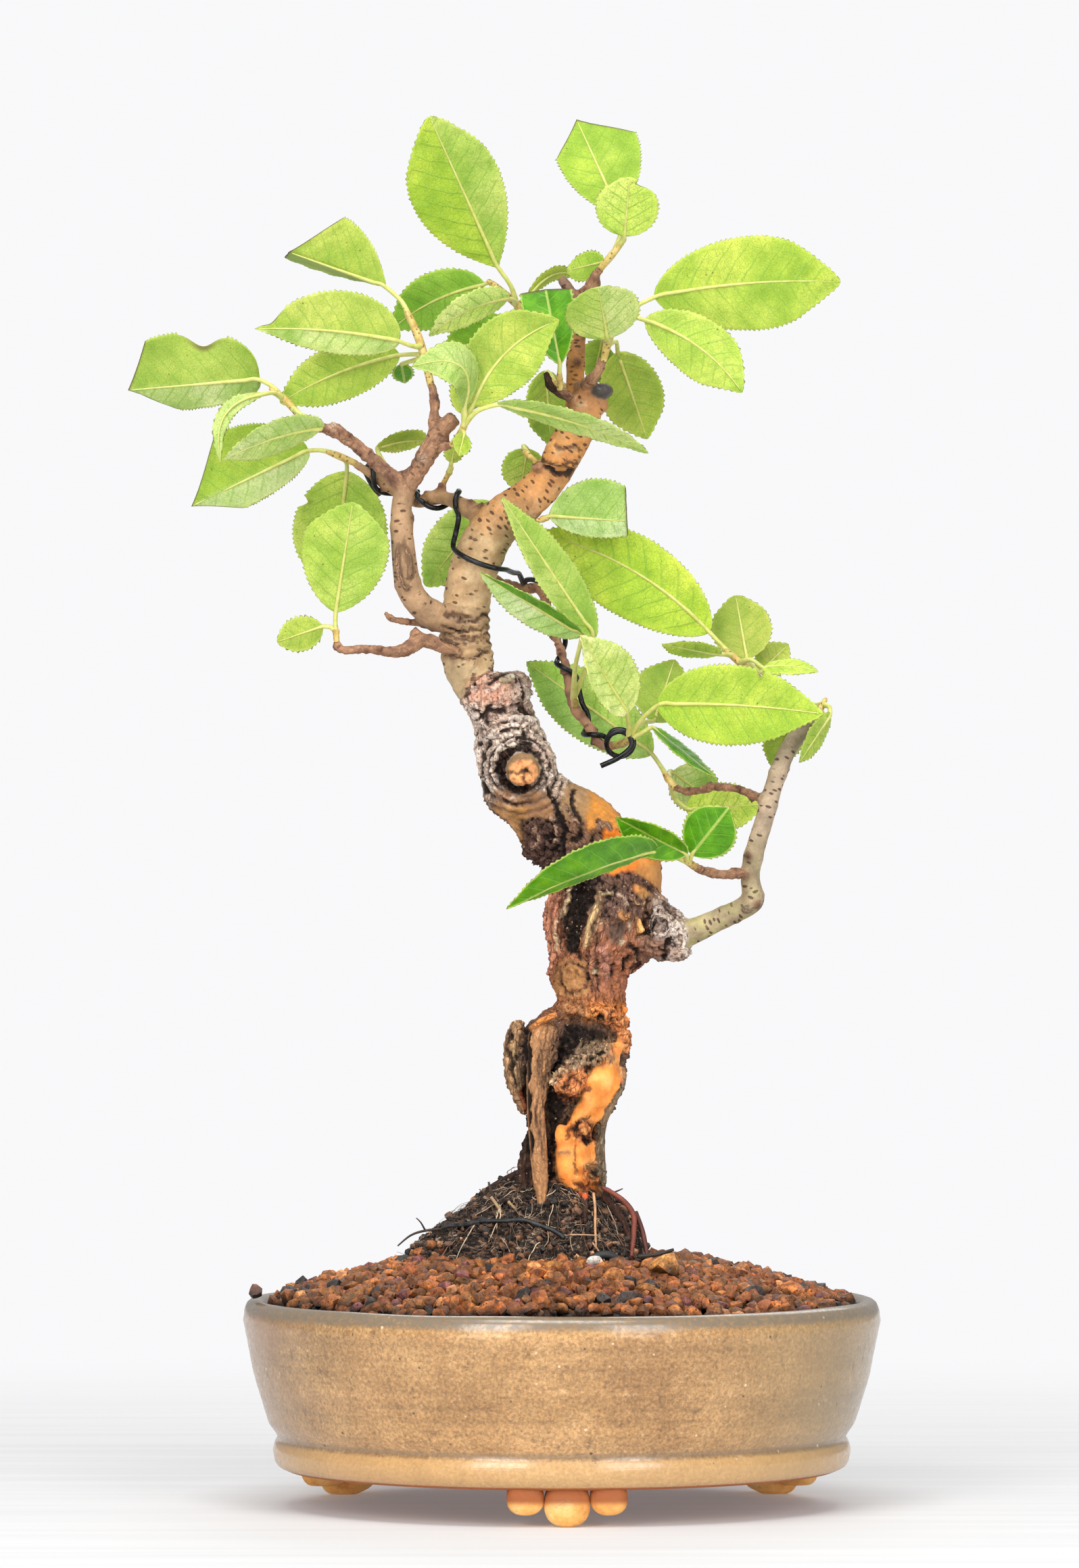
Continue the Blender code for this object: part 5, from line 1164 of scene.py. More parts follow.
def turns_at_random(draw, count):
    """Random rotations as matrices."""
    four = draw.normal(size=(count, 4))
    four /= np.linalg.norm(four, axis=1)[:, None]
    w, x, y, z = four.T
    return np.stack([
        np.stack([1 - 2 * (y * y + z * z), 2 * (x * y - z * w), 2 * (x * z + y * w)], 1),
        np.stack([2 * (x * y + z * w), 1 - 2 * (x * x + z * z), 2 * (y * z - x * w)], 1),
        np.stack([2 * (x * z - y * w), 2 * (y * z + x * w), 1 - 2 * (x * x + y * y)], 1),
    ], 1)


def granules(name, spots, sizes, colours, draw, levels):
    """One mesh of clay chunks, every one of its own shape, with painted shade where it lies deep and on its
    lower side and painted light on its top.
    """
    pattern, faces = chunk_pattern()
    count, each = len(spots), len(pattern)
    shape = np.repeat(pattern[None], count, 0)
    for _ in range(3):
        way = draw.normal(size=(count, 1, 3))
        way /= np.linalg.norm(way, axis=2, keepdims=True)
        depth = draw.uniform(0.45, 0.95, (count, 1))
        over = np.clip((shape * way).sum(2) - depth, 0, None)
        shape = shape - over[..., None] * way
    shape = shape * (1 + draw.normal(0, 0.075, (count, each, 1)))
    shape = shape * draw.uniform(0.72, 1.22, (count, 1, 3)) * sizes[:, None, None]
    shape = np.einsum("nij,nkj->nki", turns_at_random(draw, count), shape)
    shape = shape + spots[:, None, :]
    every = (faces[None] + np.arange(count)[:, None, None] * each).reshape(-1, 4)
    obj = mesh_piece(name, shape.reshape(-1, 3), every.tolist())
    # Deep grains and the lower side of each grain are darkened and its top made lighter: painted shade and
    # painted light
    low = shape[..., 2] - levels[:, None]
    own = (shape[..., 2] - spots[:, None, 2]) / sizes[:, None]
    shade = (0.03 + 0.97 * ease(-1.4, 0.8, low)) * (0.16 + 1.2 * ease(-0.65, 0.7, own))
    colour_attribute(obj, "grain", (colours[:, None] * shade[..., None]).reshape(-1, 3))
    return obj


def make_soil():
    draw = np.random.default_rng(5)
    rings = [(SOIL_EDGE - 3.4, 78.0), (34.0, 75.6), (19.8, 70.0), (BASE_TOP + 0.9, 64.0)]
    segments = 72
    verts, faces = [], []
    for k in range(26):
        reach = 77.9 * (k + 0.5) / 25.5
        for j in range(segments):
            turn = math.tau * (j + 0.5 * (k % 2)) / segments
            x, y = reach * math.cos(turn), reach * math.sin(turn)
            dip = 2.4 + 1.1 * noise.noise(Vector((x * 0.3, y * 0.3, 2)))
            verts.append((x, y, float(soil_height(x, y)) - dip))
    for low, reach in rings:
        for j in range(segments):
            turn = math.tau * j / segments
            verts.append((reach * math.cos(turn), reach * math.sin(turn), low))
    for k in range(26 + len(rings) - 1):
        for j in range(segments):
            a, b = k * segments + j, k * segments + (j + 1) % segments
            faces.append((b, a, a + segments, b + segments))
    faces.append(tuple(range(segments)))
    last = (26 + len(rings) - 1) * segments
    faces.append(tuple(reversed(range(last, last + segments))))
    bed = mesh_piece("soil_bed", verts, faces)
    # The bed under the granules is near black: painted shade in the gaps between them
    colour_attribute(bed, "grain", np.tile((0.03, 0.012, 0.007), (len(verts), 1)))
    made = granule_clay()
    bed.data.materials.append(made)
    finish_piece(bed, "soil", ["soil"])

    spots = []
    for layer, (pitch, drop) in enumerate(((3.55, 2.3), (3.3, 0.35))):
        rows = int(78 / pitch) + 1
        for i in range(-rows, rows + 1):
            for j in range(-rows, rows + 1):
                x = (i + 0.5 * (j % 2) + 0.31 * layer) * pitch
                y = (j + 0.27 * layer) * pitch * 0.87
                spots.append((x, y, drop))
    spots = np.array(spots)
    spots[:, :2] += draw.normal(0, 0.62, (len(spots), 2))
    reach = np.hypot(spots[:, 0], spots[:, 1])
    share = mound_share(spots[:, 0], spots[:, 1])
    stray = draw.uniform(size=len(spots)) < np.clip(0.5 - (1.0 - share) * 3.2, 0, 1)
    spots = spots[(reach < 76.0) & ((share > 0.985) | ((share > 0.84) & stray))]
    x, y, drop = spots.T
    share = mound_share(x, y)
    level = np.maximum(soil_height(x, y), np.where(share < 1.04, mound_height(x, y) - 0.9, 0))
    sizes = draw.triangular(1.35, 1.9, 3.0, len(spots))
    height = level - drop + draw.normal(0, 0.45, len(spots)) - 0.3 * (sizes - 1.9)
    near_wall = ease(70, 76, np.hypot(x, y))
    height -= near_wall * 0.9
    base = np.array((0.212, 0.070, 0.017))
    kind = draw.uniform(size=len(spots))
    tint = base * draw.lognormal(0, 0.36, (len(spots), 1)) * draw.normal(1, 0.06, (len(spots), 3))
    black = kind < 0.05
    tint[black] = np.array((0.035, 0.026, 0.022)) * draw.uniform(0.6, 1.6, (black.sum(), 1))
    bright = (kind > 0.97) & (kind < 0.99)
    tint[bright] = np.array((0.52, 0.21, 0.07)) * draw.uniform(0.8, 1.2, (bright.sum(), 1))
    purple = (kind > 0.93) & (kind < 0.97)
    tint[purple] = np.array((0.15, 0.05, 0.045)) * draw.uniform(0.8, 1.3, (purple.sum(), 1))
    pale = kind > 0.9965
    tint[pale] = (0.75, 0.72, 0.66)
    sizes[pale] = 1.1
    spots = np.c_[x, y, height]
    extra = np.array([(-81.2, -12.5, 57.6), (8.5, -33.5, 66.4), (26.5, -37.5, 66.0)])
    spots = np.r_[spots, extra]
    sizes = np.r_[sizes, (2.1, 1.7, 3.4)]
    tint = np.r_[tint, ((0.13, 0.05, 0.03), (0.80, 0.78, 0.72), (0.62, 0.27, 0.07))]
    grains = granules("soil_granules", spots, sizes, np.clip(tint, 0.004, 0.9), draw,
                      np.r_[level, (56, 64, 64)])
    grains.data.materials.append(made)
    finish_piece(grains, "soil", ["soil"], 42)


def strand(points, sides=4):
    """Points and faces of a thin closed tube along rows of x, y, z and radius."""
    points = np.asarray(points, float)
    verts, faces = [], []
    across = None
    for i, row in enumerate(points):
        ahead = Vector(points[min(i + 1, len(points) - 1), :3] - points[max(i - 1, 0), :3])
        ahead = ahead.normalized() if ahead.length > 1e-9 else Vector((0, 0, 1))
        if across is None:
            across = ahead.orthogonal()
        across = (across - ahead * across.dot(ahead)).normalized()
        other = ahead.cross(across)
        for k in range(sides):
            turn = math.tau * k / sides
            verts.append(Vector(row[:3]) + (across * math.cos(turn) + other * math.sin(turn)) * row[3])
    for i in range(len(points) - 1):
        for k in range(sides):
            a, b = i * sides + k, i * sides + (k + 1) % sides
            faces.append((a, b, b + sides, a + sides))
    faces.append(tuple(reversed(range(sides))))
    faces.append(tuple(range((len(points) - 1) * sides, len(points) * sides)))
    return verts, faces


def gathered(name, parts):
    """One piece from many sets of points and faces, each with its own colour."""
    verts, faces, tints = [], [], []
    for points, sides, tint in parts:
        faces += [tuple(k + len(verts) for k in side) for side in sides]
        verts += [tuple(p) for p in points]
        tints += [tint] * len(points)
    obj = mesh_piece(name, verts, faces)
    colour_attribute(obj, "grain", np.array(tints))
    return obj


def muck():
    """Black fibrous root muck with brown crumbs."""
    paint = Paint("root_muck", 0.85, Specular_IOR_Level=0.3)
    place = paint.where()
    fibres = paint.clouds(paint.scaled(place, (1, 1, 2.2)), 330, 6, 0.72, 1.4)
    crumbs = paint.clouds(place, 700, 3, 0.6)
    tone = paint.ramp(fibres, (0.40, (0.003, 0.002, 0.002)), (0.49, (0.022, 0.015, 0.011)),
                      (0.56, (0.10, 0.065, 0.045)), (0.64, (0.46, 0.33, 0.23)))
    tone = paint.blend(paint.band(crumbs, 0.56, 0.66, 0, 0.65), tone, (0.20, 0.085, 0.04))
    paint.set("Base Color", tone)
    paint.relief(paint.sum("ADD", fibres, paint.sum("MULTIPLY", crumbs, 0.3)), 0.9, 0.9)
    return paint.material


def root_skin():
    """Thin roots: each carries its own colour."""
    paint = Paint("root_skin", 0.6)
    cloud = paint.clouds(paint.where(), 500, 3)
    paint.set("Base Color", paint.blend(1.0, paint.held("grain", "Color"),
                                        paint.ramp(cloud, (0.3, 0.7), (0.7, 1.25)), "MULTIPLY"))
    paint.relief(cloud, 0.4, 0.2)
    return paint.material


def muck_height(x, y):
    """Height of the fibrous muck: the mound, heaped over its roots and against the stem."""
    x, y = np.asarray(x, float), np.asarray(y, float)
    heap = 3.4 * np.exp(-((x + 1.0) / 5.0) ** 2 - ((y + 13.0) / 4.5) ** 2)
    heap += 3.6 * np.exp(-((x - 17.0) / 4.5) ** 2 - ((y + 3.0) / 9.0) ** 2)
    for name in ("root_left", "root_back"):
        line = [row[:2] for row in ROOTS[name]]
        heap = np.maximum(heap, 4.3 * np.exp(-(to_line(x.ravel(), y.ravel(), line) / 3.4) ** 2)
                          .reshape(x.shape) * (1 - 0.45 * ease(8, 24, np.hypot(x, y))))
    return mound_height(x, y) + heap


def make_mound():
    around, out = ((216, 46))
    verts, faces = [], []
    share = (np.arange(out) + 0.6) / out
    turn = math.tau * np.arange(around) / around
    grid_share, grid_turn = np.meshgrid(share, turn, indexing="ij")
    reach = mound_edge(grid_turn) * grid_share
    x, y = reach * np.cos(grid_turn), reach * np.sin(grid_turn)
    z = muck_height(x, y)
    top = np.stack([x, y, z], -1).reshape(-1, 3)
    rough = field(top, (0.42, 0.42, 0.42), 3.0, 4)
    crumbs = np.abs(field(top, 1.15, 11.0))
    edge = 1 - ease(0.93, 1.0, grid_share.ravel())
    top[:, 2] += (rough * 2.0 + crumbs * 1.7 - 0.7) * edge
    top[:, 0] += 0.8 * field(top, 0.9, 21.0) * edge
    top[:, 1] += 0.8 * field(top, 0.9, 31.0) * edge
    verts = [tuple(p) for p in top]
    for low, inset in ((61.0, 1.0), (50.0, 0.9), (MOUND_BOTTOM, 0.66)):
        for angle in turn:
            far = float(mound_edge(angle)) * inset
            verts.append((far * math.cos(angle), far * math.sin(angle), low))
    rows = out + 3
    for i in range(rows - 1):
        for k in range(around):
            a, b = i * around + k, i * around + (k + 1) % around
            faces.append((b, a, a + around, b + around))
    faces.append(tuple(range(around)))
    faces.append(tuple(reversed(range((rows - 1) * around, rows * around))))
    mound = mesh_piece("root_mound_muck", verts, faces)
    mound.data.materials.append(muck())
    finish_piece(mound, "root_mound", ["root_mound"])

    draw = np.random.default_rng(23)
    count = 900
    turn = draw.uniform(-math.pi, math.pi, count)
    reach = mound_edge(turn) * np.sqrt(draw.uniform(0.06, 1.08, count))
    x, y = reach * np.cos(turn), reach * np.sin(turn)
    level = np.maximum(muck_height(x, y), soil_height(x, y))
    sizes = draw.triangular(0.35, 0.5, 1.25, count)
    tint = np.array((0.028, 0.018, 0.013)) * draw.lognormal(0, 0.6, (count, 1))
    brown = draw.uniform(size=count)
    tint[brown > 0.66] = (0.15, 0.07, 0.035)
    tint[brown > 0.92] = (0.44, 0.22, 0.11)
    crumbs = granules("root_mound_crumbs", np.c_[x, y, level + draw.uniform(-0.5, 0.7, count)],
                      sizes, tint, draw, level - 3)
    crumbs.data.materials.append(granule_clay())
    finish_piece(crumbs, "root_mound", ["root_mound"], 42)

    draw = random.Random(23)
    parts = []
    tints = ((0.02, 0.013, 0.01), (0.02, 0.013, 0.01), (0.03, 0.02, 0.016), (0.05, 0.028, 0.02),
             (0.12, 0.06, 0.035), (0.22, 0.13, 0.08), (0.40, 0.27, 0.17), (0.66, 0.50, 0.34))
    for k in range(760):
        angle = draw.uniform(-math.pi, 0.35 * math.pi) if k % 3 else draw.uniform(0, math.tau)
        reach = float(mound_edge(angle)) * draw.uniform(0.25, 1.03)
        x, y = reach * math.cos(angle), reach * math.sin(angle)
        heading = angle + draw.choice((-1, 1)) * draw.uniform(0.2, 1.7)
        length = draw.uniform(2.5, 11.0)
        thick = draw.choice((0.06, 0.08, 0.08, 0.10, 0.13, 0.20))
        lift = draw.uniform(0.1, 0.9)
        bend = draw.uniform(-0.5, 0.5)
        tint = draw.choice(tints)
        rise = draw.uniform(-0.5, 2.0) * (draw.random() < 0.4)
        rows = []
        for i in range(7):
            t = i / 6
            ground = max(float(muck_height(x, y)), float(soil_height(x, y)))
            arch = 4 * t * (1 - t) * draw.uniform(0.1, 0.9)
            rows.append((x, y, ground + lift + arch + rise * t * t, thick * (1 - 0.55 * t)))
            heading += bend + draw.uniform(-0.5, 0.5)
            x += math.cos(heading) * length / 7
            y += math.sin(heading) * length / 7
        parts.append((*strand(smooth_path(rows, length / 10), 4), tint))
    for route, tint in LOOSE_ROOTS:
        parts.append((*strand(smooth_path(route, 0.9), 6), tint))
    roots = gathered("root_hairs", parts)
    roots.data.materials.append(root_skin())
    finish_piece(roots, "root_mound", ["root_mound"])


# Roots and twigs that show by themselves on the mound: x, y, z and radius, and their colour
LOOSE_ROOTS = (
    (((-27, -6, 72.0, 0.45), (-31, -7, 73.6, 0.42), (-36, -8, 73.4, 0.38), (-40, -9, 72.2, 0.32),
      (-43.5, -9.5, 69.4, 0.22)), (0.035, 0.02, 0.015)),
    (((-36.2, -8, 73.4, 0.3), (-37.4, -8.6, 75.6, 0.22), (-38.6, -9, 76.8, 0.15)),
     (0.03, 0.018, 0.013)),
    (((-17, -9, 79.5, 0.42), (-18.6, -9.4, 83.6, 0.4), (-19.4, -9.6, 86.4, 0.3)),
     (0.05, 0.03, 0.022)),
    (((-15.0, -12, 77.0, 0.5), (-17.2, -12.5, 80.4, 0.48), (-18.8, -12.6, 82.6, 0.42)),
     (0.44, 0.30, 0.16)),
    (((-11.6, -12.6, 78.4, 0.45), (-14.2, -13, 81.4, 0.42)), (0.40, 0.26, 0.13)),
    (((8.4, -13.6, 83.6, 0.4), (8.8, -16.4, 79.5, 0.36), (8.8, -18.8, 74.6, 0.34),
      (9.0, -20.6, 69.6, 0.28)), (0.56, 0.30, 0.15)),
    (((10.6, -9.6, 85.0, 0.6), (13.6, -10.4, 83.4, 0.7), (16.8, -11.0, 81.0, 0.8),
      (19.0, -11.6, 77.6, 0.8), (19.0, -13.0, 72.4, 0.75), (18.4, -15.0, 66.8, 0.5)),
     (0.20, 0.045, 0.025)),
    (((19.6, -8.0, 78.4, 0.6), (21.4, -10.0, 73.2, 0.7), (22.4, -12.0, 68.4, 0.6),
      (22.8, -13.0, 65.0, 0.4)), (0.10, 0.025, 0.018)),
    (((11.6, -9, 83.0, 0.3), (14.4, -9, 83.8, 0.24), (16.2, -9, 84.6, 0.14)), (0.03, 0.018, 0.014)),
    (((20, -14, 66.8, 0.6), (25, -15, 67.4, 0.55), (29.6, -15.6, 68.8, 0.4)),
     (0.035, 0.025, 0.02)),
    (((-1.5, -20.5, 72.6, 0.22), (3.5, -21.4, 73.0, 0.22), (9.4, -21.0, 72.8, 0.16)),
     (0.50, 0.30, 0.17)),
    (((-9, -21, 67.6, 0.2), (-4, -22.4, 69.4, 0.2), (0.4, -22.4, 69.0, 0.14)),
     (0.50, 0.33, 0.2)),
    (((8.0, -21.6, 71.0, 0.25), (10.6, -22.6, 67.4, 0.22), (12.4, -23.6, 63.8, 0.16)),
     (0.42, 0.26, 0.16)),
    (((5.6, -22.4, 64.6, 1.0), (7.4, -23.0, 66.4, 1.1), (11.0, -22.6, 67.8, 1.15),
      (15.0, -21.6, 66.4, 1.1), (18.6, -20.2, 62.9, 1.0)), (0.022, 0.024, 0.024)),
)


# Wood

def ring_tube(path, sides, depth=1.0, wobble=0.0, plain_below=-1.0):
    """Points and faces of a closed tube along rows of x, y, z and radius."""
    path = np.asarray(path, float)
    across = None
    verts, faces = [], []
    for i, row in enumerate(path):
        centre = Vector(row[:3])
        ahead = Vector(path[min(i + 1, len(path) - 1), :3] - path[max(i - 1, 0), :3]).normalized()
        if across is None:
            across = ahead.cross(Vector((0, 1, 0)))
            if across.length < 0.2:
                across = ahead.cross(Vector((0, 0, 1)))
        across = (across - ahead * across.dot(ahead)).normalized()
        other = ahead.cross(across)
        for k in range(sides):
            turn = math.tau * k / sides
            point = across * math.cos(turn) + other * (math.sin(turn) * depth)
            size = row[3]
            if wobble and centre.z > plain_below:
                size *= 1 + wobble * noise.noise((centre + point * size) * 0.09)
            verts.append(centre + point * size)
    for i in range(len(path) - 1):
        for k in range(sides):
            a, b = i * sides + k, i * sides + (k + 1) % sides
            faces.append((a, b, b + sides, a + sides))
    faces.append(tuple(reversed(range(sides))))
    faces.append(tuple(range((len(path) - 1) * sides, len(path) * sides)))
    return verts, faces


def ball(centre, half, rings=10, turn=None):
    """Points and faces of an ellipsoid."""
    verts, faces = [Vector((0, 0, -1))], []
    sides = rings * 2
    for i in range(1, rings):
        tilt = math.pi * i / rings
        for k in range(sides):
            angle = math.tau * k / sides
            verts.append(Vector((math.sin(tilt) * math.cos(angle), math.sin(tilt) * math.sin(angle),
                                 -math.cos(tilt))))
    verts.append(Vector((0, 0, 1)))
    for k in range(sides):
        faces.append((0, 1 + (k + 1) % sides, 1 + k))
        top = 1 + (rings - 2) * sides
        faces.append((len(verts) - 1, top + k, top + (k + 1) % sides))
        for i in range(rings - 2):
            a, b = 1 + i * sides + k, 1 + i * sides + (k + 1) % sides
            faces.append((a, b, b + sides, a + sides))
    turn = turn or Matrix.Identity(3)
    return [Vector(centre) + turn @ Vector([v[i] * half[i] for i in range(3)]) for v in verts], faces


def hoop(centre, reach, bead, squash=1.0, lift=0.0, sides=10, turns=48, rough=0.0):
    """Points and faces of a ring that faces the viewer; rough makes its reach uneven."""
    verts, faces = [], []
    for k in range(turns):
        turn = math.tau * k / turns
        far = reach * (1 + rough * noise.noise(Vector((math.cos(turn) * 1.4, math.sin(turn) * 1.4,
                                                       reach + centre[0]))))
        for j in range(sides):
            tip = math.tau * j / sides
            out = far + bead * math.cos(tip)
            verts.append(Vector(centre) + Vector((out * math.cos(turn),
                                                  -bead * math.sin(tip) + lift * math.cos(turn),
                                                  out * math.sin(turn) * squash)))
    for k in range(turns):
        for j in range(sides):
            a, b = k * sides + j, k * sides + (j + 1) % sides
            c, d = ((k + 1) % turns) * sides + (j + 1) % sides, ((k + 1) % turns) * sides + j
            faces.append((a, b, c, d))
    return verts, faces


def knotted(points, draw, pitch=7.0, swell=0.2):
    """A branch's fine path, with swellings where leaves once sat; and those places."""
    rows = smooth_path(points, 0.8)
    runs = np.r_[0, np.cumsum(np.linalg.norm(np.diff(rows[:, :3], axis=0), axis=1))]
    knots, place = [], draw.uniform(2.5, pitch)
    while place < runs[-1] - 1:
        rows[:, 3] *= 1 + swell * draw.uniform(0.5, 1.3) * np.exp(-((runs - place) / 0.75) ** 2)
        knots.append(rows[int(np.argmin(np.abs(runs - place)))].copy())
        place += pitch * draw.uniform(0.6, 1.3)
    return rows, knots


def root_path(points):
    return [(x, y, float(mound_height(np.array(x), np.array(y))) + lift + r, r)
            for x, y, lift, r in points]


# What the wood's surface is made of: name, path or ellipsoid. The nearest one gives a place its bark
def wood_parts(draw):
    """Every grown part: label, rows of its centre line with radii, points and faces."""
    parts = []

    def add(label, rows, shape):
        parts.append((label, np.asarray(rows, float), shape))

    for line in (LOWER_STEM, UPPER_STEM):
        stem = smooth_path(line, 1.3)
        add("stem", stem, ring_tube(stem, 44, STEM_DEPTH, 0.16, PLAIN_BASE))
    for label, points in RIDGES.items():
        rows = smooth_path(points, 1.2)
        add(label, rows, ring_tube(rows, 18))
    for label, (centre, half) in LUMPS.items():
        rows = [(*centre, min(half))]
        add(label, rows, ball(centre, half, 14))
    x, y, z = CUT_COLLAR
    for reach, bead, ahead in ((CUT_COLLAR_RING, CUT_COLLAR_BEAD, 0.6), (8.4, 1.0, 2.4)):
        rows = [(x + reach * math.cos(a), y + ahead, z + reach * math.sin(a), bead)
                for a in np.linspace(0, math.tau, 24)]
        add("collar", rows, hoop((x, y + ahead, z), reach, bead, rough=0.06))
    stub = ((x, y + 6, z, CUT_STUB), (x + 0.9, y - 3.4, z - 0.7, CUT_STUB - 0.4),
            (x + 1.0, y - 4.2, z - 0.9, CUT_STUB - 1.0))
    add("stub", stub, ring_tube(stub, 24))
    for name, points in BRANCHES.items():
        thick = points[0][3] > 1.8
        pitch = 12.0 if name in ("right_limb", "left_limb", "leader") else 5.5
        rows, knots = knotted(points, draw, pitch, 0.13 if thick else 0.24)
        add(name, rows, ring_tube(rows, 20 if thick else 14))
        for k, knot in enumerate(knots):
            side = Vector((draw.uniform(-1, 1), draw.uniform(-1, 0.3), draw.uniform(-0.4, 0.7)))
            side.normalize()
            size = 0.55 + 0.16 * knot[3]
            centre = Vector(knot[:3]) + side * (knot[3] + 0.1)
            add("bud", [(*centre, size)], ball(centre, (size, size, size * 1.25), 5))
    for points in ROOTS.values():
        rows = smooth_path(root_path(points), 1.0)
        add("root", rows, ring_tube(rows, 12))
    for label, rows in WOOD_DETAILS:
        rows = smooth_path(rows, 0.8)
        add(label, rows, ring_tube(rows, 10))
    for label, centre, reach, bead, squash in SCARS:
        rows = [(centre[0] + reach * math.cos(a), centre[1], centre[2] + reach * math.sin(a) * squash, bead)
                for a in np.linspace(0, math.tau, 16)]
        add(label, rows, hoop(centre, reach, bead, squash, sides=8, turns=28, rough=0.12))
    for label, centre, half in BUMPS:
        add(label, [(*centre, min(half))], ball(centre, half, 8))
    return parts


def voxel_skin(obj, size):
    only(obj)
    change = obj.modifiers.new("skin", "REMESH")
    change.mode = "VOXEL"
    change.voxel_size = size * MM
    bpy.ops.object.modifier_apply(modifier=change.name)


def relaxed(obj, factor, times):
    only(obj)
    change = obj.modifiers.new("relax", "SMOOTH")
    change.factor = factor
    change.iterations = times
    bpy.ops.object.modifier_apply(modifier=change.name)


def thinned(obj, triangles):
    """Takes triangles away where the surface is flattest, down to a number of them."""
    obj.data.calc_loop_triangles()
    found = len(obj.data.loop_triangles)
    if found > triangles:
        only(obj)
        change = obj.modifiers.new("thin", "DECIMATE")
        change.ratio = triangles / found
        bpy.ops.object.modifier_apply(modifier=change.name)


def joined(name, shapes):
    verts, faces = [], []
    for points, sides in shapes:
        faces += [tuple(k + len(verts) for k in side) for side in sides]
        verts += [tuple(p) for p in points]
    return mesh_piece(name, verts, faces)


def outwards(obj):
    only(obj)
    bpy.ops.object.mode_set(mode="EDIT")
    bpy.ops.mesh.select_all(action="SELECT")
    bpy.ops.mesh.normals_make_consistent(inside=False)
    bpy.ops.object.mode_set(mode="OBJECT")


def nearest(points, rows):
    """Distance over the radius to the closest row, and its number."""
    best = np.full(len(points), 1e9)
    pick = np.zeros(len(points), int)
    for i, row in enumerate(rows):
        away = np.linalg.norm(points - row[:3], axis=1) - row[3]
        closer = away < best
        best[closer] = away[closer]
        pick[closer] = i
    return best, pick


def ridged(points, scale, seed, octaves=3):
    """Noise with sharp crests, 0 to 1."""
    total, weight = np.zeros(len(points)), 1.0
    full = 0.0
    scale = np.asarray(scale, float)
    for k in range(octaves):
        total += weight * (1 - np.abs(field(points, scale * 2.07 ** k, seed + 7 * k)) * 2)
        full += weight
        weight *= 0.55
    return np.clip(total / full, 0, 1)


def plates(points, scale, seed):
    """Flaking bark: how high each flake stands, 0 to 1, and how near its edge a place is."""
    high, edge = np.empty(len(points)), np.empty(len(points))
    for i, p in enumerate(np.asarray(points) * np.asarray(scale) + seed):
        apart, spots = noise.voronoi(Vector(p))
        high[i] = (math.sin(spots[0].x * 12.9 + spots[0].y * 78.2 + spots[0].z * 37.7) * 43758.5) % 1
        edge[i] = apart[1] - apart[0]
    return high, np.clip(edge * 3, 0, 1)


# Colours of bark and wood
# Near black of dark rotten wood and of painted shade in hollows, pits and deep cracks
BLACK_ROT = (0.014, 0.009, 0.007)
DARK_BARK = (0.085, 0.045, 0.030)
SOFT_BARK = (0.14, 0.075, 0.05)
BROWN_BARK = (0.20, 0.092, 0.052)
TWIG_BROWN = (0.38, 0.205, 0.115)
CAP_BLACK = (0.085, 0.072, 0.068)

# The visible stem: its flaky length ends in a sharper shoulder beside the smooth upper one
LOWER_STEM = STEM[:22] + ((-16.5, -0.5, 211.4, 8.5), (-17.4, -1, 215.2, 9.3), (-18.4, -1, 218.4, 9.5),
                          (-18.8, -1, 221.2, 8.4))
UPPER_STEM = ((-21.0, -1, 211, 4.0), (-22.6, -1, 216, 5.0), (-23.7, -1, 219.5, 6.1),
              (-24.8, -1, 223, 6.9), (-25.4, -1, 227, 7.0)) + STEM[26:]
# Hollows dug out of the front: points and radii
DUG = (
    ((13.0, -11.6, 125.4, 1.6), (9.0, -13.6, 126.0, 2.3), (5.4, -14.6, 127.0, 3.0),
     (1.6, -14.2, 126.2, 3.8), (-1.2, -13.4, 120.5, 3.5), (-1.4, -12.8, 112.0, 3.0),
     (-2.4, -11.2, 102.0, 2.4), (-2.8, -10.4, 94.0, 1.8), (-3.0, -10.6, 86.0, 1.5)),
    ((-11.3, -14.0, 195.7, 6.0), (-11.3, -7.2, 195.7, 5.7)),
    ((6.4, -13.4, 168.5, 2.8), (4.4, -12.2, 162.0, 3.6), (2.8, -10.8, 155.5, 3.1),
     (2.2, -9.8, 149.0, 1.9)),
)
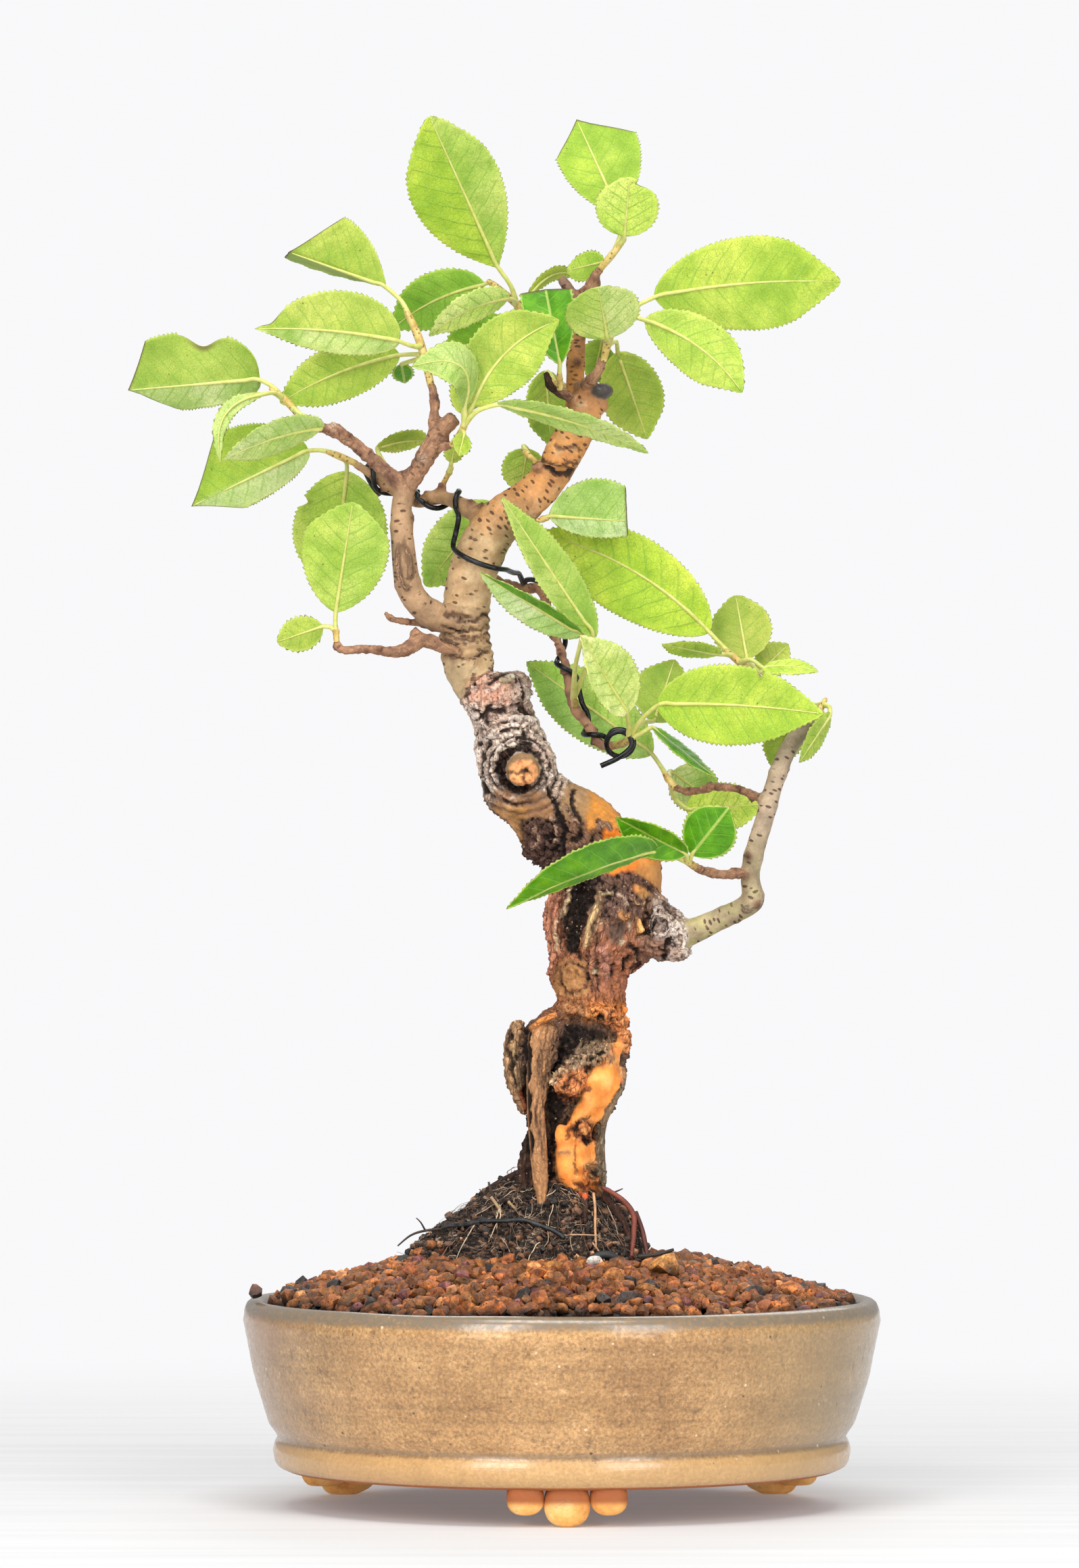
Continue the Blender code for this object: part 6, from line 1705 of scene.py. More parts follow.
# Splinters and rolled edges: label and rows of x, y, z and radius
WOOD_DETAILS = (
    ("splinter", ((11.0, -13.0, 164.6, 0.5), (9.4, -13.8, 160.0, 0.9), (7.6, -13.6, 154.5, 1.15),
                  (6.0, -12.6, 148.0, 0.7))),
    ("splinter", ((-12.8, -7.2, 121.5, 0.35), (-12.3, -7.6, 116.5, 0.6), (-11.4, -7.2, 110.5, 0.35))),
    ("spike_edge", ((-8.9, -10.6, 126.6, 0.7), (-5.4, -12.2, 129.2, 0.9), (-1.2, -11.8, 130.9, 0.9))),
    ("roll", ((-1.2, -7.8, 166.0, 0.7), (-3.3, -8.2, 160.5, 1.0), (-3.9, -8.0, 155.0, 1.1),
              (-2.9, -8.4, 149.5, 0.9), (-2.4, -8.2, 145.0, 1.1), (-3.4, -7.0, 141.4, 0.8))),
    ("roll", ((0.4, -9.4, 165.0, 0.5), (-1.6, -9.8, 158.5, 0.7), (-1.6, -9.6, 152.0, 0.6),
              (-0.4, -9.6, 146.0, 0.6))),
    ("strip", ((3.6, -10.6, 99.0, 2.4), (1.2, -10.8, 95.0, 2.7), (1.4, -10.4, 89.0, 2.6),
               (3.0, -9.6, 84.6, 1.6))),
    ("strip", ((7.6, -9.8, 97.0, 2.4), (8.2, -9.4, 92.0, 2.4), (8.4, -8.8, 86.0, 1.8))),
    ("strip", ((10.2, -12.6, 117.6, 1.8), (9.0, -13.2, 113.0, 2.6), (7.2, -12.8, 107.0, 2.4),
               (5.2, -11.6, 101.5, 2.0))),
    ("strip", ((15.2, -9.6, 117.0, 1.8), (14.6, -10.0, 112.6, 2.4), (12.0, -10.8, 107.6, 2.4),
               (9.6, -10.8, 102.0, 2.2))),
    ("strip", ((0.2, -11.0, 101.6, 1.3), (-0.4, -11.4, 99.0, 1.6), (0.2, -11.2, 96.6, 1.6))),
    ("stem", ((-7.4, -2.6, 100.0, 1.6), (-8.4, -3, 93.0, 2.6), (-8.8, -3.4, 86.0, 3.2),
              (-9.0, -3.6, 80.0, 3.0))),
    ("spike", ((-2.4, -10.6, 127.2, 2.0), (-3.4, -12.2, 121.5, 2.3), (-4.8, -12.8, 114.5, 1.8),
               (-5.8, -13.0, 107.0, 1.4))),
    ("strip_edge", ((16.2, -9.0, 113.0, 0.8), (12.4, -10.4, 106.0, 0.9), (10.8, -9.8, 99.0, 0.9),
                    (10.9, -9.2, 92.0, 0.9), (11.4, -8.0, 85.5, 0.8))),
    ("root_thread", ((-2.8, -12.4, 93.6, 0.2), (-0.4, -13.6, 94.4, 0.2), (1.8, -13.6, 94.4, 0.18))),
    ("pale_curl", ((1.2, -9.2, 187.2, 0.3), (1.9, -9.8, 185.0, 0.4), (3.0, -9.9, 183.2, 0.3))),
    ("pale_curl", ((-0.2, -9.6, 178.4, 0.3), (0.5, -10.4, 176.0, 0.35), (-0.2, -10.8, 173.6, 0.3))),
    ("pale_curl", ((2.2, -10.2, 177.4, 0.3), (3.6, -10.6, 178.0, 0.35), (4.1, -10.8, 176.4, 0.3))),
    ("pale_curl", ((7.0, -9.8, 180.6, 0.4), (8.8, -10.2, 179.5, 0.55), (10.2, -10.0, 180.6, 0.5),
                   (9.7, -9.6, 182.2, 0.35))),
    ("pale_curl", ((11.6, -9.4, 181.2, 0.35), (12.8, -9.4, 180.2, 0.4))),
    ("burl_ring", ((20.2, -11.6, 156.4, 0.6), (20.6, -12.0, 154.4, 0.9), (21.1, -12.0, 152.4, 1.4))),
    ("bark_edge", ((12.6, -11.8, 166.4, 0.8), (16.6, -12.0, 166.9, 1.0), (20.6, -10.6, 166.2, 0.9),
                   (25.2, -7.6, 162.8, 0.8))),
    ("scar_lip", ((-42.9, -15.6, 255.0, 0.5), (-43.6, -15.8, 250.5, 0.6), (-42.6, -15.8, 245.5, 0.6),
                  (-40.6, -15.2, 243.4, 0.5))),
    ("scar_lip", ((-41.8, -15.8, 255.0, 0.5), (-40.2, -15.4, 251.5, 0.6), (-39.9, -15.2, 246.5, 0.5))),
)
# Healed cuts, as rings that face the viewer: label, centre, reach, bead and height over width
SCARS = (
    ("ring_knot", (5.6, -13.4, 99.6), 2.2, 0.55, 0.85),
    ("dark_scar", (8.3, -11.8, 89.2), 1.5, 0.5, 0.8),
    ("burl_hole", (25.9, -11.4, 154.6), 2.5, 0.8, 1.1),
    ("burl_hole", (30.9, -10.2, 151.0), 1.6, 0.7, 1.5),
    ("node_ring", (51.2, -10.4, 160.4), 1.6, 0.7, 1.0),
)
# Small lumps: label, centre and half sizes
BUMPS = (
    ("burl", (25.4, -6.8, 160.6), (3.2, 3.4, 2.2)), ("burl", (31.2, -5.6, 155.2), (2.0, 3.0, 2.2)),
    ("burl", (31.6, -6.8, 147.0), (2.8, 3.4, 2.0)), ("stem", (24.0, -8.4, 149.4), (3.4, 3.0, 3.0)),
    ("burl_hole", (25.8, -10.8, 158.6), (1.9, 1.4, 1.5)), ("burl", (30.2, -8.6, 146.4), (2.6, 2.4, 1.8)),
    ("stem", (14.6, -11.4, 158.0), (4.4, 3.0, 3.4)), ("stem", (11.2, -11.6, 151.6), (3.0, 2.4, 3.4)),
    ("stem", (17.8, -10.4, 162.6), (4.0, 2.6, 2.6)), ("stem", (18.6, -8.8, 149.6), (2.6, 2.6, 3.2)),
    ("crumble", (8.0, -10.6, 131.2), (3.2, 2.6, 1.7)), ("crumble", (12.0, -10.4, 130.6), (3.4, 2.6, 2.2)),
    ("crumble", (15.0, -8.2, 128.6), (2.6, 2.6, 2.6)), ("crumble", (2.8, -9.8, 131.8), (2.6, 2.2, 1.3)),
    ("crumble", (16.4, -8.4, 123.6), (2.2, 2.6, 3.2)),
    ("knot_cap", (3.4, -14.8, 117.9), (3.0, 1.8, 1.5)), ("knot_cap", (7.2, -14.4, 119.6), (3.6, 2.0, 2.1)),
    ("knot_cap", (11.4, -12.8, 121.0), (3.6, 2.0, 2.2)), ("knot_cap", (14.2, -10.4, 121.6), (2.0, 2.2, 1.8)),
    ("knot_cap", (0.4, -14.4, 115.8), (2.0, 1.6, 1.2)), ("knot_cap", (-1.6, -13.8, 113.0), (1.3, 1.4, 1.8)),
    ("knot", (0.8, -15.2, 112.0), (2.4, 1.9, 2.4)), ("knot", (4.9, -15.4, 114.2), (1.9, 1.6, 2.4)),
    ("knot", (-0.6, -14.6, 111.0), (1.5, 1.5, 1.5)), ("knot", (3.6, -15.0, 110.4), (2.4, 1.6, 1.3)),
    ("dark_scar", (8.3, -10.9, 89.2), (2.3, 1.2, 1.9)),
    ("flake", (-16.4, -5.2, 219.4), (7.0, 5.0, 2.6)), ("flake", (-21.6, -5.0, 213.0), (3.4, 4.2, 4.6)),
    ("flake", (-11.6, -4.8, 216.4), (3.4, 4.8, 3.6)), ("flake", (-11.2, -5.4, 207.6), (5.4, 4.6, 3.6)),
    ("flake", (-18.4, -5.8, 206.2), (3.8, 4.4, 3.8)),
    ("cap", (10.9, -1.4, 296.6), (3.0, 3.6, 2.1)), ("bud", (-3.6, -2.0, 274.6), (2.1, 2.2, 2.8)),
    ("ring_scar", (-1.4, -2.4, 276.6), (5.6, 4.0, 1.2)), ("stem", (-12.6, -4.6, 187.0), (4.2, 5.6, 4.0)),
    ("stub_face", (-10.2, -12.5, 194.9), (4.2, 0.8, 3.5)),
    ("cut_face", (-60.3, -18.7, 286.9), (1.0, 0.8, 1.0)), ("cut_face", (-36.8, -17.2, 278.0), (1.0, 0.9, 1.1)),
    ("node", (52.0, -10.6, 162.4), (2.0, 1.8, 1.6)), ("node", (49.2, -12.2, 158.8), (1.4, 1.2, 1.2)),
)
# Hollows that are dug last, with a round tool: centre and reach
PITS = (
    ((25.9, -12.8, 154.6), 2.0), ((30.9, -11.6, 151.0), 1.2),
    ((8.9, -12.6, 88.8), 0.7), ((7.3, -14.2, 98.6), 0.7), ((16.8, -10.6, 143.6), 1.0),
    ((16.9, -9.6, 139.4), 1.1), ((-12.6, -8.6, 124.6), 0.9), ((-13.2, -7.8, 117.6), 0.8),
    ((-12.0, -8.2, 119.6), 0.7), ((10.2, -12.6, 130.0), 0.9), ((-41.4, -17.0, 249.4), 0.9), ((-41.6, -17.0, 246.6), 0.8),
)
# Strokes over the front, as a gouge or a filling would make them: half width, how far the wood is
# raised, tint and places across and up
STROKES = (
    (0.5, -1.1, (0.04, 0.022, 0.016), ((-3.4, 191.0), (-1.8, 188.0), (-0.6, 184.0), (1.0, 180.0),
                                       (0.6, 176.0), (-0.4, 172.0))),
    (0.3, 0.5, (0.55, 0.36, 0.24), ((-2.4, 182.6), (-1.4, 179.4), (-1.8, 176.4))),
    (0.25, 0.5, (0.50, 0.30, 0.20), ((-6.6, 181.0), (-5.8, 178.6), (-6.4, 176.6), (-7.4, 175.4))),
    (0.25, 0.4, (0.50, 0.30, 0.20), ((2.2, 184.4), (3.4, 182.0), (5.2, 181.4))),
    (0.3, 0.4, (0.60, 0.42, 0.30), ((12.2, 163.4), (15.4, 162.0), (16.6, 160.0))),
    (0.25, 0.4, (0.62, 0.36, 0.20), ((18.0, 161.4), (20.6, 160.4), (23.0, 161.0))),
    (0.25, 0.4, (0.62, 0.36, 0.20), ((9.6, 158.0), (10.4, 155.4), (9.8, 153.0))),
    (0.3, -0.7, (0.05, 0.026, 0.02), ((17.6, 148.6), (20.4, 147.2), (20.8, 144.4), (18.9, 142.6))),
    (0.5, -0.9, DARK_BARK, ((3.2, 190.0), (3.6, 186.0), (5.2, 182.0), (5.4, 178.0))),
    (0.3, -0.5, SOFT_BARK, ((9.4, 156.0), (9.2, 150.0), (9.6, 142.0), (10.4, 137.0))),
    (0.35, -0.7, DARK_BARK, ((13.4, 144.6), (13.0, 142.6), (13.1, 140.6))),
    (0.4, -0.8, DARK_BARK, ((18.2, 146.0), (16.6, 144.8), (16.1, 142.2))),
    (0.3, -0.4, SOFT_BARK, ((7.0, 147.0), (7.2, 142.0), (7.8, 137.0))),
    (0.4, 0.4, (0.80, 0.66, 0.42), ((15.6, 149.7), (15.9, 149.3))),
    (0.35, 0.3, (0.64, 0.44, 0.26), ((2.0, 164.8), (0.9, 158.8), (-2.0, 154.4), (-1.4, 148.4))),
    (0.2, -0.3, SOFT_BARK, ((-30.0, 233.4), (-24.5, 231.2), (-19.4, 232.3))),
    (0.2, -0.3, SOFT_BARK, ((-29.7, 236.3), (-24.5, 234.9), (-19.4, 236.7))),
    (0.2, -0.3, SOFT_BARK, ((-31.5, 230.1), (-26.7, 229.0), (-19.4, 229.7))),
    (0.2, -0.3, SOFT_BARK, ((-31.5, 226.4), (-24.5, 225.7), (-18.7, 227.2))),
    (0.3, 0.4, (0.80, 0.66, 0.42), ((9.3, 142.4), (9.5, 141.7))),
    (0.35, 0.4, (0.78, 0.62, 0.46), ((18.0, 154.9), (18.0, 153.8))),
    (0.6, 0.5, (0.82, 0.38, 0.14), ((15.6, 157.7), (17.0, 156.7), (18.2, 157.0))),
    (0.35, 0.5, (0.55, 0.42, 0.22), ((9.6, 163.4), (11.0, 162.2), (12.6, 162.4))),
    (0.5, 0.5, (0.82, 0.70, 0.60), ((28.9, 151.6), (29.9, 154.8), (31.9, 154.6), (32.9, 151.6), (32.9, 147.8))),
    (0.4, 0.4, (0.80, 0.68, 0.58), ((28.4, 144.9), (30.4, 144.6), (32.6, 145.0))),
    (0.4, -0.9, DARK_BARK, ((28.0, 150.4), (27.6, 147.4), (28.2, 144.8))),
    (0.35, -0.7, DARK_BARK, ((23.0, 157.4), (24.0, 153.6), (23.4, 151.4))),
    (0.9, 0.4, (0.54, 0.25, 0.17), ((11.0, 149.0), (11.3, 144.5), (12.0, 140.0))),
    (0.5, 0.4, (0.50, 0.22, 0.13), ((8.2, 148.0), (8.0, 143.5), (8.6, 139.0))),
    (0.35, -0.4, BROWN_BARK, ((0.5, 143.0), (3.0, 144.6), (5.8, 143.4), (6.6, 140.4), (5.2, 137.4),
                              (2.2, 136.6), (0.2, 138.8), (0.0, 141.6))),
    (0.55, 0.4, (0.60, 0.11, 0.03), ((2.6, 84.2), (5.2, 83.2), (8.2, 83.2))),
    (0.4, -0.5, (0.30, 0.08, 0.03), ((3.0, 86.2), (5.6, 85.2), (7.4, 85.8))),
    (1.2, 0.0, (0.25, 0.20, 0.13), ((17.6, 112.8), (15.8, 108.8), (12.9, 105.0), (11.1, 101.0),
                                    (10.9, 96.0), (11.1, 90.0), (11.3, 86.0))),
    (0.3, -0.4, (0.20, 0.13, 0.08), ((16.2, 112.6), (14.2, 108.8), (11.4, 105.4), (9.7, 101.0),
                                     (9.4, 96.0), (9.6, 91.6))),
    (0.35, -0.5, (0.34, 0.11, 0.045), ((3.0, 100.4), (3.6, 98.0), (5.6, 96.9), (7.8, 97.8), (8.4, 99.8),
                                       (7.0, 101.6), (4.8, 101.9), (3.2, 100.8))),
    (0.35, 0.3, (0.78, 0.50, 0.28), ((-2.6, 111.6), (-1.4, 115.2), (1.4, 117.0), (4.6, 117.2))),
    (0.3, -0.5, (0.44, 0.14, 0.06), ((-0.4, 111.4), (1.4, 113.0), (2.8, 115.2), (4.6, 112.6))),
    (0.3, -0.5, (0.36, 0.12, 0.05), ((-1.6, 109.8), (1.6, 108.7), (4.8, 109.2), (7.2, 111.4))),
    (0.3, -0.4, (0.30, 0.09, 0.03), ((3.4, 101.6), (4.4, 98.4), (6.2, 96.8), (8.4, 98.0), (8.8, 101.0))),
    (0.3, -0.4, (0.34, 0.12, 0.04), ((1.4, 98.6), (2.4, 101.0), (4.6, 102.6), (7.4, 102.8))),
    (0.3, -0.35, (0.42, 0.15, 0.05), ((4.0, 95.6), (3.0, 91.6), (4.6, 88.4))),
    (0.25, -0.35, (0.26, 0.14, 0.08), ((-5.4, 124.0), (-5.8, 116.0), (-6.4, 106.0), (-6.2, 96.0))),
    (0.25, -0.3, (0.28, 0.15, 0.08), ((-3.6, 122.0), (-4.2, 113.0), (-5.0, 103.0), (-5.0, 92.0))),
    (0.6, -1.0, BLACK_ROT, ((-9.6, 128.0), (-9.2, 120.0), (-9.4, 112.0), (-9.0, 104.0), (-8.4, 94.0))),
    (0.5, 0.3, (0.45, 0.12, 0.05), ((-10.4, 110.0), (-10.2, 106.0), (-9.4, 101.0))),
    (0.4, -0.6, DARK_BARK, ((-13.6, 127.0), (-14.4, 122.0), (-13.6, 116.0), (-12.0, 111.0))),
    (0.35, -0.4, (0.30, 0.14, 0.09), ((-26.0, 215.0), (-23.0, 218.0), (-20.0, 221.0), (-17.0, 223.6))),
    (0.3, -0.5, (0.12, 0.07, 0.05), ((-16.8, 219.4), (-16.2, 221.4), (-14.2, 222.4), (-12.2, 221.4),
                                     (-11.9, 219.4))),
    (0.3, -0.6, DARK_BARK, ((-17.2, 220.4), (-18.6, 218.0))),
    (0.3, -0.5, (0.16, 0.09, 0.06), ((-10.4, 219.6), (-10.0, 215.6), (-11.0, 212.0))),
    (0.35, -0.5, (0.22, 0.11, 0.08), ((-23.2, 212.0), (-20.6, 209.6), (-19.0, 212.4), (-19.6, 208.0))),
    (0.35, -0.5, (0.26, 0.15, 0.11), ((-18.4, 211.0), (-13.0, 212.2), (-8.6, 211.0))),
    (0.35, -0.8, BLACK_ROT, ((-24.0, 198.6), (-21.6, 193.6), (-20.6, 189.4))),
    (0.3, -0.5, DARK_BARK, ((-10.4, 205.6), (-10.6, 203.2), (-8.8, 202.2))),
    (0.35, -0.5, (0.25, 0.12, 0.05), ((-13.4, 195.0), (-11.6, 194.4), (-9.8, 195.2), (-7.6, 194.6))),
    (0.3, -0.5, (0.30, 0.13, 0.05), ((-9.8, 195.0), (-10.6, 193.0), (-9.6, 191.6))),
    (0.4, -0.5, (0.16, 0.08, 0.04), ((-15.6, 187.6), (-12.0, 186.4), (-8.4, 187.8))),
    (0.6, -0.7, DARK_BARK, ((-4.6, 276.4), (-1.8, 274.4), (1.4, 273.8), (4.4, 275.0))),
    (0.5, -0.5, (0.20, 0.09, 0.04), ((-5.6, 279.2), (-2.6, 277.2), (1.2, 276.4), (4.8, 277.6))),
    (0.4, -0.4, (0.20, 0.10, 0.05), ((-2.6, 282.4), (0.6, 281.0), (4.4, 281.6))),
    (0.35, -0.35, (0.20, 0.11, 0.06), ((-31.2, 231.4), (-27.6, 230.2), (-22.4, 230.6), (-19.4, 231.4))),
    (0.35, -0.35, (0.20, 0.11, 0.06), ((-31.6, 234.0), (-27.4, 232.8), (-22.6, 233.4), (-19.4, 234.0))),
    (0.35, -0.35, (0.20, 0.11, 0.06), ((-30.4, 237.0), (-26.0, 236.2), (-21.6, 236.6), (-19.0, 237.4))),
)
# Patches of the front, each a box with an uneven edge: left, right, foot and top, how much of the
# tint it takes, how blotchy and how rough it is, whether it covers the deadwood too, and the tint
PATCHES = (
    (6.5, 17.0, 128.6, 134.0, 1.0, 0.4, 1.0, 0, (0.74, 0.25, 0.06)),
    (0.5, 7.0, 129.6, 134.2, 0.8, 0.5, 0.6, 0, (0.44, 0.22, 0.09)),
    (14.0, 20.5, 122.3, 129.6, 1.0, 0.2, 0.2, 0, (0.82, 0.33, 0.13)),
    (15.6, 21.0, 109.0, 122.0, 0.95, 0.2, 0.5, 1, (0.21, 0.13, 0.09)),
    (5.8, 11.0, 85.6, 91.8, 0.95, 0.3, 0.9, 1, (0.27, 0.15, 0.075)),
    (2.0, 14.2, 117.6, 124.6, 0.9, 0.3, 1.0, 1, (0.33, 0.22, 0.13)),
    (2.8, 8.6, 96.4, 102.4, 0.75, 0.3, 0.7, 1, (0.66, 0.25, 0.10)),
    (4.4, 8.0, 79.0, 84.2, 0.95, 0.0, 0.6, 1, (0.09, 0.05, 0.035)),
    (-2.0, 7.0, 135.4, 145.4, 0.9, 0.2, 0.3, 0, (0.48, 0.24, 0.09)),
    (7.0, 18.0, 136.0, 152.0, 0.6, 0.9, 0.4, 0, (0.46, 0.185, 0.10)),
    (12.4, 16.2, 149.6, 156.2, 0.8, 0.4, 0.4, 0, (0.075, 0.06, 0.05)),
    (19.6, 27.4, 143.6, 152.6, 0.9, 0.3, 0.5, 0, (0.30, 0.165, 0.11)),
    (9.0, 22.0, 156.0, 166.0, 0.8, 0.5, 0.8, 0, (0.15, 0.085, 0.065)),
    (-17.5, -2.2, 181.0, 190.4, 1.0, 0.2, 0.1, 0, (0.31, 0.155, 0.065)),
    (-18.0, -9.0, 176.0, 186.0, 0.9, 0.4, 0.1, 0, (0.50, 0.25, 0.08)),
    (-10.8, 1.2, 170.0, 182.6, 1.0, 0.2, 1.0, 0, (0.105, 0.055, 0.042)),
    (0.4, 14.5, 175.0, 181.6, 0.9, 0.4, 0.8, 0, (0.20, 0.105, 0.06)),
    (0.0, 9.0, 182.0, 192.0, 0.9, 0.2, 0.1, 0, (0.36, 0.20, 0.08)),
    (7.0, 20.0, 180.0, 192.0, 0.95, 0.2, 0.05, 0, (0.66, 0.26, 0.04)),
    (11.0, 28.0, 168.2, 180.0, 1.0, 0.1, 0.0, 0, (0.72, 0.185, 0.012)),
    (19.0, 28.0, 163.0, 170.0, 1.0, 0.2, 0.1, 0, (0.50, 0.19, 0.05)),
    (20.0, 28.0, 162.0, 174.0, 0.6, 0.4, 0.0, 0, (0.50, 0.28, 0.09)),
    (-25.0, -13.6, 212.5, 220.6, 0.9, 0.6, 0.2, 0, (0.70, 0.34, 0.22)),
    (-16.0, -12.4, 218.4, 221.8, 0.9, 0.2, 0.2, 0, (0.30, 0.27, 0.16)),
    (-14.0, -7.0, 209.0, 222.0, 0.5, 0.7, 0.5, 0, (0.24, 0.15, 0.11)),
)
# Tints of the stem by height
STEM_TINTS = (
    (60, DARK_BARK), (96, DARK_BARK), (104, (0.13, 0.075, 0.045)), (128, (0.15, 0.08, 0.05)),
    (134, (0.42, 0.16, 0.068)), (150, (0.39, 0.155, 0.08)), (158, (0.24, 0.13, 0.08)),
    (170, (0.15, 0.08, 0.06)), (182, (0.18, 0.09, 0.06)), (187, (0.30, 0.20, 0.14)),
    (193, (0.76, 0.58, 0.46)), (204, (0.88, 0.70, 0.56)), (214, (0.76, 0.54, 0.42)),
    (221.5, (0.46, 0.31, 0.23)), (224.5, (0.42, 0.27, 0.14)), (240, (0.47, 0.31, 0.165)),
    (256, (0.56, 0.37, 0.19)), (264, (0.60, 0.31, 0.13)), (276, (0.60, 0.26, 0.075)),
    (286, (0.50, 0.235, 0.075)), (296, (0.40, 0.18, 0.075)),
)
# Deadwood and small parts that are set on once the hollows are dug
LATE_PARTS = ("strip", "strip_edge", "knot", "knot_cap", "ring_knot", "dark_scar", "crumble",
              "splinter", "spike", "spike_edge", "horn", "roll", "root_thread", "pale_curl",
              "bark_edge", "scar_lip", "burl_hole", "burl_ring", "node_ring", "stub", "stub_face")

PART_TINTS = {
    "horn": (0.42, 0.24, 0.12), "spike": (0.50, 0.25, 0.11), "spike_edge": (0.72, 0.26, 0.07),
    "bark_roll": (0.30, 0.11, 0.055), "roll": (0.46, 0.19, 0.11), "strip": (0.95, 0.34, 0.065),
    "strip_edge": (0.24, 0.18, 0.10), "knot": (0.84, 0.30, 0.11), "knot_cap": (0.44, 0.28, 0.17),
    "ring_knot": (0.66, 0.19, 0.05), "dark_scar": (0.26, 0.12, 0.05), "crumble": (0.80, 0.30, 0.11),
    "splinter": (0.70, 0.46, 0.22), "root_thread": (0.4, 0.28, 0.18), "pale_curl": (0.60, 0.42, 0.30),
    "bark_edge": (0.16, 0.07, 0.045), "upper_bump": (0.44, 0.26, 0.10),
    "lower_bump": (0.56, 0.27, 0.07), "burl": (0.50, 0.37, 0.29), "burl_hole": (0.64, 0.51, 0.42),
    "burl_ring": (0.90, 0.44, 0.15), "collar": (0.68, 0.54, 0.43), "cut_face": (0.74, 0.55, 0.40), "stub": (0.26, 0.155, 0.075),
    "stub_face": (0.70, 0.28, 0.08), "flake": (0.62, 0.50, 0.41), "cap": (0.15, 0.125, 0.115),
    "scar_lip": (0.34, 0.20, 0.12), "node": (0.30, 0.22, 0.15), "node_ring": (0.34, 0.26, 0.18),
    "ring_scar": (0.26, 0.13, 0.065), "bud": (0.13, 0.055, 0.035), "root": (0.06, 0.028, 0.02),
    "leader": (0.52, 0.23, 0.065), "right_limb": (0.42, 0.34, 0.20), "left_limb": (0.38, 0.235, 0.13),
    "wired_limb": (0.42, 0.25, 0.125), "dark_stub": (0.05, 0.03, 0.02),
}
SMOOTH_PARTS = ("strip", "upper_bump", "lower_bump", "cap", "right_limb", "left_limb", "leader",
                "wired_limb", "middle_twig", "stub")


def to_line(x, z, line):
    """Distance across the front from a row of places."""
    best = np.full(len(x), 1e9)
    for (ax, az), (bx, bz) in zip(line, line[1:]):
        run = (bx - ax) ** 2 + (bz - az) ** 2
        t = np.clip(((x - ax) * (bx - ax) + (z - az) * (bz - az)) / run, 0, 1)
        best = np.minimum(best, np.hypot(x - ax - t * (bx - ax), z - az - t * (bz - az)))
    return best


def bark_finish():
    """Bark and bare wood: the mesh carries the colour of each place, how smooth its bark is, how
    deep it lies, which is painted as shade, and the place it would have if its branch were
    straight."""
    paint = Paint("quince_bark", 0.8, Specular_IOR_Level=0.22)
    place = paint.where()
    straight = paint.held("straight", "Vector")
    even, deep, glossy = paint.held("even"), paint.held("deep"), paint.held("glossy")
    spotted = paint.held("spotted")
    fibre = paint.clouds(paint.scaled(straight, (1, 1, 0.14)), 1500, 5, 0.65)
    crumb = paint.clouds(place, 900, 6, 0.72)
    broad = paint.clouds(place, 160, 4, 0.6)
    coarse = paint.blend(0.5, fibre, crumb)
    tone = paint.ramp(coarse, (0.34, 0.16), (0.44, 0.6), (0.52, 1.05), (0.66, 2.1))
    soft = paint.ramp(paint.blend(0.4, broad, crumb), (0.36, 0.66), (0.5, 1.0), (0.64, 1.35))
    colour = paint.blend(1.0, paint.held("bark", "Color"), paint.blend(even, tone, soft), "MULTIPLY")
    cracks = paint.cells(paint.scaled(straight, (1, 1, 0.45)), 700, "DISTANCE_TO_EDGE")
    cracks = paint.sum("MULTIPLY", paint.band(cracks, 0.09, 0.0), paint.band(crumb, 0.42, 0.6))
    cracks = paint.sum("MULTIPLY", cracks, paint.band(even, 0.0, 1.0, 0.8, 0.12))
    colour = paint.blend(cracks, colour, (0.02, 0.010, 0.007))
    # Sparse pale specks on rough bark: painted highlights
    bits = paint.sum("MULTIPLY", paint.band(paint.cells(place, 620), 0.22, 0.12),
                     paint.band(broad, 0.5, 0.6, 0.0, 0.75))
    bits = paint.sum("MULTIPLY", bits, paint.band(even, 0.6, 0.2))
    colour = paint.blend(bits, colour, (0.72, 0.52, 0.36))
    pits = paint.sum("MULTIPLY", paint.band(paint.clouds(place, 1300, 3, 0.6), 0.54, 0.62),
                     paint.held("flaky"))
    colour = paint.blend(paint.sum("MULTIPLY", pits, 0.75), colour, (0.11, 0.05, 0.04))
    # Deep places are darkened towards black: painted shade
    colour = paint.blend(paint.band(deep, 0.45, 0.95, 0.0, 0.92), colour, (0.010, 0.006, 0.005))
    spots = paint.cells(paint.scaled(straight, (1, 1, 2.3)), 330)
    size = paint.clouds(straight, 170, 2)
    lenticel = paint.sum("MULTIPLY", paint.band(spots, 0.34, 0.22), paint.band(size, 0.42, 0.50))
    nodes = paint.cells(paint.scaled(straight, (0.02, 0.02, 1)), 230)
    nodes = paint.sum("MULTIPLY", paint.band(nodes, 0.055, 0.02), paint.band(crumb, 0.4, 0.52))
    lenticel = paint.sum("MULTIPLY", paint.sum("MAXIMUM", lenticel, nodes), spotted)
    colour = paint.blend(paint.sum("MULTIPLY", lenticel, 0.85), colour, (0.06, 0.025, 0.016))
    paint.set("Base Color", colour)
    paint.set("Roughness", paint.sum("SUBTRACT", paint.band(even, 0, 1, 0.88, 0.6),
                                     paint.sum("MULTIPLY", glossy, 0.4)))
    rough = paint.sum("MULTIPLY", paint.sum("SUBTRACT", coarse, paint.sum("MULTIPLY", cracks, 0.5)),
                      paint.band(even, 0, 1, 1.0, 0.12))
    height = paint.sum("SUBTRACT", rough, paint.sum("MULTIPLY", lenticel, 0.15))
    paint.relief(height, 0.9, 0.9)
    return paint.material


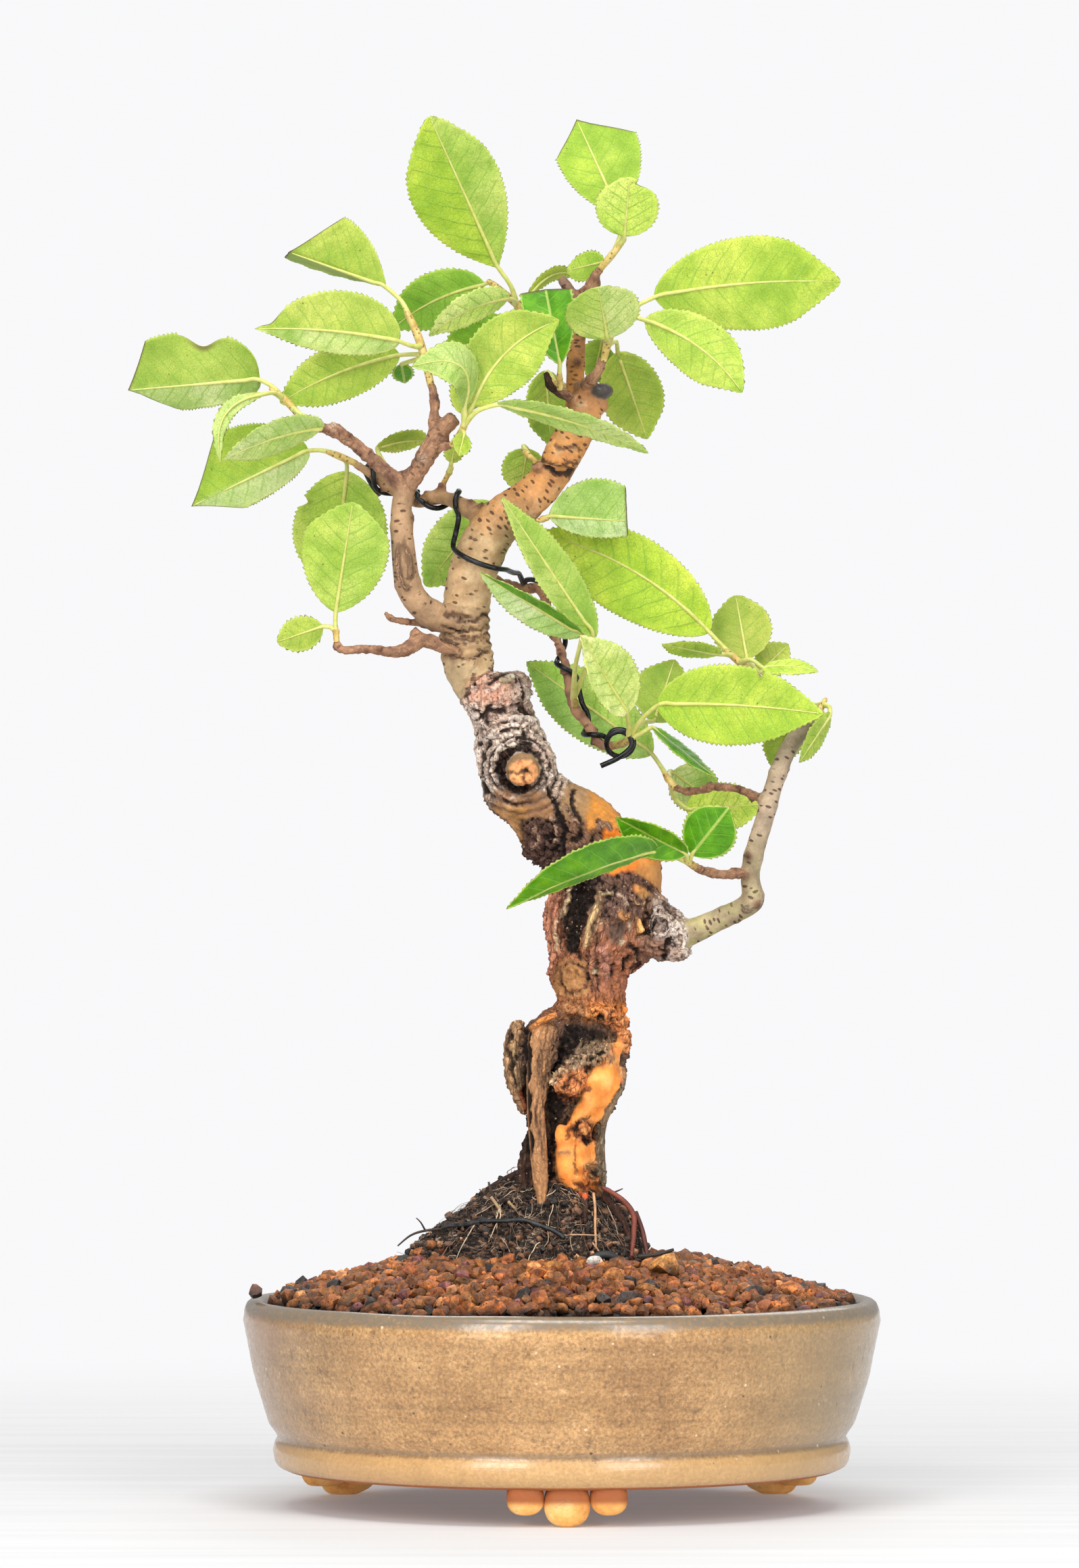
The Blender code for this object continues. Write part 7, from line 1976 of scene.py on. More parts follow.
def dig(obj, shapes):
    """Takes shapes out of a solid."""
    tool = joined("hollow_tool", shapes)
    voxel_skin(tool, 0.6)
    only(obj)
    change = obj.modifiers.new("dig", "BOOLEAN")
    change.operation = "DIFFERENCE"
    change.object = tool
    change.solver = "MANIFOLD"
    bpy.ops.object.modifier_apply(modifier=change.name)
    bpy.data.objects.remove(tool, do_unlink=True)


def carved_wood(parts):
    """The skin of all the wood: grown, dug out, dressed with its deadwood and pitted."""
    size = 0.5
    trunk = joined("wood", [shape for label, _, shape in parts if label not in LATE_PARTS])
    voxel_skin(trunk, size)
    dig(trunk, [ring_tube(smooth_path(rows, 1.2), 20) for rows in DUG])
    late = joined("late_wood", [shape for label, _, shape in parts if label in LATE_PARTS])
    only(trunk)
    late.select_set(True)
    bpy.ops.object.join()
    voxel_skin(trunk, size)
    dig(trunk, [ball(centre, (reach,) * 3, 8) for centre, reach in PITS])
    voxel_skin(trunk, size)
    relaxed(trunk, 0.5, 2)
    return trunk


def closeness(parts, points):
    """How far each place is from the surface of each kind of part, and its place along it."""
    labels = sorted({label for label, _, _ in parts})
    cost = {label: np.full(len(points), 1e9) for label in labels}
    best = np.full(len(points), 1e9)
    straight = np.zeros((len(points), 3))
    start = 0.0
    for label, rows, _ in parts:
        low, high = rows[:, :3].min(0) - 14, rows[:, :3].max(0) + 14
        near = np.where(((points > low) & (points < high)).all(1))[0]
        if not len(near):
            continue
        away, pick = nearest(points[near], rows)
        cost[label][near] = np.minimum(cost[label][near], away)
        if len(rows) < 4:
            continue
        runs = np.r_[0, np.cumsum(np.linalg.norm(np.diff(rows[:, :3], axis=0), axis=1))]
        ahead = np.gradient(rows[:, :3], axis=0)
        ahead /= np.linalg.norm(ahead, axis=1)[:, None]
        closer = away < best[near]
        spots = near[closer]
        best[spots] = away[closer]
        row = pick[closer]
        offset = points[spots] - rows[row, :3]
        along = (offset * ahead[row]).sum(1)
        flat = offset - along[:, None] * ahead[row]
        right = np.cross(ahead[row], (0, 1.0, 0.02))
        right /= np.linalg.norm(right, axis=1)[:, None]
        other = np.cross(right, ahead[row])
        straight[spots] = np.c_[(flat * right).sum(1), (flat * other).sum(1), runs[row] + along + start]
        start += 40.0
    return cost, straight


def make_wood():
    parts = wood_parts(random.Random(31))
    trunk = carved_wood(parts)
    points = millimetres(trunk)
    out = normals_of(trunk)
    cost, straight = closeness(parts, points)
    lowest = np.min(list(cost.values()), axis=0)
    weight = {label: np.exp(-np.clip(c - lowest, 0, 20) / 0.45) for label, c in cost.items()}
    total = sum(weight.values())
    weight = {label: w / total for label, w in weight.items()}

    hole, _ = nearest(points, np.concatenate([smooth_path(p, 1.2) for p in DUG]))
    pit, _ = nearest(points, np.array([(*centre, reach) for centre, reach in PITS]))
    dressed = np.min([cost[label] for label in LATE_PARTS if label in cost], axis=0)
    inside = np.maximum((1 - ease(0.2, 1.2, hole)) * ease(0.25, 1.1, dressed), 1 - ease(0.0, 0.7, pit))

    x, y, z = points.T
    warp = points + 1.3 * np.c_[field(points, 0.25, 3), field(points, 0.25, 5), field(points, 0.25, 9)]
    wx, wy, wz = (warp + 0.5 * np.c_[field(points, 1.1, 4), field(points, 1.1, 6),
                                     field(points, 1.1, 8)]).T
    front = ease(0.35, -0.25, out[:, 1])
    blotch = field(points, 0.35, 17, 3)
    fine = field(points, 1.1, 27, 3)
    crumb = field(points, 0.8, 41, 4)

    def region(x0, x1, z0, z1, soft=0.8):
        """1 inside a patch of the front, with an uneven edge."""
        return (ease(x0 - soft, x0 + soft, wx) * ease(x1 + soft, x1 - soft, wx)
                * ease(z0 - soft, z0 + soft, wz) * ease(z1 + soft, z1 - soft, wz) * front)

    stem = weight["stem"]
    heights = [h for h, _ in STEM_TINTS]
    stem_tint = np.stack([np.interp(wz, heights, [tint[k] for _, tint in STEM_TINTS])
                          for k in range(3)], 1)
    colours = sum(weight[label][:, None] * (stem_tint if label == "stem" else
                                            np.array(PART_TINTS.get(label, TWIG_BROWN)))
                  for label in weight)

    def paint_over(share, tint):
        nonlocal colours
        colours = colours + np.clip(share, 0, 1)[:, None] * (np.array(tint) - colours)

    border = np.interp(wx, (-27, -17, -9), (214.2, 224.0, 222.5))
    smooth = ease(border - 0.8, border + 1.0, wz)
    upper = smooth * stem
    twiggy = 1 - np.clip(stem + sum(weight[k] for k in weight if k in PART_TINTS and k != "bud"), 0, 1)
    even = np.clip(sum(weight[label] for label in SMOOTH_PARTS if label in weight) + upper
                   + 0.6 * twiggy, 0, 1)
    paint_over(upper * ease(227, 222, wz), (0.46, 0.33, 0.18))
    paint_over(twiggy * ease(0.05, 0.45, -blotch) * 0.6, (0.17, 0.085, 0.06))
    paint_over(twiggy * ease(0.2, 0.6, fine) * 0.5, (0.15, 0.07, 0.05))
    extra = np.zeros(len(points))
    late = 1 - ease(0.15, 0.8, dressed)
    for x0, x1, z0, z1, share, uneven, rough, over, tint in PATCHES:
        inner = region(x0, x1, z0, z1) * (1 - uneven * ease(0.15, -0.35, blotch))
        inner = inner * (1 if over else 1 - late)
        paint_over(inner * share, tint)
        even = even + inner * (1 - rough - even)
        extra += inner * rough
    paint_over(weight["strip"] * ease(-0.1, 0.5, blotch) * 0.6, (0.95, 0.45, 0.15))
    paint_over(weight["strip"] * ease(0.1, 0.5, -blotch) * 0.6, (0.80, 0.20, 0.045))
    back = ease(0.0, 0.6, out[:, 1])
    for label in ("strip", "knot"):
        paint_over(weight[label] * back * 0.8, (0.24, 0.13, 0.07))
    paint_over(upper * ease(0.1, 0.6, blotch) * 0.5, (0.56, 0.41, 0.24))
    paint_over(upper * ease(0.1, 0.6, -blotch) * 0.5, (0.36, 0.20, 0.09))
    limb = weight["right_limb"]
    paint_over(limb * ease(0.0, 0.5, blotch) * 0.6, (0.36, 0.27, 0.16))
    paint_over(limb * ease(170, 182, wz) * 0.7, (0.42, 0.31, 0.225))
    paint_over(limb * ease(166, 160, wz) * ease(0.0, 0.4, -blotch) * 0.6, (0.44, 0.40, 0.15))
    paint_over(weight["leader"] * ease(298, 312, wz) * 0.7, (0.30, 0.15, 0.075))
    paint_over(weight["leader"] * ease(315, 320, wz), (0.25, 0.145, 0.10))
    paint_over((weight["crumble"] + weight["knot"]) * ease(0.1, 0.5, fine) * 0.7, (0.80, 0.34, 0.09))
    paint_over((weight["crumble"] + weight["knot"]) * ease(0.0, 0.4, -fine) * 0.7, (0.30, 0.08, 0.03))

    grain = ridged(straight, (0.55, 0.55, 0.07), 3.0)
    fibre = ridged(straight, (1.3, 1.3, 0.10), 13.0)
    lumps = field(points, 0.28, 51, 2)
    high, edge = plates(straight + 0.8 * crumb[:, None], (0.26, 0.26, 0.5), 5.0)
    rings = np.sin(straight[:, 2] * 2.4 + 3.0 * field(points, 0.15, 61))
    flaky = stem * ease(190, 194, wz) * (1 - smooth)
    flaky = np.clip(flaky + sum(weight[k] for k in ("collar", "burl", "flake", "burl_hole")), 0, 1)
    flaky = flaky * (1 - 0.6 * np.clip(extra, 0, 1))
    paint_over(flaky * ease(0.5, 0.1, edge) * 0.55, (0.24, 0.13, 0.10))
    paint_over(flaky * edge * ease(0.55, 0.85, high) * 0.6, (0.86, 0.78, 0.70))
    paint_over(flaky * edge * ease(0.3, 0.1, high) * 0.5, (0.46, 0.26, 0.19))
    # Dug hollows and pits are painted near black: dark rot and painted shade
    paint_over(inside, BLACK_ROT)
    paint_over(inside * ease(0.25, 0.5, fine) * 0.7, (0.13, 0.07, 0.045))
    face = ((x + 10.2) / 3.9) ** 2 + ((z - 194.8) / 3.7) ** 2 + ease(-10.5, -8.5, y) * 4
    face = 1 - ease(0.8, 1.15, face + 0.3 * fine)
    paint_over(face, (0.80, 0.36, 0.14))
    paint_over(face * ease(0.05, 0.45, fine) * 0.8, (0.42, 0.13, 0.05))
    even = np.clip(even, 0, 1) * (1 - inside)
    barky = stem * ease(126, 132, wz) * ease(166, 158, wz)
    rotten = stem * ease(158, 166, wz) * ease(192, 186, wz) * (1 - even)
    low = stem * ease(130, 122, wz)
    push = (grain - 0.5) * (0.7 * barky + 1.0 * low + 0.35 * weight["spike"] + 0.5 * weight["horn"])
    push += (fibre - 0.5) * (0.55 * barky + 0.8 * low + 0.5 * weight["spike"] + 0.5 * weight["horn"])
    push += crumb * (0.4 * barky + 1.0 * rotten + 0.6 * low + 0.5 * weight["knot"] + extra
                     + 1.0 * weight["crumble"] + 0.8 * weight["knot_cap"] + 1.0 * inside
                     + 0.8 * weight["roll"] + 0.5 * weight["horn"])
    push += lumps * (1.2 * rotten + 0.6 * barky)
    push += flaky * ((high - 0.5) * 0.7 * edge - ease(0.6, 0.0, edge) * 0.5 + crumb * 0.25)
    x0, _, z0 = CUT_COLLAR
    far = np.hypot(x - x0, z - z0)
    target = ease(6.5, 8.5, far) * ease(17, 12, far) * front * (stem + weight["collar"])
    folds = np.sin(far * 2.9 + 2.4 * field(points, 0.3, 71))
    push += target * folds * 0.4
    # Troughs of the folds round the cut collar are darkened: painted shade
    paint_over(target * ease(-0.2, -0.8, folds) * 0.6, (0.15, 0.09, 0.07))
    wrinkle = upper * ease(224, 227, wz) * ease(242, 236, wz)
    push += wrinkle * rings * 0.24
    push += upper * (rings * 0.05 + lumps * 0.25)
    push += twiggy * (crumb * 0.24 + rings * 0.06) + even * crumb * 0.06 + weight["stub"] * crumb * 0.3
    for half, raised, tint, line in STROKES:
        away = to_line(wx, wz, line)
        paint_over(ease(half + 0.35, half - 0.15, away) * front * 0.92, tint)
        push += raised * ease(half + 0.7, 0, away) * front
        even = even * (1 - 0.5 * ease(half + 0.3, half, away) * front)
    push = np.clip(push, -1.8, 1.2)
    thin = np.ones(len(points))
    for label in ("splinter", "root_thread", "spike_edge", "pale_curl", "scar_lip"):
        if label in weight:
            thin -= 0.7 * weight[label]
    points = points + out * (push * thin)[:, None]
    set_millimetres(trunk, points)

    # How deep each place lies, by how far it is pushed in; it darkens the bark as painted shade in recesses
    deep = np.clip(0.40 - push * 0.8 * (1 - even * 0.6), 0, 1)
    attribute(trunk, "deep", np.where(inside > 0.5, np.clip(deep, 0, 0.7), deep))
    attribute(trunk, "even", np.maximum(even, 0.45 * (weight["spike"] + flaky)))
    attribute(trunk, "flaky", flaky)
    cap = ((x - 10.8) / 3.0) ** 2 + ((y + 2.0) / 3.8) ** 2 + ((z - 296.6) / 2.3) ** 2
    cap = 1 - ease(0.9, 1.25, cap)
    paint_over(cap, CAP_BLACK)
    attribute(trunk, "glossy", cap)
    attribute(trunk, "spotted", np.clip(upper + limb + weight["leader"] + weight["left_limb"]
                                        + weight["wired_limb"] + twiggy * 0.7 - cap, 0, 1))
    made = trunk.data.attributes.new("straight", "FLOAT_VECTOR", "POINT")
    made.data.foreach_set("vector", (straight * MM).astype(np.float32).ravel())
    colour_attribute(trunk, "bark", np.clip(colours, 0.004, 0.97))
    thinned(trunk, 192000)
    trunk.data.materials.clear()
    trunk.data.materials.append(bark_finish())
    finish_piece(trunk, "bark", ["trunk"])


# Leaves

TOOTH = 1.35
COLUMNS = (-1, -0.94, -0.8, -0.62, -0.44, -0.26, -0.09, 0, 0.09, 0.26, 0.44, 0.62, 0.8, 0.94, 1)
# Leaves that turn their glossy upper side to the viewer: spray, leaf and which half
UPPER = {
    ("spray_front_spur", 0): (1, 1), ("spray_front_spur", 1): (1, 1), ("spray_middle_end", 3): (1, 1),
    ("spray_middle_node", 1): (0, 1), ("spray_upper_left", 3): (1, 1), ("leaf_by_leader", 0): (1, 1),
    ("spray_front_spur", 2): (1, 1),
}
# Colours of single leaves, left and right half: their own colour with painted light and shade in it; every
# other leaf is near LIME
LIME = (0.385, 0.49, 0.066)
LEAF_TINTS = {
    ("spray_back_left", 0): ((0.385, 0.51, 0.045), (0.385, 0.51, 0.095)),
    ("spray_right", 3): ((0.40, 0.51, 0.055), (0.35, 0.47, 0.05)),
    ("spray_crown", 0): ((0.33, 0.47, 0.04), (0.32, 0.46, 0.045)),
    ("spray_middle_end", 0): ((0.72, 0.77, 0.31), (0.66, 0.73, 0.26)),
    ("spray_middle_end", 1): ((0.43, 0.55, 0.06), (0.37, 0.51, 0.04)),
    ("spray_right_twig", 0): ((0.37, 0.56, 0.14), (0.46, 0.64, 0.13)),
    ("spray_right_twig", 1): ((0.48, 0.60, 0.18), (0.48, 0.60, 0.18)),
    ("spray_right_twig", 2): ((0.52, 0.66, 0.10), (0.50, 0.64, 0.09)),
    ("spray_right_top", 0): ((0.45, 0.585, 0.05), (0.46, 0.60, 0.05)),
    ("spray_outer_left", 2): ((0.47, 0.58, 0.21), (0.30, 0.40, 0.055)),
    ("spray_outer_left", 0): ((0.56, 0.68, 0.22), (0.56, 0.68, 0.26)),
    ("spray_outer_left", 1): ((0.52, 0.64, 0.22), (0.52, 0.64, 0.22)),
    ("spray_upper_left", 1): ((0.40, 0.49, 0.15), (0.37, 0.455, 0.07)),
    ("spray_wired", 1): ((0.42, 0.50, 0.20), (0.31, 0.43, 0.04)),
    ("spray_back_left", 2): ((0.35, 0.57, 0.08), (0.28, 0.50, 0.05)),
    ("spray_back_left", 3): ((0.64, 0.84, 0.18), (0.68, 0.86, 0.25)),
    ("spray_back_left", 4): ((0.33, 0.58, 0.05), (0.30, 0.55, 0.04)),
    ("spray_front_left", 0): ((0.38, 0.50, 0.13), (0.40, 0.52, 0.15)),
    ("spray_back_left", 1): ((0.46, 0.50, 0.07), (0.46, 0.50, 0.07)),
    ("spray_front_left", 2): ((0.54, 0.68, 0.22), (0.52, 0.66, 0.2)),
    ("spray_wired", 0): ((0.46, 0.62, 0.10), (0.46, 0.60, 0.09)),
    ("spray_right", 0): ((0.46, 0.57, 0.13), (0.50, 0.60, 0.19)),
    ("leaf_left_knob", 0): ((0.54, 0.66, 0.15), (0.50, 0.64, 0.13)),
    ("leaf_right_knob", 0): ((0.38, 0.52, 0.15), (0.50, 0.60, 0.30)),
    ("spray_middle_node", 0): ((0.42, 0.55, 0.12), (0.34, 0.48, 0.08)),
    ("spray_middle_node", 1): ((0.52, 0.66, 0.28), (0.52, 0.66, 0.28)),
    ("spray_right", 2): ((0.40, 0.53, 0.075), (0.36, 0.48, 0.06)),
    ("spray_crown", 1): ((0.58, 0.72, 0.14), (0.56, 0.70, 0.12)),
    ("spray_low_left", 0): ((0.40, 0.53, 0.08), (0.40, 0.53, 0.09)),
    ("leaf_behind_stem", 0): ((0.48, 0.62, 0.14), (0.44, 0.60, 0.12)),
}
UPPER_GREEN = (0.09, 0.30, 0.004)
# Bites in the margin: spray, leaf, then side, place along the blade, its length and depth
BITES = (
    ("spray_crown", 1, 1, 0.90, 0.045, 0.55), ("spray_upper_left", 1, 1, 0.90, 0.06, 0.5),
    ("spray_middle_end", 1, -1, 0.61, 0.018, 0.16), ("spray_wired", 0, 1, 0.29, 0.03, 0.14),
    ("spray_outer_left", 2, 1, 0.30, 0.085, 0.26),
)


def vein_phase(one, length, across, along):
    """Counts the side veins: a whole number on every vein."""
    pitch = 2.6 + 0.045 * length
    return (along - 0.60 * across - 0.016 * across * across) / pitch


def fine_blade(name, number, one, draw):
    """Points, faces and what each point carries, for one blade with its teeth."""
    length = (Vector(one["tip"]) - Vector(one["base"])).length
    whole = one["cut_at"] >= 1
    teeth = max(6, round(length * min(one["cut_at"], 1.0) / TOOTH))
    columns = COLUMNS
    rows = teeth * 3
    upper = UPPER.get((name, number), (0, 0))
    sunk = -1 if any(upper) and upper[0] == upper[1] else 1
    seed = draw.uniform(0, 90)
    # Leaves rolled further from facing the viewer are made up to half again as bright: painted light
    bright = draw.uniform(0.82, 1.12) * (1 + 0.5 * float(ease(38, 66, abs(one["roll"]))))
    lime = [c * bright * draw.uniform(0.94, 1.06) for c in LIME]
    halves = [[c * share for c in lime] for share in (draw.uniform(0.86, 1.06), draw.uniform(0.86, 1.06))]
    tints = LEAF_TINTS.get((name, number), halves)
    bites = [bite[2:] for bite in BITES if bite[:2] == (name, number)]
    front, back, rim_share = [], [], []
    held = {"leaf": [], "top": [], "margin": [], "dry": [], "blade": []}
    for i in range(rows + 1):
        t = 0.004 + 0.996 * i / rows
        for s in columns:
            side = 1 if s > 0 else -1
            u = min(t * blade_end(one, s), 0.997)
            reach = half_width(one, u) * (1 + side * one["uneven"])
            tooth = (0.0, 0.28, 0.60)[i % 3] * (t < 0.985 or whole) * min(1, 7 * u)
            tooth = min(tooth, reach * 0.25) * (abs(s) == 1) * (0.7 + 0.5 * draw.random())
            bitten = 0.0
            for bite_side, place, long, deep in bites:
                if bite_side == side:
                    bitten = max(bitten, deep * math.exp(-((u - place) / long) ** 2))
            spot = s * (1 - bitten) if bitten > 0.02 else s
            outset = 1 - 0.24 * float(ease(0.7, 1.0, u)) * whole
            outset += tooth / max(reach, 0.4) if bitten < 0.02 else 0
            point, up = blade_point(one, u, spot, outset)
            across, along = abs(spot) * reach, u * length
            phase = vein_phase(one, length, across, along)
            edge = (1 - abs(s)) * reach
            quilt = math.cos(math.tau * phase) * min(1, across / 2.5) * min(1, edge / 1.5)
            lift = sunk * 0.14 * quilt * min(1, length / 25)
            lift += 0.35 * min(1, length / 30) * noise.noise(Vector((s * 1.6, along * 0.11, seed)))
            lift += 0.12 * math.sin(along * 1.1 + side) * abs(s) ** 3 * min(1, length / 25)
            half = 0.05 + 0.12 * min(1, edge / 1.2)
            point = point + up * lift
            front.append(point + up * half)
            back.append(point - up * half)
            held["leaf"].append(tints[s > 0] if s else [sum(c) / 2 for c in zip(*tints)])
            held["top"].append(upper[s > 0] if s else sum(upper) / 2)
            held["margin"].append(edge)
            cut = (1 - t) * length * 0.7 if not whole else 9
            held["dry"].append(max(1.15 - 2.0 * cut, min(1, bitten * 3) * (abs(s) > 0.9), 0))
            held["blade"].append((spot * reach, along + seed * 3, phase))
    count, wide = len(front), len(columns)
    verts = front + back
    faces = []
    for i in range(rows):
        for k in range(wide - 1):
            a, b = i * wide + k, i * wide + k + 1
            c, d = b + wide, a + wide
            faces.append((a, b, c, d))
            faces.append((b + count, a + count, d + count, c + count))
        for k, flip in ((0, False), (wide - 1, True)):
            a, d = i * wide + k, (i + 1) * wide + k
            wall = (a, d, d + count, a + count)
            faces.append(wall[::-1] if flip else wall)
    for i, flip in ((0, True), (rows, False)):
        for k in range(wide - 1):
            a, b = i * wide + k, i * wide + k + 1
            wall = (a, b, b + count, a + count)
            faces.append(wall[::-1] if not flip else wall)
    held = {key: values * 2 for key, values in held.items()}
    held["top"] = held["top"][:count] + [1 - v for v in held["top"][:count]]
    return verts, faces, held, sunk


def fine_stalk(one, sunk):
    """The stalk and the raised midrib that it runs into, as one tapering strand."""
    stalk = [tuple(p) for p in one["stalk"]]
    rows = [(*p, r) for p, r in zip(stalk, (0.92, 0.62, 0.6, 0.6))]
    base = blade_point(one, 0.02, 0)[0]
    rows.append((*base, 0.6))
    length = (Vector(one["tip"]) - Vector(one["base"])).length
    thick = min(0.6, 0.22 + 0.011 * length)
    end = blade_end(one, 0)
    for k in range(1, 12):
        u = min(0.03 + 0.955 * k / 11, 0.97) * end
        point, up = blade_point(one, u, 0)
        size = thick * (1 - 0.86 * (k / 11) ** 0.8) + 0.05
        rows.append((*(point + up * (sunk * (0.10 + size * 0.25))), size))
    rows = smooth_path(rows, 0.9)
    return ring_tube(rows, 8)


def leaf_blade_finish():
    """Blades: the pale underside with its veins, the glossy upper side, brown on cut edges."""
    paint = Paint("quince_leaf_blade", 0.5, Specular_IOR_Level=0.32, Subsurface_Weight=0.22,
                  Subsurface_Radius=(0.7, 1.0, 0.2), Subsurface_Scale=0.0012)
    blade = paint.held("blade", "Vector")
    across = paint.part(blade, "X")
    phase = paint.part(blade, "Z")
    flat = paint.scaled(blade, (1, 1, 0))
    top = paint.held("top")
    margin = paint.held("margin")
    side = paint.sum("MULTIPLY", paint.sum("GREATER_THAN", across, 0.0), 0.46)
    reach = paint.sum("ABSOLUTE", across)
    bend = paint.sum("MULTIPLY", paint.clouds(flat, 0.3, 2), 0.3)
    count = paint.sum("ADD", paint.sum("ADD", phase, side), bend)
    away = paint.sum("PINGPONG", count, 0.5)
    thick = paint.band(reach, 0.0, 11.0, 0.085, 0.028)
    vein = paint.sum("SUBTRACT", 1.0, paint.band(paint.sum("DIVIDE", away, thick), 0.5, 1.2))
    vein = paint.sum("MULTIPLY", vein, paint.band(margin, 0.3, 2.0))
    branch = paint.cells(paint.scaled(flat, (1, 1, 1)), 0.62, "DISTANCE_TO_EDGE")
    branch = paint.sum("MULTIPLY", paint.band(branch, 0.075, 0.0), paint.band(margin, 0.2, 1.2))
    mesh = paint.cells(flat, 1.7, "DISTANCE_TO_EDGE")
    broken = paint.clouds(flat, 0.8, 3, 0.6)
    mesh = paint.sum("MULTIPLY", paint.band(mesh, 0.10, 0.0), paint.band(broken, 0.4, 0.62))
    cloud = paint.clouds(flat, 0.16, 4, 0.6)
    grain = paint.clouds(flat, 2.6, 4, 0.65)

    under = paint.blend(1.0, paint.held("leaf", "Color"),
                        paint.ramp(cloud, (0.3, (0.74, 0.82, 0.62)), (0.5, (1.0, 1.0, 1.0)),
                                   (0.7, (1.2, 1.14, 1.15))), "MULTIPLY")
    wide = paint.clouds(flat, 0.055, 2, 0.5)
    under = paint.blend(1.0, under, paint.ramp(wide, (0.38, (0.76, 0.86, 0.62)), (0.5, (0.97, 0.99, 0.95)),
                                               (0.62, (1.2, 1.1, 1.35))), "MULTIPLY")
    under = paint.blend(1.0, under, paint.ramp(grain, (0.3, 0.74), (0.7, 1.2)), "MULTIPLY")
    under = paint.blend(paint.sum("MULTIPLY", mesh, 0.42), under, (0.19, 0.36, 0.035))
    under = paint.blend(paint.sum("MULTIPLY", branch, 0.34), under, (0.18, 0.35, 0.035))
    under = paint.blend(paint.sum("MULTIPLY", vein, 0.46), under, (0.20, 0.37, 0.045))
    dashes = paint.band(paint.cells(paint.scaled(flat, (1, 1.8, 1)), 0.9), 0.26, 0.14)
    dashes = paint.sum("MULTIPLY", dashes, paint.band(broken, 0.44, 0.56, 0.0, 0.5))
    under = paint.blend(dashes, under, (0.13, 0.27, 0.025))
    upper = paint.ramp(cloud, (0.3, (0.05, 0.19, 0.003)), (0.5, UPPER_GREEN),
                       (0.7, (0.17, 0.43, 0.006)))
    upper = paint.blend(paint.sum("MULTIPLY", mesh, 0.25), upper, (0.05, 0.15, 0.008))
    upper = paint.blend(paint.sum("MULTIPLY", branch, 0.15), upper, (0.2, 0.42, 0.04))
    upper = paint.blend(paint.sum("MULTIPLY", vein, 0.28), upper, (0.24, 0.52, 0.05))
    upper = paint.blend(paint.band(margin, 0.5, 0.15, 0, 0.7), upper, (0.42, 0.52, 0.10))
    upper = paint.blend(paint.band(reach, 0.5, 0.2, 0, 0.75), upper, (0.50, 0.62, 0.14))
    colour = paint.blend(top, under, upper)
    pale = paint.band(margin, 0.55, 0.1, 0, 0.35)
    colour = paint.blend(pale, colour, (0.52, 0.62, 0.16))
    spots = paint.cells(flat, 0.42)
    rare = paint.clouds(flat, 0.5, 2)
    dots = paint.sum("MULTIPLY", paint.band(spots, 0.14, 0.07), paint.band(rare, 0.55, 0.62))
    colour = paint.blend(paint.sum("MULTIPLY", dots, 0.8), colour, (0.13, 0.08, 0.02))
    tips = paint.sum("MULTIPLY", paint.band(margin, 0.16, 0.02), paint.band(rare, 0.46, 0.56))
    brown = paint.sum("MAXIMUM", paint.sum("MULTIPLY", tips, 0.75), paint.held("dry"))
    brown = paint.sum("MULTIPLY", brown, paint.band(grain, 0.2, 0.5, 0.75, 1.0))
    colour = paint.blend(brown, colour, (0.085, 0.035, 0.014))
    paint.set("Base Color", colour)
    gloss = paint.band(top, 0.0, 1.0, 0.56, 0.34)
    paint.set("Roughness", paint.sum("ADD", gloss, paint.sum("MULTIPLY", grain, 0.12)))
    ribs = paint.sum("ADD", vein, paint.sum("MULTIPLY", branch, 0.45))
    ribs = paint.sum("ADD", ribs, paint.sum("MULTIPLY", mesh, 0.3))
    sign = paint.band(top, 0.0, 1.0, 1.0, -0.8)
    height = paint.sum("ADD", paint.sum("MULTIPLY", ribs, sign), paint.sum("MULTIPLY", grain, 0.35))
    paint.relief(height, 0.55, 0.16)
    return paint.material


def stalk_finish():
    paint = Paint("quince_leaf_stalk", 0.45, Specular_IOR_Level=0.4, Subsurface_Weight=0.15,
                  Subsurface_Radius=(1.0, 1.0, 0.3), Subsurface_Scale=0.0012)
    cloud = paint.clouds(paint.where(), 500, 4, 0.6)
    paint.set("Base Color", paint.ramp(cloud, (0.3, (0.50, 0.50, 0.11)), (0.5, (0.60, 0.62, 0.17)),
                                       (0.7, (0.68, 0.66, 0.24))))
    paint.relief(cloud, 0.3, 0.15)
    return paint.material


def shoot_finish():
    """Young wood: yellow tan and dotted."""
    paint = Paint("quince_young_shoot", 0.55)
    place = paint.where()
    cloud = paint.clouds(place, 420, 4, 0.6)
    tone = paint.ramp(cloud, (0.3, (0.40, 0.24, 0.06)), (0.5, (0.60, 0.43, 0.12)),
                      (0.7, (0.72, 0.58, 0.22)))
    dots = paint.band(paint.cells(place, 900), 0.34, 0.2)
    tone = paint.blend(paint.sum("MULTIPLY", dots, 0.75), tone, (0.12, 0.045, 0.025))
    paint.set("Base Color", tone)
    paint.relief(paint.sum("ADD", cloud, paint.sum("MULTIPLY", dots, 0.4)), 0.5, 0.25)
    return paint.material


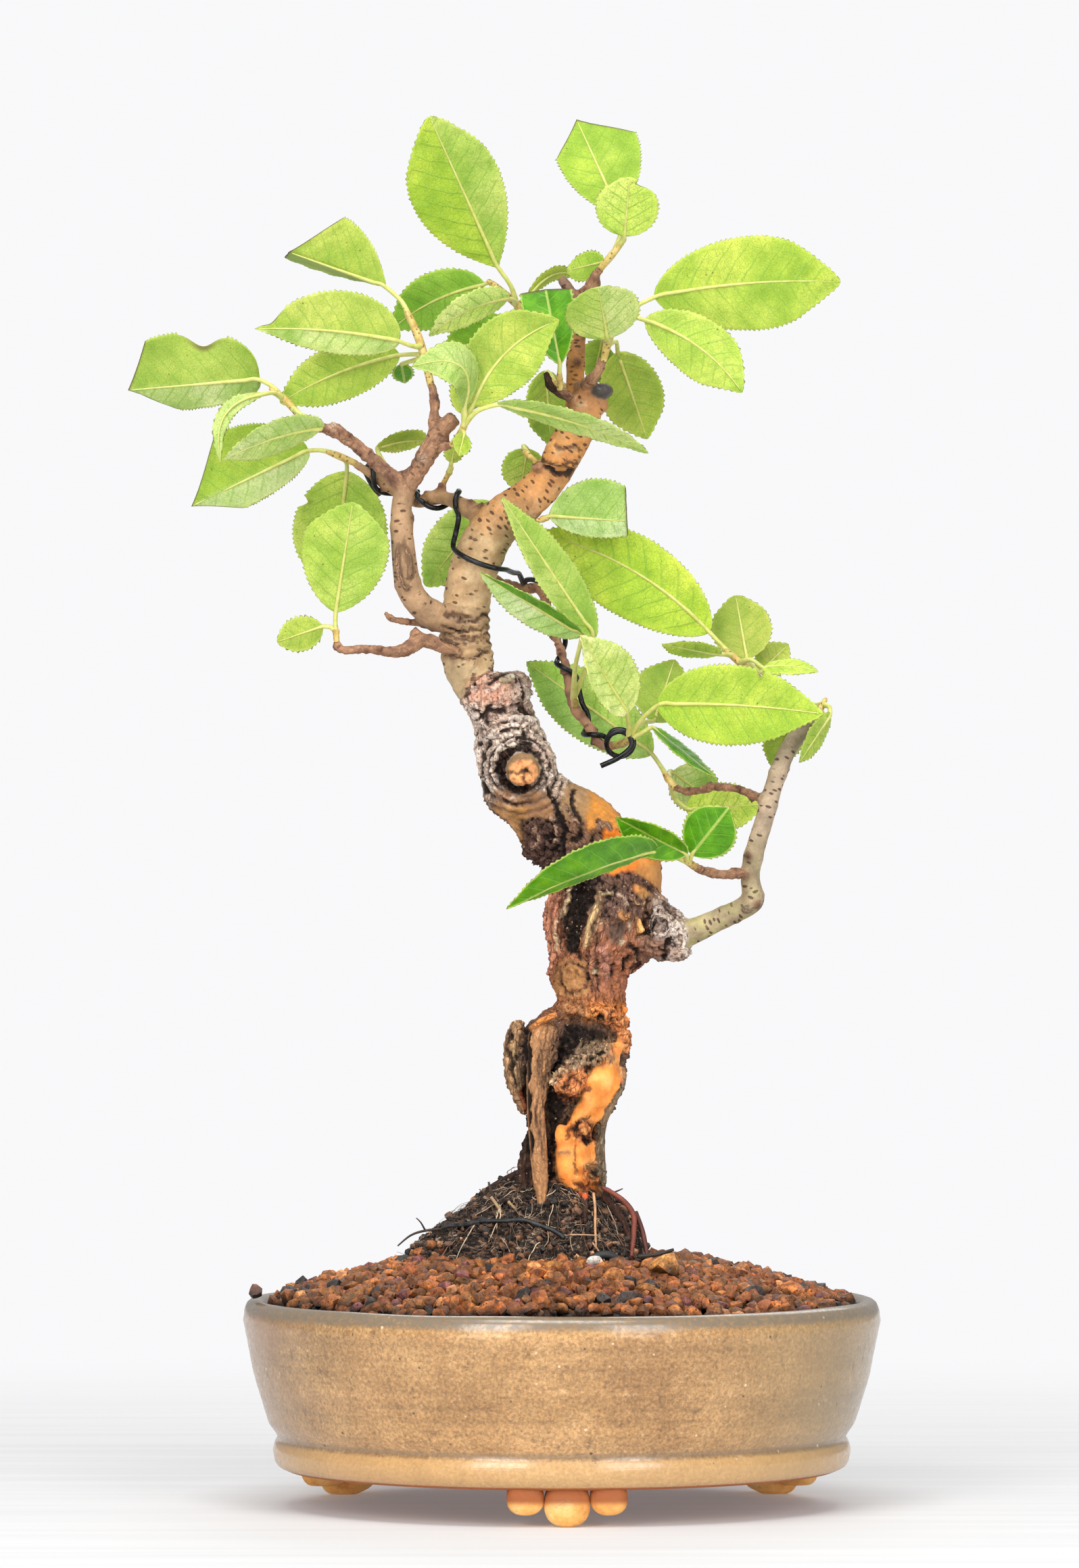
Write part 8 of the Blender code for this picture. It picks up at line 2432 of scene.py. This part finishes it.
def make_leaves():
    finishes = (leaf_blade_finish(), stalk_finish(), shoot_finish())
    for name, (shoot, leaves) in SPRAYS.items():
        draw = random.Random(name)
        verts, faces, kinds = [], [], []
        held = {"leaf": [], "top": [], "margin": [], "dry": [], "blade": []}

        def take(points, sides, kind, more=None):
            faces.extend(tuple(k + len(verts) for k in side) for side in sides)
            verts.extend(tuple(p) for p in points)
            kinds.extend([kind] * len(sides))
            plain = {"leaf": LIME, "top": 0, "margin": 5, "dry": 0, "blade": (0, 0, 0)}
            for key in held:
                held[key].extend(more[key] if more else [plain[key]] * len(points))

        for number, one in enumerate(leaves):
            points, sides, more, sunk = fine_blade(name, number, one, draw)
            take(points, sides, 0, more)
            take(*fine_stalk(one, sunk), 1)
        start, second = Vector(shoot[0][:3]), Vector(shoot[1][:3])
        back = start + (start - second).normalized() * 1.0
        rows = smooth_path([(*back, shoot[0][3])] + list(shoot), 0.5)
        take(*ring_tube(rows, 14), 2)
        for one in leaves:
            place = Vector(one["stalk"][0])
            way = Vector(one["stalk"][1]) - place
            turn = way.to_track_quat("Z", "Y").to_matrix()
            take(*ball(place, (0.95, 0.95, 1.15), 6, turn), 2)
        tip = Vector(shoot[-1][:3])
        way = tip - Vector(shoot[-2][:3])
        turn = way.to_track_quat("Z", "Y").to_matrix()
        take(*ball(tip + way.normalized() * 0.5, (0.75, 0.75, 1.3), 6, turn), 2)
        obj = mesh_piece(f"{name}_fine", verts, faces)
        for finish in finishes:
            obj.data.materials.append(finish)
        obj.data.polygons.foreach_set("material_index", kinds)
        for key in ("top", "margin", "dry"):
            attribute(obj, key, held[key])
        colour_attribute(obj, "leaf", np.array(held["leaf"]))
        made = obj.data.attributes.new("blade", "FLOAT_VECTOR", "POINT")
        made.data.foreach_set("vector", np.array(held["blade"], np.float32).ravel())
        outwards(obj)
        finish_piece(obj, "leaf", [name])


# Wires

def fine_wound(points, knots, lift, step=0.7):
    """Points of the wire round a branch, through knots of share of its length and turns."""
    total = sum((Vector(b[:3]) - Vector(a[:3])).length for a, b in zip(points, points[1:]))
    found = []
    for (share_a, turn_a), (share_b, turn_b) in zip(knots, knots[1:]):
        _, _, size = along(points, (share_a + share_b) / 2)
        around = math.tau * (size + WIRE_RADIUS + lift) * abs(turn_b - turn_a)
        count = max(2, round(math.hypot(total * (share_b - share_a), around) / step))
        for k in range(count):
            t = k / count
            place, way, size = along(points, share_a + (share_b - share_a) * t)
            front = Vector((0, -1, 0))
            front = (front - way * front.dot(way)).normalized()
            side = way.cross(front)
            turn = math.tau * (turn_a + (turn_b - turn_a) * t)
            found.append(place + (front * math.cos(turn) + side * math.sin(turn))
                         * (size + WIRE_RADIUS + lift))
    return found


def wire_finish(name, dark, worn, roughness):
    """Anodised wire, worn pale in streaks."""
    paint = Paint(name, roughness, Metallic=0.55, Specular_IOR_Level=0.5)
    place = paint.where()
    rub = paint.clouds(place, 260, 5, 0.7)
    paint.set("Base Color", paint.ramp(rub, (0.45, dark), (0.75, worn)))
    paint.set("Roughness", paint.band(rub, 0.3, 0.7, roughness - 0.06, roughness + 0.14))
    paint.relief(rub, 0.25, 0.15)
    return paint.material


# The wire's end: a loop round the shoot and the cut tip
WIRE_LOOP = (
    (12.2, -0.2, 203.9), (13.4, -1.6, 205.9), (15.8, -2.0, 206.4), (18.2, -1.4, 205.2),
    (19.2, -0.2, 202.7), (18.0, 1.0, 200.2), (15.4, 1.2, 199.2), (12.8, 0.4, 200.4),
    (11.9, -1.6, 202.7), (13.0, -3.0, 205.0), (15.6, -3.6, 205.9), (18.0, -3.6, 204.6),
    (18.7, -3.6, 202.4), (17.4, -3.6, 200.6), (14.6, -3.4, 198.6), (10.4, -3.0, 196.7),
)


def make_wires():
    limb = fine_wound(smooth_path(BRANCHES["wired_limb"][::-1], 2.0), WIRED_LIMB_TURNS, 0.25)
    twig = fine_wound(smooth_path(BRANCHES["middle_twig"], 2.0), MIDDLE_TWIG_TURNS, 0.25)
    route = (list(WIRE_START) + [tuple(p) for p in limb] + list(WIRE_BRIDGE)
             + [tuple(p) for p in twig] + list(WIRE_LOOP))
    rows = smooth_path([(*p, WIRE_RADIUS) for p in route], 0.7)
    wire = mesh_piece("training_wire_fine", *ring_tube(rows, 14))
    wire.data.materials.append(wire_finish("black_wire", (0.006, 0.006, 0.007), (0.05, 0.05, 0.055),
                                           0.28))
    outwards(wire)
    finish_piece(wire, "training_wire", ["training_wire"], 50)

    lift = TIE_RADIUS + 0.9
    route = [(x, y, float(mound_height(np.array(x), np.array(y))) + lift) for x, y in TIE_ROUTE]
    rows = smooth_path(route, 0.8)
    level = mound_height(rows[:, 0], rows[:, 1]) + lift
    rows[:, 2] = np.maximum(rows[:, 2], level)
    kinked = rows[:, 2] + 0.15 * np.sin(np.arange(len(rows)) * 0.5)
    rows = np.c_[rows[:, :2], kinked, np.full(len(rows), TIE_RADIUS)]
    tie = mesh_piece("tie_wire_fine", *ring_tube(rows, 14))
    tie.data.materials.append(wire_finish("grey_black_wire", (0.018, 0.019, 0.020),
                                          (0.10, 0.10, 0.105), 0.42))
    outwards(tie)
    finish_piece(tie, "tie_wire", ["tie_wire"], 50)


def main():
    make_view()
    make_light()
    make_stage()
    make_pot()
    dress_drain_mesh()
    make_soil()
    make_mound()
    make_wood()
    make_leaves()
    make_wires()
    low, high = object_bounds()
    sizes = {"cad": [list(cad_low), list(cad_high)], "scene": [list(low), list(high)]}


main()
